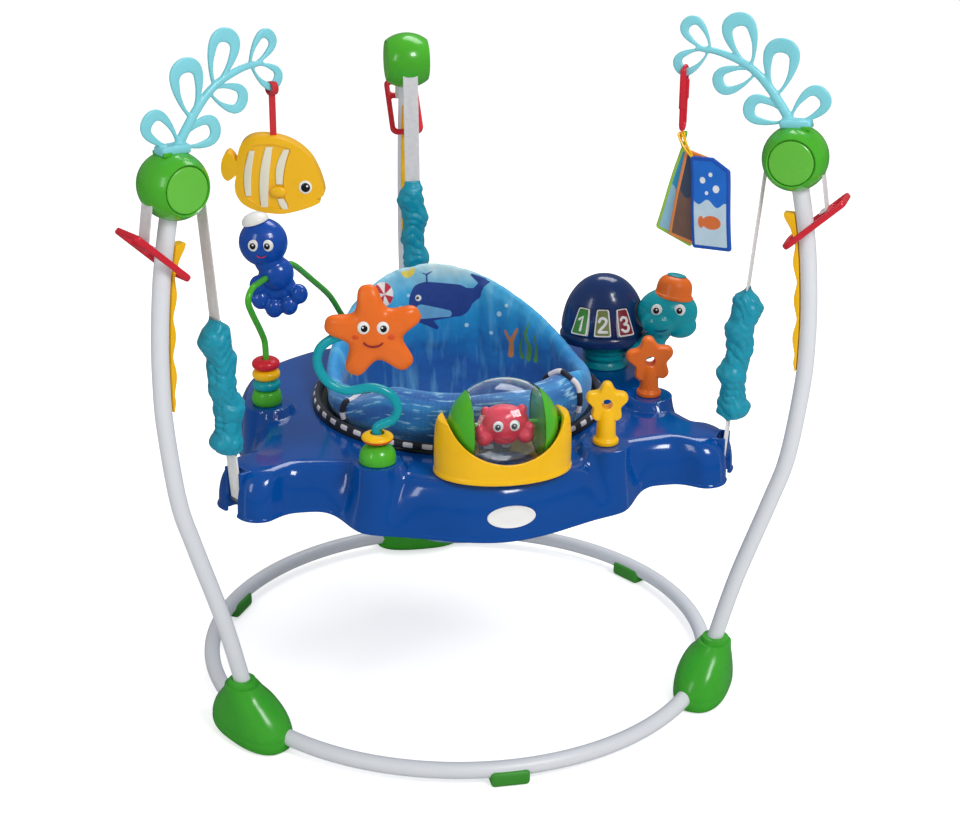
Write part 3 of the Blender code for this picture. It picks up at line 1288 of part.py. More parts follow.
stand_axis = frame_at("stand_axis", location=(0, stand_axis_y(), 0))
make_base(stand_axis)
for side_name, side_angle in TOWER_ANGLES.items():
    side_frame = frame_at("tower_frame_" + side_name, stand_axis, turn=(0, 0, side_angle))
    make_hub(side_name, side_frame)
    make_tower(side_name, side_frame)
    make_housing(side_name, side_frame)
    make_rack(side_name, side_frame)
    make_strap(side_name, side_frame)
    make_adjuster(side_name, side_frame)
    make_hanger(side_name, side_frame)
    if side_name != "back":
        make_seaweed(side_name, side_frame)
    if side_name == "left":
        make_fish(side_frame)
    if side_name == "right":
        make_cards(side_frame)
make_tray(stand_axis)
make_seat(stand_axis)
make_ball_station(stand_axis)
make_stalk_station(stand_axis)
make_link_star("link_star_yellow", YELLOW_STAR_AT, YELLOW_STAR_WIDTH, YELLOW_PLASTIC, stand_axis, 90.0)
make_link_star("link_star_orange", ORANGE_STAR_AT, ORANGE_STAR_WIDTH, ORANGE_PLASTIC, stand_axis, 98.0)
make_wire_station(stand_axis)
make_turtle(stand_axis)
bpy.context.view_layer.update()
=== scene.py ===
# %% [markdown]
# # Dressing a baby activity jumper
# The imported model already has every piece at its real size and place. This notebook
# gives those pieces their looks: fine moulded shapes, webbing, gathered sleeves, a
# padded seat and a material for each. A CAD piece is never moved: a finer piece is
# built in the same place and stands for it.

# %% Load the frame
import json
import math

import bpy
from mathutils import Matrix, Vector, noise


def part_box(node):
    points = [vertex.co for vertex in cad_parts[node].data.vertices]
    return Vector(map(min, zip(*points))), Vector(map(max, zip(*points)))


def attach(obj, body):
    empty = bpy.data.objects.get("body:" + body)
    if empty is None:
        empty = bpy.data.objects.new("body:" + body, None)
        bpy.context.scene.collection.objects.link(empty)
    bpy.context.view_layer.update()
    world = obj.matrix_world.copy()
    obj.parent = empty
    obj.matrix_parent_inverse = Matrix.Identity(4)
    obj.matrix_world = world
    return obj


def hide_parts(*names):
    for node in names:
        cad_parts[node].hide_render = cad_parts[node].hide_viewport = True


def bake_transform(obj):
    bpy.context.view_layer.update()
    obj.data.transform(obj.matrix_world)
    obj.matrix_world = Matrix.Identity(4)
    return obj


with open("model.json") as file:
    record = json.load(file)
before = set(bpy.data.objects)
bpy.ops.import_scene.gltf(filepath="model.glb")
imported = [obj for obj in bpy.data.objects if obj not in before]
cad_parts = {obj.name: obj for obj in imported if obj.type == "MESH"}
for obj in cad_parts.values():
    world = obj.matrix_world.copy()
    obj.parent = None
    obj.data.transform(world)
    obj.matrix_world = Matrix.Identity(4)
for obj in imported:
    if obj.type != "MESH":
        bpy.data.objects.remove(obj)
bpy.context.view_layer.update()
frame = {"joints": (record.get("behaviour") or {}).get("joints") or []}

# %% [markdown]
# ## Places
# All pieces stand round one upright axis: the seat turns on it and the three towers
# stand at 210, 330 and 90 degrees. A matrix for each group lets a piece be modelled
# in handy local sizes (x out from the axis, z up) and then put where it belongs.

# %% Matrices of the groups
JOINTS = {joint["name"]: joint for joint in frame["joints"]}
AXIS_Y = JOINTS["seat_spin"]["pos_m"][1]
TOWERS = {"left": 210.0, "right": 330.0, "back": 90.0}
TOY_YAW = -11.3


def turned(degrees, axis="Z"):
    return Matrix.Rotation(math.radians(degrees), 4, axis)


def shifted(x, y, z):
    return Matrix.Translation((x, y, z))


STAND = shifted(0, AXIS_Y, 0)
TOWER = {side: STAND @ turned(angle) for side, angle in TOWERS.items()}


def station(x, y, z, yaw=TOY_YAW):
    """A place on the tray, counted from the stand's axis."""
    return STAND @ shifted(x, y, z) @ turned(yaw)


print("the stand's axis is at y =", AXIS_Y)

# %% [markdown]
# ## Modelling helpers
# Blender's operators act on all that is selected, so each piece starts with an empty
# selection. A finished piece has its place in its mesh, with the object itself at the
# origin, so that a pattern on Object coordinates never slides.

# %% Start and settle a piece
def begin():
    """Nothing selected, and no piece in edit mode."""
    if bpy.context.object and bpy.context.object.mode != "OBJECT":
        bpy.ops.object.mode_set(mode="OBJECT")
    bpy.ops.object.select_all(action="DESELECT")


def pick(obj):
    begin()
    obj.select_set(True)
    bpy.context.view_layer.objects.active = obj
    return obj


def place(obj, matrix):
    """Write a place, and what the object itself holds, into the mesh."""
    obj.data.transform(matrix @ obj.matrix_world)
    if matrix.determinant() < 0:
        obj.data.flip_normals()
    obj.matrix_world = Matrix.Identity(4)
    return obj


def apply(obj, kind, **settings):
    """Add a modifier and apply it at once."""
    pick(obj)
    step = obj.modifiers.new(kind.lower(), kind)
    for key, value in settings.items():
        setattr(step, key, value)
    if kind == "BEVEL":
        step.limit_method = "ANGLE"
        step.harden_normals = False
    bpy.ops.object.modifier_apply(modifier=step.name)
    return obj


def settle(obj, name, body, finish, stands_for=(), matrix=None, angle=35):
    """Give a modelled piece its place, name, finish and body."""
    place(obj, matrix or Matrix.Identity(4))
    pick(obj)
    bpy.ops.object.shade_smooth_by_angle(angle=math.radians(angle))
    obj.name = name
    obj.data.name = name
    if finish:
        obj.data.materials.clear()
        obj.data.materials.append(finish)
    if stands_for:
        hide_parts(*([stands_for] if isinstance(stands_for, str) else stands_for))
    if isinstance(body, str):
        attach(obj, body)
    return obj


def join(*parts):
    """Several modelled shapes as one object."""
    begin()
    for part in parts:
        part.select_set(True)
    bpy.context.view_layer.objects.active = parts[0]
    if len(parts) > 1:
        bpy.ops.object.join()
    return bpy.context.object


print("helpers: begin, pick, place, apply, settle, join")

# %% [markdown]
# Four ways of making a shape cover nearly everything here. A turned part is half an
# outline that Spin carries round an axis. A moulded plate is a flat outline that is
# extruded and bevelled. A tube is a curve with a bevel depth. A form that none of
# them gives, such as a hub that changes its outline on the way up, is lofted from
# rings of points.

# %% Shapes from outlines
def smooth_line(points, steps=6, closed=False):
    """A Catmull-Rom curve through the points, with as many steps in each span."""
    points = [Vector(p) for p in points]
    counts = steps if isinstance(steps, list) else [steps] * len(points)
    if closed:
        ends = [points[-1], *points, points[0], points[1]]
    else:
        ends = [2 * points[0] - points[1], *points, 2 * points[-1] - points[-2]]
    line = []
    for a, b, c, d, count in zip(ends, ends[1:], ends[2:], ends[3:], counts):
        for k in range(count):
            t = k / count
            line.append(0.5 * (2 * b + (c - a) * t + (2 * a - 5 * b + 4 * c - d) * t ** 2
                               + (3 * b - a - 3 * c + d) * t ** 3))
    return line if closed else [*line, points[-1]]


def new_mesh(points, edges=(), faces=()):
    begin()
    data = bpy.data.meshes.new("shape")
    data.from_pydata([tuple(p) for p in points], list(edges), list(faces))
    obj = bpy.data.objects.new("shape", data)
    bpy.context.scene.collection.objects.link(obj)
    return pick(obj)


def wire(points, closed=False):
    edges = [(i, i + 1) for i in range(len(points) - 1)]
    if closed:
        edges.append((len(points) - 1, 0))
    return new_mesh(points, edges)


def edited(obj, *steps):
    """Mesh operators run in edit mode, each on the whole piece."""
    pick(obj)
    bpy.ops.object.mode_set(mode="EDIT")
    for step, settings in steps:
        bpy.ops.mesh.select_all(action="SELECT")
        step(**settings)
    bpy.ops.object.mode_set(mode="OBJECT")
    return obj


OUTWARDS = (bpy.ops.mesh.normals_make_consistent, {"inside": False})
WELD_GAP = 0.00002


def spun(profile, steps=48):
    """A solid turned round Z from (radius, height) points."""
    closed = profile[0] == profile[-1]
    outline = profile[:-1] if closed else profile
    return edited(wire([(r, 0, z) for r, z in outline], closed),
                  (bpy.ops.mesh.spin,
                   {"steps": steps, "angle": 2 * math.pi, "center": (0, 0, 0), "axis": (0, 0, 1)}),
                  (bpy.ops.mesh.remove_doubles, {"threshold": WELD_GAP}), OUTWARDS)


def plate(outline, thickness, edge=0.0, segments=3):
    """A flat (x, z) outline, extruded along Y about its middle, with rounded rims."""
    extrude = {"TRANSFORM_OT_translate": {"value": (0, thickness, 0)}}
    obj = edited(wire([(x, -thickness / 2, z) for x, z in outline], closed=True),
                 (bpy.ops.mesh.edge_face_add, {}), (bpy.ops.mesh.extrude_region_move, extrude), OUTWARDS)
    if edge:
        apply(obj, "BEVEL", width=edge, segments=segments, angle_limit=math.radians(50))
    return obj


def tube(points, radius, sides=24, closed=False):
    """A round bar along the points."""
    begin()
    data = bpy.data.curves.new("route", "CURVE")
    data.dimensions = "3D"
    data.bevel_depth = radius
    data.bevel_resolution = (sides - 4) // 2
    data.use_fill_caps = not closed
    spline = data.splines.new("POLY")
    spline.points.add(len(points) - 1)
    for point, (x, y, z) in zip(spline.points, points):
        point.co = (x, y, z, 1)
    spline.use_cyclic_u = closed
    obj = bpy.data.objects.new("route", data)
    bpy.context.scene.collection.objects.link(obj)
    pick(obj)
    bpy.ops.object.convert(target="MESH")
    return apply(bpy.context.object, "WELD", merge_threshold=WELD_GAP)


def scaled(size):
    """The fresh primitive with its size written into its mesh."""
    obj = bpy.context.object
    obj.scale = size
    bpy.ops.object.transform_apply(location=True, rotation=False, scale=True)
    return obj


def ball(radii, at=(0, 0, 0), segments=32, rings=16):
    """A stretched ball; one number gives a round one."""
    begin()
    bpy.ops.mesh.primitive_uv_sphere_add(segments=segments, ring_count=rings, radius=1.0, location=at)
    return scaled(radii if isinstance(radii, tuple) else (radii, radii, radii))


def block(size, at=(0, 0, 0), edge=0.0, segments=3):
    """A box with rounded edges."""
    begin()
    bpy.ops.mesh.primitive_cube_add(size=1.0, location=at)
    obj = scaled(size)
    return apply(obj, "BEVEL", width=edge, segments=segments) if edge else obj


def rod(radius, depth, at=(0, 0, 0), sides=48, tilt=(0, 0)):
    """A plain cylinder, used as a drill; tilt lays it over round X and Y, in degrees."""
    begin()
    turn = (math.radians(tilt[0]), math.radians(tilt[1]), 0)
    bpy.ops.mesh.primitive_cylinder_add(vertices=sides, radius=radius, depth=depth, location=at,
                                        rotation=turn)
    return bpy.context.object


def loft(rings, wrap=False, caps=True):
    """A skin over rings that have as many points each; a ring of one point is a pole."""
    points, starts = [], []
    for ring in rings:
        starts.append(len(points))
        points += [tuple(p) for p in ring]
    pairs = list(zip(range(len(rings)), range(1, len(rings))))
    if wrap:
        pairs.append((len(rings) - 1, 0))
    faces = []
    for low, high in pairs:
        na, nb = len(rings[low]), len(rings[high])
        for i in range(max(na, nb)):
            corners = [starts[low] + i % na, starts[low] + (i + 1) % na,
                       starts[high] + (i + 1) % nb, starts[high] + i % nb]
            faces.append(tuple(dict.fromkeys(corners)))
    if caps and not wrap:
        for k in (0, len(rings) - 1):
            if len(rings[k]) > 2:
                faces.append(tuple(range(starts[k], starts[k] + len(rings[k]))))
    return edited(new_mesh(points, (), faces), OUTWARDS)


def fuse(parts, voxel, smooth=6):
    """Shapes melted into one soft moulding: voxel remesh, then smoothing."""
    obj = apply(join(*parts), "REMESH", mode="VOXEL", voxel_size=voxel)
    return apply(obj, "SMOOTH", factor=0.5, iterations=smooth)


def carve(obj, tool, operation="DIFFERENCE", solver="MANIFOLD"):
    """Cut a shape away from a piece, or add it, and remove the tool."""
    apply(obj, "BOOLEAN", object=tool, operation=operation, solver=solver)
    bpy.data.objects.remove(tool, do_unlink=True)
    return obj


def polar(radius, degrees):
    a = math.radians(degrees)
    return radius * math.cos(a), radius * math.sin(a)


def circle(radius, count):
    return [polar(radius, 360 * i / count) for i in range(count)]


def blended(a, b, share):
    return a + (b - a) * share


def eased(t):
    """0 to 1 with soft ends."""
    t = max(0.0, min(1.0, t))
    return t * t * (3 - 2 * t)


print("shapes: spun, plate, tube, ball, block, rod, loft, fuse, carve")

# %% [markdown]
# ## Camera
# The photograph was taken from a little left of the middle, about 2.5 m away and
# looking down. The place, turn and angle of view come from fitting the base ring and
# the tower tops, which are the largest known circle and heights in the picture.

# %% The camera
CAMERA_AT = (-0.4603, -2.5217, 1.3864)
CAMERA_YAW, CAMERA_PITCH, CAMERA_ROLL = (math.radians(a) for a in (11.31, 21.87, 0.425))
VIEW_ANGLE = 28.15
FAR_CLIP = 100

forward = Vector((math.sin(CAMERA_YAW) * math.cos(CAMERA_PITCH),
                  math.cos(CAMERA_YAW) * math.cos(CAMERA_PITCH), -math.sin(CAMERA_PITCH)))
level = Vector((math.cos(CAMERA_YAW), -math.sin(CAMERA_YAW), 0))
upright = level.cross(forward)
right = math.cos(CAMERA_ROLL) * level + math.sin(CAMERA_ROLL) * upright
up = -math.sin(CAMERA_ROLL) * level + math.cos(CAMERA_ROLL) * upright
lens = bpy.data.cameras.new("camera")
lens.sensor_fit = "HORIZONTAL"
lens.angle = math.radians(VIEW_ANGLE)
lens.clip_end = FAR_CLIP
camera = bpy.data.objects.new("camera", lens)
camera.matrix_world = Matrix.Translation(CAMERA_AT) @ Matrix((right, up, -forward)).transposed().to_4x4()
bpy.context.scene.collection.objects.link(camera)
bpy.context.scene.camera = camera
bpy.context.scene.view_settings.view_transform = "Standard"
print("camera at", CAMERA_AT)

# %% [markdown]
# ## Materials: one way to add a node
# Every finish below is a Principled shader with a few nodes in front of it. One small
# function adds a node, sets it and links it. Colours are written as on a screen, and
# `srgb` turns them into the linear values that the renderer works with. Pattern
# scales are worked out from real sizes in millimetres.

# %% Colours and nodes
PLAIN_WHITE = (1, 1, 1, 1)


def srgb(code):
    parts = [int(code[i:i + 2], 16) / 255 for i in (0, 2, 4)]
    linear = [c / 12.92 if c <= 0.04045 else ((c + 0.055) / 1.055) ** 2.4 for c in parts]
    return (*linear, 1.0)


def feed(tree, node, values):
    """Numbers and colours are set on the node's sockets; sockets are linked to them."""
    for key, value in values.items():
        if isinstance(value, bpy.types.NodeSocket):
            tree.links.new(value, node.inputs[key])
        else:
            node.inputs[key].default_value = value
    return node


def add_node(tree, kind, values=None, **settings):
    node = tree.nodes.new("ShaderNode" + kind)
    for key, value in settings.items():
        setattr(node, key, value)
    return feed(tree, node, values or {})


def finish_named(name):
    """An empty material: (material, node tree, Principled shader)."""
    made = bpy.data.materials.new(name)
    made.use_nodes = True
    return made, made.node_tree, made.node_tree.nodes["Principled BSDF"]


print("white steel is", [round(c, 3) for c in srgb("E9EAEC")[:3]])

# %% [markdown]
# The patterns use the same few nodes again and again: a noise with features of a
# given width, a stretch that draws its middle values out to the wanted range, a
# change of brightness, a bump, and one colour laid over another.

# %% Pattern helpers
def object_place(tree):
    return add_node(tree, "TexCoord").outputs["Object"]


def noisy(tree, place_in, width, detail, **more):
    """Noise whose features are this many millimetres wide."""
    values = {"Vector": place_in, "Scale": 1000.0 / width, "Detail": detail, **more}
    return add_node(tree, "TexNoise", values).outputs["Fac"]


def stretched(tree, value, low, high, start=0.35, end=0.65):
    """A pattern's values from start to end, drawn out from low to high."""
    return add_node(tree, "MapRange", {"Value": value, "From Min": start, "From Max": end,
                                       "To Min": low, "To Max": high}).outputs["Result"]


def lightened(tree, colour, value):
    return add_node(tree, "HueSaturation", {"Value": value, "Color": colour}).outputs["Color"]


def bumped(tree, height, strength, distance, **more):
    values = {"Height": height, "Strength": strength, "Distance": distance, **more}
    return add_node(tree, "Bump", values).outputs["Normal"]


def laid_over(tree, below, share, colour):
    """One colour laid over another."""
    return add_node(tree, "Mix", {0: share, 6: below, 7: colour}, data_type="RGBA").outputs[2]


def reckoned(tree, operation, *values):
    return add_node(tree, "Math", dict(enumerate(values)), operation=operation).outputs[0]


print("pattern helpers")

# %% [markdown]
# ## A plain floor and soft light
# The floor and the world are white to the camera, and dimmer as lights and in
# reflections. The background is white, and the plastics keep their deep colours.
# Three soft boxes give the window-shaped highlights that glossy plastic shows.

# %% Floor and world
FLOOR_SIZE = 60.0
AMBIENT, MIRRORED = 0.42, 0.2
FLOOR_GLOW = 0.58


def ray(tree, kind):
    return add_node(tree, "LightPath").outputs[kind]


def by_sight(tree, hidden, seen):
    """One shader for camera rays and rays through the clear window, another for the rest."""
    share = reckoned(tree, "MAXIMUM", ray(tree, "Is Camera Ray"), ray(tree, "Is Transmission Ray"))
    return add_node(tree, "MixShader", {0: share, 1: hidden.outputs[0], 2: seen.outputs[0]}).outputs[0]


world = bpy.data.worlds.new("studio")
world.use_nodes = True
sky = world.node_tree
sky.nodes.clear()
strength = stretched(sky, ray(sky, "Is Glossy Ray"), AMBIENT, MIRRORED, 0.0, 1.0)
dim = add_node(sky, "Background", {"Color": PLAIN_WHITE, "Strength": strength})
bright = add_node(sky, "Background", {"Color": PLAIN_WHITE, "Strength": 1.0})
add_node(sky, "OutputWorld", {"Surface": by_sight(sky, dim, bright)})
bpy.context.scene.world = world

begin()
bpy.ops.mesh.primitive_plane_add(size=FLOOR_SIZE, location=(0, 0, 0))
floor = bpy.context.object
floor.name = "floor"
paper, paper_tree, _ = finish_named("matt white floor")
paper_tree.nodes.clear()
tone = laid_over(paper_tree, srgb("F4F4F4"), ray(paper_tree, "Is Glossy Ray"), srgb("6E7278"))
matt = add_node(paper_tree, "BsdfDiffuse", {"Color": tone})
glow = add_node(paper_tree, "Emission", {"Color": PLAIN_WHITE, "Strength": FLOOR_GLOW})
lit = add_node(paper_tree, "AddShader", {0: matt.outputs[0], 1: glow.outputs[0]})
add_node(paper_tree, "OutputMaterial", {"Surface": by_sight(paper_tree, matt, lit)})
floor.data.materials.append(paper)

# %% [markdown]
# Three soft boxes light the object: a strong one from the front right, a weak strip
# from the left, and a broad one from above and behind.

# %% Soft boxes
def soft_box(name, at, aim, size, power):
    """A rectangular area light that looks at a point."""
    data = bpy.data.lights.new(name, "AREA")
    data.shape = "RECTANGLE"
    data.size, data.size_y = size
    data.energy = power
    lamp = bpy.data.objects.new(name, data)
    aimed = (Vector(aim) - Vector(at)).to_track_quat("-Z", "Y").to_matrix().to_4x4()
    lamp.matrix_world = Matrix.Translation(at) @ aimed
    bpy.context.scene.collection.objects.link(lamp)


MIDDLE = (0, 0, 0.45)
soft_box("key_box", (1.3, -2.9, 3.1), MIDDLE, (1.1, 1.1), 66)
soft_box("left_strip", (-2.6, -2.2, 2.1), MIDDLE, (0.5, 1.6), 13)
soft_box("top_box", (0.9, 1.3, 3.2), MIDDLE, (2.0, 1.2), 40)

# %% [markdown]
# ## Moulded plastics
# Most of the toy is injection-moulded ABS. It is polished where the mould was
# polished, so it has a low roughness that drifts a little over a few centimetres, a
# very faint waviness from the melt, and hardly any change of colour. The stretch of
# each pattern is given in millimetres.

# %% Plastic finishes
def moulded(name, code, roughness=0.25, coat=0.0, wave=9.0, relief=0.1):
    """Injection-moulded plastic; wave is the width of its faint ripples in mm."""
    made, tree, shader = finish_named(name)
    place_in = object_place(tree)
    broad = noisy(tree, place_in, 60, 2.0)
    feed(tree, shader, {
        "Base Color": lightened(tree, srgb(code), stretched(tree, broad, 0.97, 1.03)),
        "Roughness": stretched(tree, broad, roughness * 0.85, roughness * 1.2),
        "Normal": bumped(tree, noisy(tree, place_in, wave, 3.0), relief, 0.0006),
        "IOR": 1.5, "Coat Weight": coat, "Coat Roughness": 0.04})
    return made


BLUE_ABS = moulded("royal blue ABS, polished mould", "004B9E", 0.14, 0.3, wave=22, relief=0.05)
NAVY_ABS = moulded("navy ABS, polished mould", "17376F", 0.18, 0.3)
# The hubs' green is the drums' green plastic made darker: painted shade on the low, side-facing hubs.
SHADED_HUB_GREEN = moulded("bright green ABS, moulded", "3FAE2C", 0.24)
# The caps' green is the drum shells' plastic made paler: painted light on the caps.
LIT_CAP_GREEN = moulded("green ABS lightened as painted light", "68C640", 0.3)
DOME_GREEN = moulded("fresh green ABS, polished mould", "4DB82B", 0.22, 0.2)
YELLOW_ABS = moulded("yellow ABS, moulded", "FFC400", 0.26)
FISH_YELLOW = moulded("warm yellow ABS, moulded", "F9BD14", 0.3)
CREAM_ABS = moulded("cream ABS, moulded", "E9E4D0", 0.34)
RED_ABS = moulded("red ABS, moulded", "D81F33", 0.26)
CRAB_RED = moulded("pinkish red ABS, moulded", "E5304B", 0.26)
ORANGE_ABS = moulded("orange ABS, moulded", "F2711A", 0.32)
ORANGE_RED_ABS = moulded("orange-red ABS, moulded", "E4501F", 0.32)
TEAL_ABS = moulded("teal ABS, moulded", "00A0AE", 0.24)
TURQUOISE_PP = moulded("turquoise polypropylene, moulded", "86DAE6", 0.32)
OCTOPUS_BLUE = moulded("cobalt ABS, polished mould", "0B4CAE", 0.2, 0.25)
OLIVE_ABS = moulded("olive beige ABS, moulded", "7C8A4A", 0.3)
LEAF_ABS = moulded("leaf green ABS, moulded", "3E8F3C", 0.3)
MAROON_ABS = moulded("maroon ABS, moulded", "8E2233", 0.3)
WHITE_ABS = moulded("white ABS, moulded", "F3F3F1", 0.3)
BLACK_ABS = moulded("black ABS, moulded", "16171B", 0.28)
GREEN_TPR = moulded("green thermoplastic rubber, satin", "3C9C2C", 0.55, wave=2.0, relief=0.25)
print("plastics:", len(bpy.data.materials))

# %% [markdown]
# ## Powder-coated tube, bright steel and clear plastic
# The stand's tubes are steel with a thick white powder coat. The powder melts into a
# skin with a slight orange peel about 2 mm across, which is what breaks up its
# highlights. The ball's window is clear polycarbonate, so it needs a real wall.

# %% Coated steel, spring steel, clear window
def powder_coat(name, code):
    made, tree, shader = finish_named(name)
    place_in = object_place(tree)
    feed(tree, shader, {
        "Base Color": srgb(code), "Roughness": stretched(tree, noisy(tree, place_in, 70, 2.0), 0.3, 0.4),
        "Normal": bumped(tree, noisy(tree, place_in, 2.2, 1.0), 0.12, 0.0003)})
    return made


def clear_wall(name):
    made, tree, shader = finish_named(name)
    feed(tree, shader, {
        "Base Color": srgb("F6FAFC"), "Roughness": 0.03, "IOR": 1.35, "Transmission Weight": 1.0,
        "Normal": bumped(tree, noisy(tree, object_place(tree), 30, 1.0), 0.05, 0.0004)})
    return made


def bright_steel(name):
    made, tree, shader = finish_named(name)
    drawn = noisy(tree, object_place(tree), 3, 2.0)
    feed(tree, shader, {"Base Color": srgb("B9BCC2"), "Metallic": 1.0,
                        "Roughness": stretched(tree, drawn, 0.22, 0.42, 0.0, 1.0)})
    return made


WHITE_COAT = powder_coat("white powder-coated steel tube", "E6E9EE")
CLEAR_PC = clear_wall("clear polycarbonate, polished mould")
BRIGHT_STEEL = bright_steel("bright zinc-plated steel")
print("white coat, clear window and bright steel")

# %% [markdown]
# ## Woven goods
# The straps are flat webbing: ribs run along them about 1.5 mm apart, drawn a little
# coarser than life so that they show. The sleeves are gathered satin, which is smooth
# but has a soft sheen along its folds. A woven surface has fine crossing threads, so
# two wave textures multiply into a bump.

# %% Webbing and satin
CLOUD_SCALE = 0.12


def woven(name, code, rib, roughness, relief, sheen, tint=0.06):
    """Cloth on the piece's own UV map, which is in millimetres; rib is the thread spacing."""
    made, tree, shader = finish_named(name)
    uv = add_node(tree, "UVMap", uv_map="cloth").outputs["UV"]
    turns = 2 * math.pi / rib / 20
    threads = [add_node(tree, "TexWave", {"Vector": uv, "Scale": scale}, bands_direction=way).outputs["Fac"]
               for way, scale in (("X", turns), ("Y", turns * 0.8))]
    cloudy = add_node(tree, "TexNoise", {"Vector": uv, "Scale": CLOUD_SCALE, "Detail": 3.0}).outputs["Fac"]
    feed(tree, shader, {
        "Base Color": lightened(tree, srgb(code), stretched(tree, cloudy, 1 - tint, 1 + tint, 0.3, 0.7)),
        "Normal": bumped(tree, reckoned(tree, "MULTIPLY", *threads), relief, 0.0004),
        "Roughness": roughness, "Sheen Weight": sheen})
    return made


GREY_WEBBING = woven("pale grey polypropylene webbing, woven", "E2E1E2", 1.5, 0.75, 0.5, 0.1)
WHITE_WEBBING = woven("white polyester webbing, woven", "F1F1F0", 1.5, 0.75, 0.5, 0.1)
RED_WEBBING = woven("red polyester webbing, woven", "CE1F2C", 1.5, 0.7, 0.5, 0.1)
TEAL_SATIN = woven("teal polyester satin, gathered", "0099B4", 0.9, 0.36, 0.12, 0.08, 0.08)
print("webbing and satin")

# %% [markdown]
# ## The stand's tubes
# A tower is one bent tube: it leaves the base ring, leans outwards to its widest
# place at two thirds of its height and comes back in under the drum. The points are
# shares of the drum's height with their distance out from the ring, and a bevelled
# curve through them is the natural way to bend a tube.

# %% Towers and base ring
RING_R = 0.36
RING_Z = 0.02
TUBE_R = 0.011
DRUM_Z = 0.783
DRUM_AT = RING_R + 0.087
TOWER_STATIONS = [
    (0.06, 0.01), (0.109, 0.02), (0.239, 0.046), (0.391, 0.084), (0.48, 0.104),
    (0.613, 0.117), (0.69, 0.119), (0.766, 0.117), (0.856, 0.11), (0.939, 0.098),
    (0.967, 0.092),
]
TOWER_LINE = smooth_line([(RING_R + out, 0, share * DRUM_Z) for share, out in TOWER_STATIONS], 8)


def tower_r(z):
    """How far out the tower's middle line is at a height."""
    for low, high in zip(TOWER_LINE, TOWER_LINE[1:]):
        if low.z <= z <= high.z:
            return blended(low.x, high.x, (z - low.z) / (high.z - low.z))
    return TOWER_LINE[-1].x if z > TOWER_LINE[-1].z else TOWER_LINE[0].x


for side in TOWERS:
    settle(tube(TOWER_LINE, TUBE_R, 28), "tower_tube_" + side, "frame", WHITE_COAT,
           "tower_" + side, TOWER[side])
RING_HALF = 58.9
BETWEEN_TOWERS = {"front": 270.0, "right": 30.0, "left": 150.0}
for word, middle in BETWEEN_TOWERS.items():
    arc = [(*polar(RING_R, middle + RING_HALF * (i / 30 - 1)), RING_Z) for i in range(61)]
    settle(tube(arc, TUBE_R, 28), "ring_tube_" + word, "frame", WHITE_COAT,
           "base_tube_" + word, STAND)
print("tubes:", len(TOWERS), "towers and 3 ring arcs")

# %% [markdown]
# ## Rubber feet
# Three rubber pads clip under the ring halfway between the towers. Each is a block
# with generous rounds and two grip grooves underneath, cut by thin boxes.

# %% Ring feet
FOOT_SIZE = (0.03, 0.052, 0.0215)
GROOVE = (0.05, 0.0016, 0.002)
for word, middle in BETWEEN_TOWERS.items():
    pad = block(FOOT_SIZE, (RING_R, 0, FOOT_SIZE[2] / 2), edge=0.0055, segments=4)
    for shift in (-0.013, 0.013):
        carve(pad, block(GROOVE, (RING_R, shift, 0.0)), solver="EXACT")
    settle(pad, "rubber_pad_" + word, "frame", GREEN_TPR, "ring_foot_" + word,
           STAND @ turned(middle))
print("feet:", FOOT_SIZE)

# %% [markdown]
# ## Hubs
# Each hub is a glossy green shell of two halves that meet at a low seam. Its outline
# is an egg at the floor, draws in where the ring's tube leaves, and ends as a round
# collar at the tower. No primitive does that, so it is lofted: every level is a ring
# of points whose three reaches are read from a smooth curve through a few stations.

# %% Lofted hubs
HUB_WIDE = 0.07
HUB_IN = 0.03
HUB_OUT = 0.046
HUB_TALL = 0.092
HUB_SEAM, SEAM_HALF, SEAM_DEEP = 0.22, 0.012, 0.0009
COLLAR_R = TUBE_R + 0.006


def signed_power(value, power):
    """A circle's cosine or sine, squared up below a power of one."""
    return math.copysign(abs(value) ** power, value)


def hub_ring(z, half, inner, outer, squareness, count=72):
    """One level: half wide, reaching inner and outer from the ring's centreline."""
    middle, deep = RING_R + (outer - inner) / 2, (outer + inner) / 2
    return [(middle + deep * signed_power(c, squareness), half * signed_power(s, squareness), z)
            for c, s in circle(1.0, count)]


def make_hub():
    mouth = tower_r(HUB_TALL) - RING_R
    neck = COLLAR_R + 0.002
    levels = [
        (0.0, HUB_WIDE * 0.9, HUB_IN * 0.76, HUB_OUT * 0.78, 0.8),
        (0.04, HUB_WIDE * 0.965, HUB_IN * 0.92, HUB_OUT * 0.92, 0.8),
        (0.14, HUB_WIDE, HUB_IN, HUB_OUT, 0.8),
        (0.3, HUB_WIDE * 0.985, HUB_IN * 0.99, HUB_OUT, 0.82),
        (0.48, HUB_WIDE * 0.86, HUB_IN * 0.88, HUB_OUT * 0.985, 0.85),
        (0.66, HUB_WIDE * 0.645, HUB_IN * 0.62, HUB_OUT * 0.97, 0.9),
        (0.8, HUB_WIDE * 0.46, HUB_IN * 0.28, HUB_OUT * 0.955, 0.95),
        (0.92, neck + 0.0055, neck + 0.0035 - mouth, mouth + neck + 0.0035, 1.0),
    ]
    rings = []
    for share, half, inner, outer, square in smooth_levels(levels, 6):
        groove = SEAM_DEEP if abs(share - HUB_SEAM) < SEAM_HALF else 0.0
        rings.append(hub_ring(share * HUB_TALL, half - groove, inner - groove, outer - groove, square))
    for share, r in ((0.925, neck + 0.0008), (0.94, neck), (0.97, neck), (0.992, neck - 0.0008),
                     (1.0, neck - 0.0022), (1.0, TUBE_R)):
        rings.append(hub_ring(share * HUB_TALL, r, r - mouth, mouth + r, 1.0))
    return loft(rings)


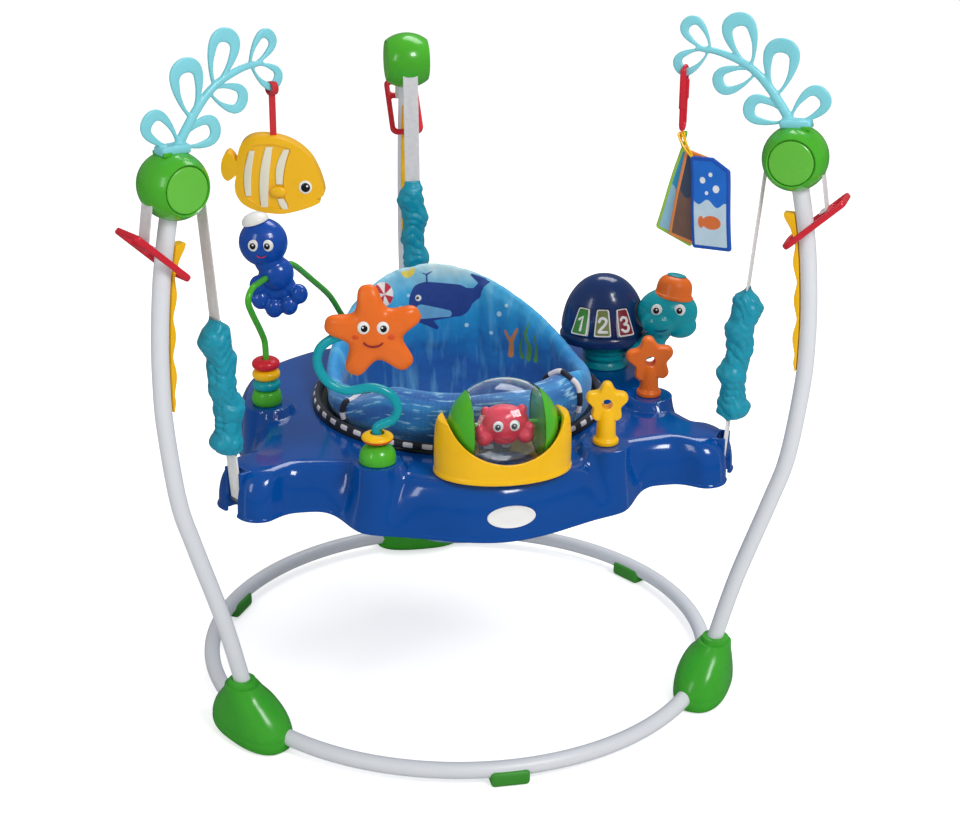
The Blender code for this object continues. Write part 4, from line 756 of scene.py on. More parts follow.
def smooth_levels(levels, steps):
    """Levels of a loft, read finely between a few stations."""
    fine = []
    for k in range(len(levels) - 1):
        a, b = levels[max(k - 1, 0)], levels[k]
        c, d = levels[k + 1], levels[min(k + 2, len(levels) - 1)]
        for i in range(steps):
            t = i / steps
            fine.append([0.5 * (2 * q + (r - p) * t + (2 * p - 5 * q + 4 * r - s) * t ** 2
                                + (3 * q - p - 3 * r + s) * t ** 3) for p, q, r, s in zip(a, b, c, d)])
    return [*fine, list(levels[-1])]


# Each hub gets the darker green, which is painted shade.
for side in TOWERS:
    settle(make_hub(), "hub_shell_" + side, "frame", SHADED_HUB_GREEN, "hub_" + side, TOWER[side],
           40)
print("hub height", HUB_TALL)

# %% [markdown]
# ## Strap drums
# The strap of each tower turns inside a drum whose shell is nearly a ball. Half an
# outline is spun round its axis: a flat end, a thin seam round it and an arc of an
# ellipse. The two front drums have small tabs that hold the arch's foot.

# %% Spun drums
DRUM_R = 0.042
DRUM_HALF = 0.0325
CAP_R = 0.029


def make_drum():
    w = DRUM_HALF
    half = [(0.0, w - 0.004), (CAP_R, w - 0.004), (CAP_R + 0.0008, w - 0.0016), (CAP_R + 0.0022, w - 0.0008)]
    start = math.asin(half[-1][0] / DRUM_R)
    long = half[-1][1] / math.cos(start)
    for i in range(1, 17):
        a = blended(start, math.pi / 2, i / 16)
        half.append((DRUM_R * math.sin(a), long * math.cos(a)))
    mirrored = [(radius, -along) for radius, along in reversed(half[:-1])]
    return place(spun([*half, *mirrored], 96), turned(-90, "X"))


def make_drum_caps():
    """Discs that lie in both ends of the drum, in the drum's green made paler as painted light."""
    w = DRUM_HALF
    section = [(0.0, w + 0.0006), (0.6 * CAP_R, w + 0.0003), (CAP_R - 0.0022, w - 0.0003),
               (CAP_R - 0.001, w - 0.0012), (CAP_R - 0.0008, w - 0.0038), (0.0, w - 0.0038)]
    return join(*[place(spun(section, 96), turned(-90 * face, "X")) for face in (-1, 1)])


for side in TOWERS:
    drum_place = TOWER[side] @ shifted(DRUM_AT, 0, DRUM_Z)
    tabs = [block((0.012, 0.004, 0.005), (0.012, y, DRUM_R - 0.0012), edge=0.001)
            for y in (-0.011, 0.011) if side != "back"]
    settle(join(make_drum(), *tabs), "drum_shell_" + side, "frame", DOME_GREEN,
           "housing_" + side, drum_place, 30)
    # The caps take the paler green, which is painted light.
    settle(make_drum_caps(), "drum_caps_" + side, "frame", LIT_CAP_GREEN, (), drum_place, 30)
print("drum width", 2 * DRUM_HALF)

# %% [markdown]
# ## Notched racks
# A yellow rack with soft teeth is fixed to the inner side of each tower, and the red
# adjuster hooks into one of its three notches. Its inner edge is a cosine wave with
# one notch every 50 mm, and its top flares like a trumpet.

# %% Racks
NOTCH_PITCH = 0.05
TOP_NOTCH_Z = 0.672
RACK_LOW, RACK_HIGH = 0.5, 0.712


def make_rack(count=84):
    outer, inner = [], []
    for i in range(count + 1):
        z = blended(RACK_LOW, RACK_HIGH, i / count)
        face = tower_r(z) - TUBE_R - 0.0003
        tooth = 0.5 - 0.5 * math.cos(2 * math.pi * (z - TOP_NOTCH_Z) / NOTCH_PITCH)
        flare = 0.0085 * eased((z - RACK_HIGH + 0.022) / 0.022)
        start = eased((z - RACK_LOW) / 0.018)
        deep = 0.0032 * (0.4 + 0.6 * start) + 0.0042 * tooth ** 0.8 * start + flare
        outer.append((face, z))
        inner.append((face - deep, z))
    return plate([*outer, *reversed(inner)], 0.0145, edge=0.0012)


for side in TOWERS:
    settle(make_rack(), "rack_" + side, "frame", YELLOW_ABS, "notch_rack_" + side,
           TOWER[side], 40)
print("rack from", RACK_LOW, "to", RACK_HIGH)

# %% [markdown]
# ## Height adjusters
# A red loop sits round each tower. The tube passes through its long opening, the end
# of the strap through its short one, and its inner bar drops into the rack. It is a
# plate whose outline narrows to the outer tip; both openings are cut with the
# Boolean, and only then are the rims rounded, so that all edges get the same round.

# %% Adjusters
ADJUSTER_LONG = 0.1
ADJUSTER_WIDE = 0.052
ADJUSTER_BAR = 0.008
ADJUSTER_SLOPE = 43.0
STRAP_BAR_AT = ADJUSTER_LONG / 2 - 0.028


def rounded_outline(x0, x1, half, corner0, corner1, steps=8):
    """A rectangle in the (x, z) plane with its own corner radius at each end."""
    points = []
    for mx, up, corner, start in ((x1 - corner1, 1, corner1, 0), (x0 + corner0, 1, corner0, 90),
                                  (x0 + corner0, -1, corner0, 180), (x1 - corner1, -1, corner1, 270)):
        for i in range(steps + 1):
            x, z = polar(corner, start + 90 * i / steps)
            points.append((mx + x, up * (half - corner) + z))
    return points


def make_adjuster():
    half = ADJUSTER_LONG / 2
    loop = plate(rounded_outline(-half, half, ADJUSTER_WIDE / 2, 0.012, 0.007), ADJUSTER_BAR)
    inner = ADJUSTER_WIDE / 2 - ADJUSTER_BAR
    bar = ADJUSTER_BAR / 2
    for x0, x1 in ((STRAP_BAR_AT + bar, half - 0.006), (-half + ADJUSTER_BAR, STRAP_BAR_AT - bar)):
        carve(loop, plate(rounded_outline(x0, x1, inner, 0.005, 0.004), 3 * ADJUSTER_BAR), solver="EXACT")
    apply(loop, "BEVEL", width=0.0026, segments=4, angle_limit=math.radians(60))
    return place(loop, turned(90, "X"))


ADJUSTER_PLACE = {}
for side, angle in TOWERS.items():
    low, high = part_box("adjuster_" + side)
    ADJUSTER_PLACE[side] = Matrix.Translation((low + high) / 2) @ turned(angle) @ turned(-ADJUSTER_SLOPE, "Y")
    settle(make_adjuster(), "adjuster_loop_" + side, "adjuster_" + side, RED_ABS,
           "adjuster_" + side, ADJUSTER_PLACE[side], 45)
print("adjusters:", ADJUSTER_LONG, "x", ADJUSTER_WIDE)

# %% [markdown]
# ## Straps, springs and sleeves
# Webbing runs straight up from each spring, over the drum's shaft and down to the
# adjuster. A ribbon is a grid of points along its route: the grid also gives the UV
# map, in millimetres, that its weave follows. When the height is adjusted only the
# strap changes its length.

# %% Ribbons with a UV map in millimetres
def cloth_grid(rows, wrap=False):
    """Faces over rows of points, with a UV map of the true distances in mm."""
    wide = len(rows[0])
    spans = wide if wrap else wide - 1
    faces = []
    for start in range(0, wide * (len(rows) - 1), wide):
        for j in range(spans):
            k = (j + 1) % wide
            faces.append((start + j, start + k, start + wide + k, start + wide + j))
    obj = new_mesh([p for row in rows for p in row], (), faces)
    across = [0.0]
    middle = [Vector(p) for p in rows[len(rows) // 2]]
    for j in range(spans):
        across.append(across[-1] + (middle[(j + 1) % wide] - middle[j]).length * 1000)
    along = [0.0]
    for a, b in zip(rows, rows[1:]):
        along.append(along[-1] + (Vector(b[wide // 2]) - Vector(a[wide // 2])).length * 1000)
    uv = obj.data.uv_layers.new(name="cloth")
    for face in obj.data.polygons:
        i, j = divmod(face.index, spans)
        for loop, (di, dj) in zip(face.loop_indices, ((0, 0), (0, 1), (1, 1), (1, 0))):
            uv.data[loop].uv = (across[j + dj], along[i + di])
    return obj


def ribbon(line, width, thickness, columns=6):
    """Flat webbing along a line in the (x, z) plane, as wide as given along Y."""
    rows = [[(x, width * (j / columns - 0.5), z) for j in range(columns + 1)] for x, _, z in line]
    strip = cloth_grid(rows)
    apply(strip, "SOLIDIFY", thickness=thickness, offset=0.0)
    return apply(strip, "BEVEL", width=thickness * 0.3, segments=2, angle_limit=math.radians(60))


STRAP_WIDE, STRAP_THICK = 0.023, 0.0016
HANGER_FOOT = Vector((0.377, 0, 0.356))
HANGER_TOP = Vector((0.4115, 0, 0.775))
HANGER_DIRECTION = (HANGER_TOP - HANGER_FOOT).normalized()
HANGER_TILT = math.degrees(math.atan2(HANGER_DIRECTION.x, HANGER_DIRECTION.z))
ARC_HALF, ARC_RISE, ARC_Z = 0.0355, 0.026, 0.775
TAB_LONG, SLEEVE_LONG = 0.065, 0.185

# %% [markdown]
# The run from the spring to the drum hangs from the suspension and is held by the
# frame at the top; the tail from the drum to the red loop slides with the adjuster.

# %% Straps
def evenly(a, b, steps):
    return [Vector(a).lerp(Vector(b), i / steps) for i in range(steps + 1)]


over = [Vector((DRUM_AT - ARC_HALF * math.cos(a), 0, ARC_Z + ARC_RISE * math.sin(a)))
        for a in (math.pi * i / 24 for i in range(25))]
foot = HANGER_FOOT + HANGER_DIRECTION * (TAB_LONG + SLEEVE_LONG - 0.01)
ABOVE_BAR = ADJUSTER_BAR / 2 + STRAP_THICK / 2 + 0.0002
for side in TOWERS:
    run = ribbon([*evenly(foot, over[0], 30)[:-1], *over], STRAP_WIDE, STRAP_THICK)
    settle(run, "strap_run_" + side, None, GREY_WEBBING, "strap_" + side, TOWER[side])
    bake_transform(run)
    on_bar = TOWER[side].inverted() @ ADJUSTER_PLACE[side]
    end = on_bar @ Vector((STRAP_BAR_AT, 0, ABOVE_BAR))
    hook = on_bar @ Vector((STRAP_BAR_AT - 0.01, 0, ABOVE_BAR + 0.0015))
    tail = ribbon([*evenly(over[-1], end, 24), hook], STRAP_WIDE, STRAP_THICK)
    settle(tail, "strap_tail_" + side, None, GREY_WEBBING, (), TOWER[side])
    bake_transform(tail)
print("straps", STRAP_WIDE, "wide")

# %% [markdown]
# A gathered sleeve hides each spring. The satin is longer than the spring, so it
# bunches up and bulges to one side and then the other: each lobe has a height on the
# sleeve, a direction and a size. Creases run between the lobes. The absolute value of
# a noise has round hills and sharp valleys, which is just what small puffs are. Fine
# pleats run round it where no lobe swells, and both ends are drawn in round the webbing.

# %% Gathered sleeves
SLEEVE_SLIM, SLEEVE_PUFF, SLEEVE_PLEAT = 0.0116, 0.0032, 0.003
SLEEVE_ROWS, SLEEVE_COLUMNS = 150, 72
PLEATS = 13
LOBES = [(0.1, 10, 0.0125), (0.34, 172, 0.0118), (0.53, 30, 0.0058), (0.69, 190, 0.0085), (0.85, 5, 0.0115)]
LOBE_LONG = 0.076
MOUTH_FLAT, MOUTH_WIDE = 0.0035, 0.0122
COIL_R, COIL_TURNS, COIL_LONG = 0.0098, 14, 0.16


def billow(at, power):
    """Round hills between sharp valleys, from 0 to 1."""
    return min(1.0, 2.4 * abs(noise.noise(at))) ** power


def make_sleeve(seed):
    rows = []
    for i in range(SLEEVE_ROWS + 1):
        share = i / SLEEVE_ROWS
        full = eased(min(share / 0.034, (1 - share) / 0.085, 1.0))
        row = []
        for j, (c, s) in enumerate(circle(1.0, SLEEVE_COLUMNS)):
            a = 2 * math.pi * j / SLEEVE_COLUMNS
            at = Vector((c, s, 0))
            puffs = billow(at * 0.7 + Vector((seed * 7.3, 0, share * 6)), 0.8)
            wander = noise.noise(at * 1.2 + Vector((0, seed * 5.1, share * 5)))
            pleat = abs(math.sin(math.pi * (PLEATS * share + math.sin(a + seed) + wander))) ** 0.6
            lobes = sum(high * math.exp(-((share - up) / LOBE_LONG) ** 2)
                        * (0.5 + 0.5 * math.cos(a - math.radians(toward + 40 * seed)))
                        for up, toward, high in LOBES)
            slack = 1.0 - 0.7 * min(1.0, lobes / 0.009)
            radius = SLEEVE_SLIM + lobes + SLEEVE_PUFF * puffs + SLEEVE_PLEAT * pleat * slack
            row.append((blended(MOUTH_FLAT, radius, full) * c, blended(MOUTH_WIDE, radius, full) * s,
                        TAB_LONG + SLEEVE_LONG * share))
        rows.append(row)
    return cloth_grid(rows, wrap=True)


for seed, side in enumerate(TOWERS):
    hanger = TOWER[side] @ Matrix.Translation(HANGER_FOOT) @ turned(HANGER_TILT, "Y")
    top = hanger @ Vector((0, 0, TAB_LONG + SLEEVE_LONG))
    low = hanger @ Vector((0, 0, TAB_LONG))
    sleeve = apply(make_sleeve(seed), "SMOOTH", factor=0.5, iterations=2)
    apply(sleeve, "SOLIDIFY", thickness=0.0009, offset=-1.0)
    settle(sleeve, "gathered_sleeve_" + side, None, TEAL_SATIN, "sleeve_" + side, hanger, 60)
    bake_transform(sleeve)
    coil = [(*polar(COIL_R, 18 * i), TAB_LONG + 0.006 + COIL_LONG * i / (20 * COIL_TURNS))
            for i in range(20 * COIL_TURNS + 1)]
    spring = settle(tube(coil, 0.0013, 8), "coil_spring_" + side, None, BRIGHT_STEEL,
                    "spring_" + side, hanger)
    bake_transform(spring)
    tab = ribbon(evenly((0, 0, -0.004), (0, 0, TAB_LONG + 0.006), 14), STRAP_WIDE, STRAP_THICK * 1.6)
    settle(tab, "webbing_tab_" + side, "tray", WHITE_WEBBING, (), hanger)
print("sleeves", SLEEVE_LONG, "long")

# %% [markdown]
# ## Seaweed arches
# Each front drum carries a bent frond of turquoise plastic with seven flat loops for
# leaves. A leaf is a band between two drop-shaped outlines, wide at its tip and
# narrow at its root. All leaves, the tapered stem and the foot are melted into one
# moulding with a voxel remesh, which also gives the small rounds where they join.

# %% Leaves and stem
STEM = [(-0.004, 0.038), (-0.036, 0.083), (-0.065, 0.11), (-0.102, 0.125), (-0.134, 0.129)]
LEAVES = [
    ((-0.01, 0.044), (0.034, 0.088)), ((-0.03, 0.076), (-0.024, 0.149)),
    ((-0.064, 0.11), (-0.088, 0.176)), ((-0.116, 0.127), (-0.15, 0.165)),
    ((-0.01, 0.048), (-0.07, 0.062)), ((-0.056, 0.105), (-0.11, 0.084)),
    ((-0.118, 0.127), (-0.16, 0.1)),
]
LEAF_THICK = 0.0056


def drop(root, tip, inset, count=48):
    """A drop-shaped outline with its point at the root."""
    root, tip = Vector(root), Vector(tip)
    along = (tip - root).normalized()
    across = Vector((-along.y, along.x))
    length = (tip - root).length
    points = []
    for i in range(count):
        a = 2 * math.pi * (i + 0.5) / count
        u = length * (0.5 - 0.5 * math.cos(a))
        v = 0.35 * length * math.sin(a) * (0.42 + 0.8 * u / length)
        away = Vector((u - 0.58 * length, v))
        band = inset * length * (0.085 + 0.17 * (u / length) ** 1.5)
        away *= max(0.0, 1 - band / max(away.length, 1e-6))
        point = root + along * (0.58 * length + away.x) + across * away.y
        points.append((point.x, point.y))
    return points


def make_leaf(root, tip):
    outer, inner = drop(root, tip, 0.0), drop(root, tip, 1.0)
    rings = []
    for c, s in circle(1.0, 12):
        side, y = 0.5 + 0.5 * signed_power(c, 0.6), LEAF_THICK / 2 * signed_power(s, 0.5)
        rings.append([(blended(p[0], q[0], side), y, blended(p[1], q[1], side))
                      for p, q in zip(outer, inner)])
    return loft(rings, wrap=True)


def make_stem():
    """A raised rib, thick at the foot and thin at its end."""
    line = smooth_line([(x, 0, z) for x, z in STEM], 8)
    rings = []
    for i, point in enumerate(line):
        share = i / (len(line) - 1)
        heading = (line[min(i + 1, len(line) - 1)] - line[max(i - 1, 0)]).normalized()
        out = heading.cross(Vector((0, 1, 0)))
        width, deep = blended(0.0066, 0.0036, share), blended(0.0052, 0.0036, share)
        rings.append([point + out * width * c + Vector((0, deep * s, 0)) for c, s in circle(1.0, 16)])
    return loft(rings)


for side in ("left", "right"):
    wedge = block((0.04, 0.024, 0.012), (-0.002, 0, DRUM_R + 0.0014), edge=0.004)
    frond = fuse([make_stem(), wedge, *[make_leaf(root, tip) for root, tip in LEAVES]], 0.0011, 4)
    settle(frond, "seaweed_frond_" + side, "frame", TURQUOISE_PP, "seaweed_" + side,
           TOWER[side] @ shifted(DRUM_AT, 0, DRUM_Z), 60)
print("fronds with", len(LEAVES), "leaves, faces", len(frond.data.polygons))

# %% [markdown]
# ## The hanging fish
# A flat fish with a raised rim hangs from the left arch on a red ribbon. Its outline
# is a smooth closed curve. The face inside the rim is sunk on both sides by cutting
# away a thin plate of its outline, and the three curved stripes, the eye and the fin are moulded on top.

# %% Fish body
def hung(joint, drop_by, yaw=TOY_YAW):
    """Where a toy hangs: below its hinge, with its face to the front."""
    return shifted(*JOINTS[joint]["pos_m"]) @ shifted(0, 0, -drop_by) @ turned(yaw)


FISH_LONG, FISH_TALL, FISH_THICK = 0.127, 0.0985, 0.0235
FISH_OUTLINE = [
    (0.5, -0.7), (0.48, -0.58), (0.435, -0.42), (0.364, -0.26), (0.247, -0.125), (0.104, -0.04),
    (-0.078, -0.004), (-0.208, -0.03), (-0.292, -0.12), (-0.328, -0.26), (-0.342, -0.33), (-0.368, -0.27),
    (-0.416, -0.215), (-0.466, -0.27), (-0.492, -0.4), (-0.478, -0.52), (-0.432, -0.578), (-0.374, -0.534),
    (-0.35, -0.515), (-0.366, -0.64), (-0.351, -0.76), (-0.286, -0.88), (-0.143, -0.966), (0.052, -1.0),
    (0.182, -0.978), (0.351, -0.914), (0.452, -0.85), (0.448, -0.815), (0.43, -0.803), (0.458, -0.788),
    (0.494, -0.752),
]
FACE_OUTLINE = [
    (0.1, -0.13), (-0.03, -0.105), (-0.17, -0.13), (-0.235, -0.23), (-0.262, -0.4), (-0.282, -0.6),
    (-0.275, -0.74), (-0.19, -0.85), (-0.04, -0.915), (0.105, -0.935), (0.15, -0.9), (0.118, -0.78),
    (0.11, -0.62), (0.122, -0.45), (0.16, -0.28), (0.185, -0.175),
]


def curve_around(keys, steps):
    """A closed (x, z) curve through its keys."""
    return [(p.x, p.z) for p in smooth_line([(x, 0, z) for x, z in keys], steps, closed=True)]


def fish_curve(keys):
    """Keys are shares of the fish's length and height, down from its back."""
    return curve_around([(x * FISH_LONG - 0.002, z * FISH_TALL + 0.002) for x, z in keys], 5)


def raised(outline, y, thickness, edge):
    """A thin plate laid on a face that points to -Y, its back at y."""
    return place(plate(outline, thickness, edge), shifted(0, y - thickness / 2, 0))


def stripe(x0, x1, z_low, z_high, bow, width, count=18):
    """A curved upright band between two heights, its sides bowed backwards."""
    left, right = [], []
    for i in range(count + 1):
        t = i / count
        middle = blended(x0, x1, t) - bow * math.sin(math.pi * t)
        half = width / 2 * (0.75 + 0.25 * math.sin(math.pi * t))
        z = blended(z_low, z_high, t)
        left.append((middle - half, z))
        right.append((middle + half, z))
    return [*left, *reversed(right)]


fish_place = hung("fish_swing", 0.06)
body = plate(fish_curve(FISH_OUTLINE), FISH_THICK, edge=0.0052, segments=4)
for face in (-1, 1):
    sunk = plate(fish_curve(FACE_OUTLINE), 0.006, edge=0.0008)
    carve(body, place(sunk, shifted(0, face * (FISH_THICK / 2 + 0.0013), 0)), solver="EXACT")
settle(body, "fish_body", "fish", FISH_YELLOW, "fish", fish_place, 40)
SKIN_Y, SUNK_Y = -FISH_THICK / 2, 0.0017 - FISH_THICK / 2
STRIPES = [(-0.032, -0.0255, -0.074, -0.017, 0.003, 0.009), (-0.0125, -0.0045, -0.088, -0.012, 0.003, 0.0115),
           (0.0068, 0.0165, -0.059, -0.015, 0.003, 0.01), (0.013, 0.0075, -0.0905, -0.077, 0.0, 0.0095)]
for word, flip in (("front", Matrix.Identity(4)), ("back", Matrix.Scale(-1, 4, (0, 1, 0)))):
    cream = join(*[raised(stripe(*sizes), SUNK_Y, 0.0018, 0.0006) for sizes in STRIPES])
    fin = ball((0.01, 0.0034, 0.0068), (0.005, SUNK_Y - 0.0022, -0.068))
    white = ball((0.0082, 0.0022, 0.0084), (0.0385, SKIN_Y, -0.062))
    pupil = ball((0.0058, 0.002, 0.006), (0.0388, SKIN_Y - 0.0012, -0.062))
    # The glint is a small white dot on the pupil: a painted highlight.
    painted_glint = ball((0.0014, 0.0009, 0.0014), (0.041, SKIN_Y - 0.003, -0.06), 16, 8)
    for part, name, finish, slot, angle in ((cream, "stripes", CREAM_ABS, "yellow_plastic", 40),
                                            (fin, "fin", FISH_YELLOW, "yellow_plastic", 50),
                                            (white, "eye_white", WHITE_ABS, "yellow_plastic", 35),
                                            (pupil, "pupil", BLACK_ABS, "black_plastic", 35),
                                            (painted_glint, "painted_glint", WHITE_ABS, "yellow_plastic", 35)):
        settle(part, "fish_%s_%s" % (name, word), "fish", finish, (), fish_place @ flip, angle)
print("fish", FISH_LONG, "long")

# %% [markdown]
# The ribbon is one strip of webbing: a loop round the leaf's bar and two layers
# stitched together down to a slot in the fish's back.

# %% Fish ribbon
RIBBON_WIDE, RIBBON_THICK = 0.009, 0.0012
EYE_R, EYE_DROP = 0.008, 0.0017
hook = hung("fish_swing", 0.0, TOWERS["left"] + 90)
loop = [Vector((x, 0, z - EYE_DROP)) for x, z in (polar(EYE_R, 90 - 12 * i) for i in range(31))]
eye_loop = ribbon(loop, RIBBON_WIDE, RIBBON_THICK, 3)
doubled = ribbon(evenly((0, 0, -0.009), (0, 0, -0.072), 20), RIBBON_WIDE, 2 * RIBBON_THICK, 4)
settle(join(eye_loop, doubled), "fish_ribbon", "fish", RED_WEBBING, "fish_strap", hook, 50)
print("ribbon", RIBBON_WIDE, "wide")

# %% [markdown]
# ## Link and picture cards
# A long red link hangs from the right arch and holds three soft cards on thin loops.
# The cards fan out; each has a coloured border round a printed middle. The print is
# a generic one: waves, bubbles and a plain fish.

# %% Link
CLIP_LONG, CLIP_WIDE, CLIP_BAR = 0.086, 0.026, 0.0055
CLIP_RISE = 0.0046
clip_r = (CLIP_WIDE - CLIP_BAR) / 2
link = []
for start, middle in ((0, -CLIP_WIDE / 2), (180, CLIP_WIDE / 2 - CLIP_LONG)):
    for i in range(17):
        x, z = polar(clip_r, start + 180 * i / 16)
        link.append((x, 0, middle + z))
spine = block((0.008, 0.0074, 0.052), (0.0006 - clip_r, 0, -0.03), edge=0.0024)
snaps = [block((0.0072, 0.0072, tall), (clip_r, 0, z), edge=0.0016)
         for tall, z in ((0.0075, -0.013), (0.026, -0.0335))]
link_place = hung("clip_swing", -CLIP_BAR - CLIP_RISE, TOWERS["right"] + 90)
settle(join(tube(link, CLIP_BAR / 2, 16, closed=True), spine, *snaps), "toy_link", "clip", RED_ABS,
       "clip_link", link_place, 40)
print("link", CLIP_LONG, "long")

# %% [markdown]
# The cards' print is worked out from distances. Every corner of a fine grid on the
# card's face stores how far it is from the edge of each motif, below zero inside.
# The material turns each distance into a crisp edge, so the picture needs no image.

# %% Card prints
CARD_WIDE, CARD_TALL, CARD_THICK = 0.058, 0.12, 0.004
CUT_WIDE, CUT_TALL = 0.024, 0.015
BORDER = 0.005
RING_DROP = 0.00875
SPOTS = [(0.018, -0.03, 0.0042), (0.03, -0.022, 0.003), (0.038, -0.04, 0.005), (0.024, -0.046, 0.0026)]
CARD_FISH_OVALS = [(0.031, -0.084, 0.014, 0.009), (0.0155, -0.084, 0.0045, 0.008)]


def circle_distance(x, z, cx, cz, r):
    return math.hypot(x - cx, z - cz) - r


def oval_distance(x, z, cx, cz, rx, rz):
    return (math.hypot((x - cx) / rx, (z - cz) / rz) - 1) * min(rx, rz)


def store(obj, name, measure):
    """A distance for each point of a mesh, kept as an attribute."""
    layer = obj.data.attributes.new(name, "FLOAT", "POINT")
    layer.data.foreach_set("value", [measure(v.co) for v in obj.data.vertices])


def value_of(tree, attribute):
    return add_node(tree, "Attribute", attribute_name=attribute).outputs["Fac"]


def inked(tree, below, layers, soft):
    """Each layer is (attribute, colour), laid on where its stored distance is below zero."""
    for attribute, code in layers:
        inside = stretched(tree, value_of(tree, attribute), 0.0, 1.0, soft, -soft)
        below = laid_over(tree, below, inside, srgb(code))
    return below


def printed(name, base, layers, roughness, bump_mm=0.8, sheen=0.0):
    made, tree, shader = finish_named(name)
    place_in = object_place(tree)
    cloudy = stretched(tree, noisy(tree, place_in, 18, 3.0), 0.95, 1.05, 0.3, 0.7)
    feed(tree, shader, {
        "Base Color": lightened(tree, inked(tree, srgb(base), layers, 0.0004), cloudy),
        "Normal": bumped(tree, noisy(tree, place_in, bump_mm, 1.0), 0.25, 0.0004),
        "Roughness": roughness, "Sheen Weight": sheen})
    return made


CARD_FISH = printed("sea print on coated card, fish", "0E56BE", [
    ("deep", "1173DC"), ("wave", "C9E2F2"), ("bubble", "F2F8FC"), ("fish", "E8783C")], 0.4)
CARD_SHELL = printed("sea print on coated card, shell", "F2924E", [("deep", "3A4A63"), ("wave", "7A5C50")],
                     0.45)
CARD_WEED = printed("sea print on coated card, weed", "AADA4E", [("deep", "2E9FD8"), ("wave", "9FD3EE")],
                    0.45)


def card_edge(u, v):
    """Distance to the edge of a card with one cut corner; u from its left side, v from its top."""
    cut = (u - CARD_WIDE + CUT_WIDE) * CUT_TALL + v * CUT_WIDE
    return max(-u, u - CARD_WIDE, v, -v - CARD_TALL, cut / math.hypot(CUT_WIDE, CUT_TALL))


def make_card(tilt, y, left, top, index):
    """A soft card whose top left corner hangs at (left, top) from the ring."""
    round_by, nick = 0.0035, 0.3 * 0.0035
    outline = [(round_by, 0), (CARD_WIDE - CUT_WIDE, 0), (CARD_WIDE, -CUT_TALL),
               (CARD_WIDE, round_by - CARD_TALL), (CARD_WIDE - nick, nick - CARD_TALL),
               (CARD_WIDE - round_by, -CARD_TALL), (round_by, -CARD_TALL), (nick, nick - CARD_TALL),
               (0, round_by - CARD_TALL), (0, -round_by), (nick, -nick)]
    card = plate(outline, CARD_THICK, edge=0.0012, segments=1)
    edited(card, (bpy.ops.mesh.quads_convert_to_tris, {}))
    apply(card, "SUBSURF", subdivision_type="SIMPLE", levels=5, render_levels=5)
    store(card, "deep", lambda p: card_edge(p.x, p.z) + BORDER)
    store(card, "wave", lambda p: max(p.z + 0.058 + 0.1 * (p.x - 0.02) - 0.004 * math.sin(p.x * 230 + index),
                                      card_edge(p.x, p.z) + BORDER))
    store(card, "bubble", lambda p: min(circle_distance(p.x, p.z, *spot) for spot in SPOTS))
    store(card, "fish", lambda p: min(oval_distance(p.x, p.z, *oval) for oval in CARD_FISH_OVALS))
    for v in card.data.vertices:
        v.co.y += 0.0014 * math.sin(v.co.z * 42 + index) * min(1.0, -v.co.z / 0.03)
    return place(card, shifted(0, y, -RING_DROP) @ turned(tilt, "Y") @ shifted(left, 0, top))


card_place = hung("card_swing", 0.0, -49.0)
BOOK = [(17, 0.0042, 0.002, -0.014, CARD_WEED, DOME_GREEN), (10, 0.0, 0.009, -0.014, CARD_SHELL, YELLOW_ABS),
        (-5, -0.0042, 0.014, -0.024, CARD_FISH, YELLOW_ABS)]
for i, (tilt, y, left, top, card_finish, loop_finish) in enumerate(BOOK):
    settle(make_card(tilt, y, left, top, i), "picture_card_%d" % (i + 1), "cards", card_finish,
           "card_book" if i == 0 else (), card_place, 50)
    keys = [(0, 0.0028, 0.0045), (0.0022, 0.0012, 0.002), (0.6 * left + 0.002, 0.0008, 0.55 * top),
            (left + 0.005, 0.0, top - 0.004), (0.6 * left - 0.003, -0.0008, 0.55 * top),
            (-0.0022, -0.0012, 0.002)]
    loop = tube(smooth_line(keys, 8, closed=True), 0.0013, 8, closed=True)
    place(loop, shifted(0, y, -RING_DROP) @ turned(tilt, "Y"))
    settle(loop, "card_loop_%d" % (i + 1), "cards", loop_finish, (), card_place)
print("cards", CARD_WIDE, "x", CARD_TALL)

# %% [markdown]
# ## The play tray
# The tray is one glossy blue moulding: three arms, bulges between them, a hole for
# the seat and four raised round seats for the toys. Its outline is a closed smooth
# curve through a few keys. The skirt and the rounded top edge are the same outline
# drawn inwards level by level, and a ring of points is lofted at each level.

# %% Outline of the tray
TRAY_TOP = 0.398
TRAY_LOW = 0.322
WALL = 0.0042
HOLE_R = 0.2011
FRONT_RADII, BACK_RADII = (0.311, 0.281), (0.326, 0.296)
ARM_REACH = 0.385
ARM_SIDES = {90.0: (BACK_RADII, BACK_RADII), 210.0: (BACK_RADII, FRONT_RADII),
             330.0: (FRONT_RADII, BACK_RADII)}
OUTLINE_STEPS = [34, 18, 12, 9, 6, 6, 9, 12, 18, 34, 34, 34] * 3


def half_arm(arm, turn, radii, inset):
    """Keys from one arm's middle to the bulge beside it."""
    bulge, valley = radii
    keys = [(ARM_REACH - inset, 0.03 - 0.72 * inset), (ARM_REACH - 0.019 - inset, 0.0485 - 0.84 * inset),
            (valley + 0.04 - inset, 0.05 - 0.62 * inset)]
    keys += [polar(blended(valley, bulge, share) - inset, angle)
             for share, angle in ((0.0, 21.0), (0.55, 40.0))]
    c, s = polar(1.0, arm)
    return [(u * c - turn * t * s, u * s + turn * t * c) for u, t in keys]


def tray_outline(inset, steps=OUTLINE_STEPS):
    """One level of the tray; its azimuth only grows, so that rings towards the hole never cross."""
    keys = []
    for arm, (before, after) in ARM_SIDES.items():
        keys += reversed(half_arm(arm, -1, before, inset))
        keys.append(polar(ARM_REACH - inset, arm))
        keys += half_arm(arm, 1, after, inset)
        keys.append(polar(after[0] - inset, arm + 60))
    return smooth_line([(x, y, 0) for x, y in keys], steps, closed=True)


print("outline of", len(tray_outline(0.0)), "points")

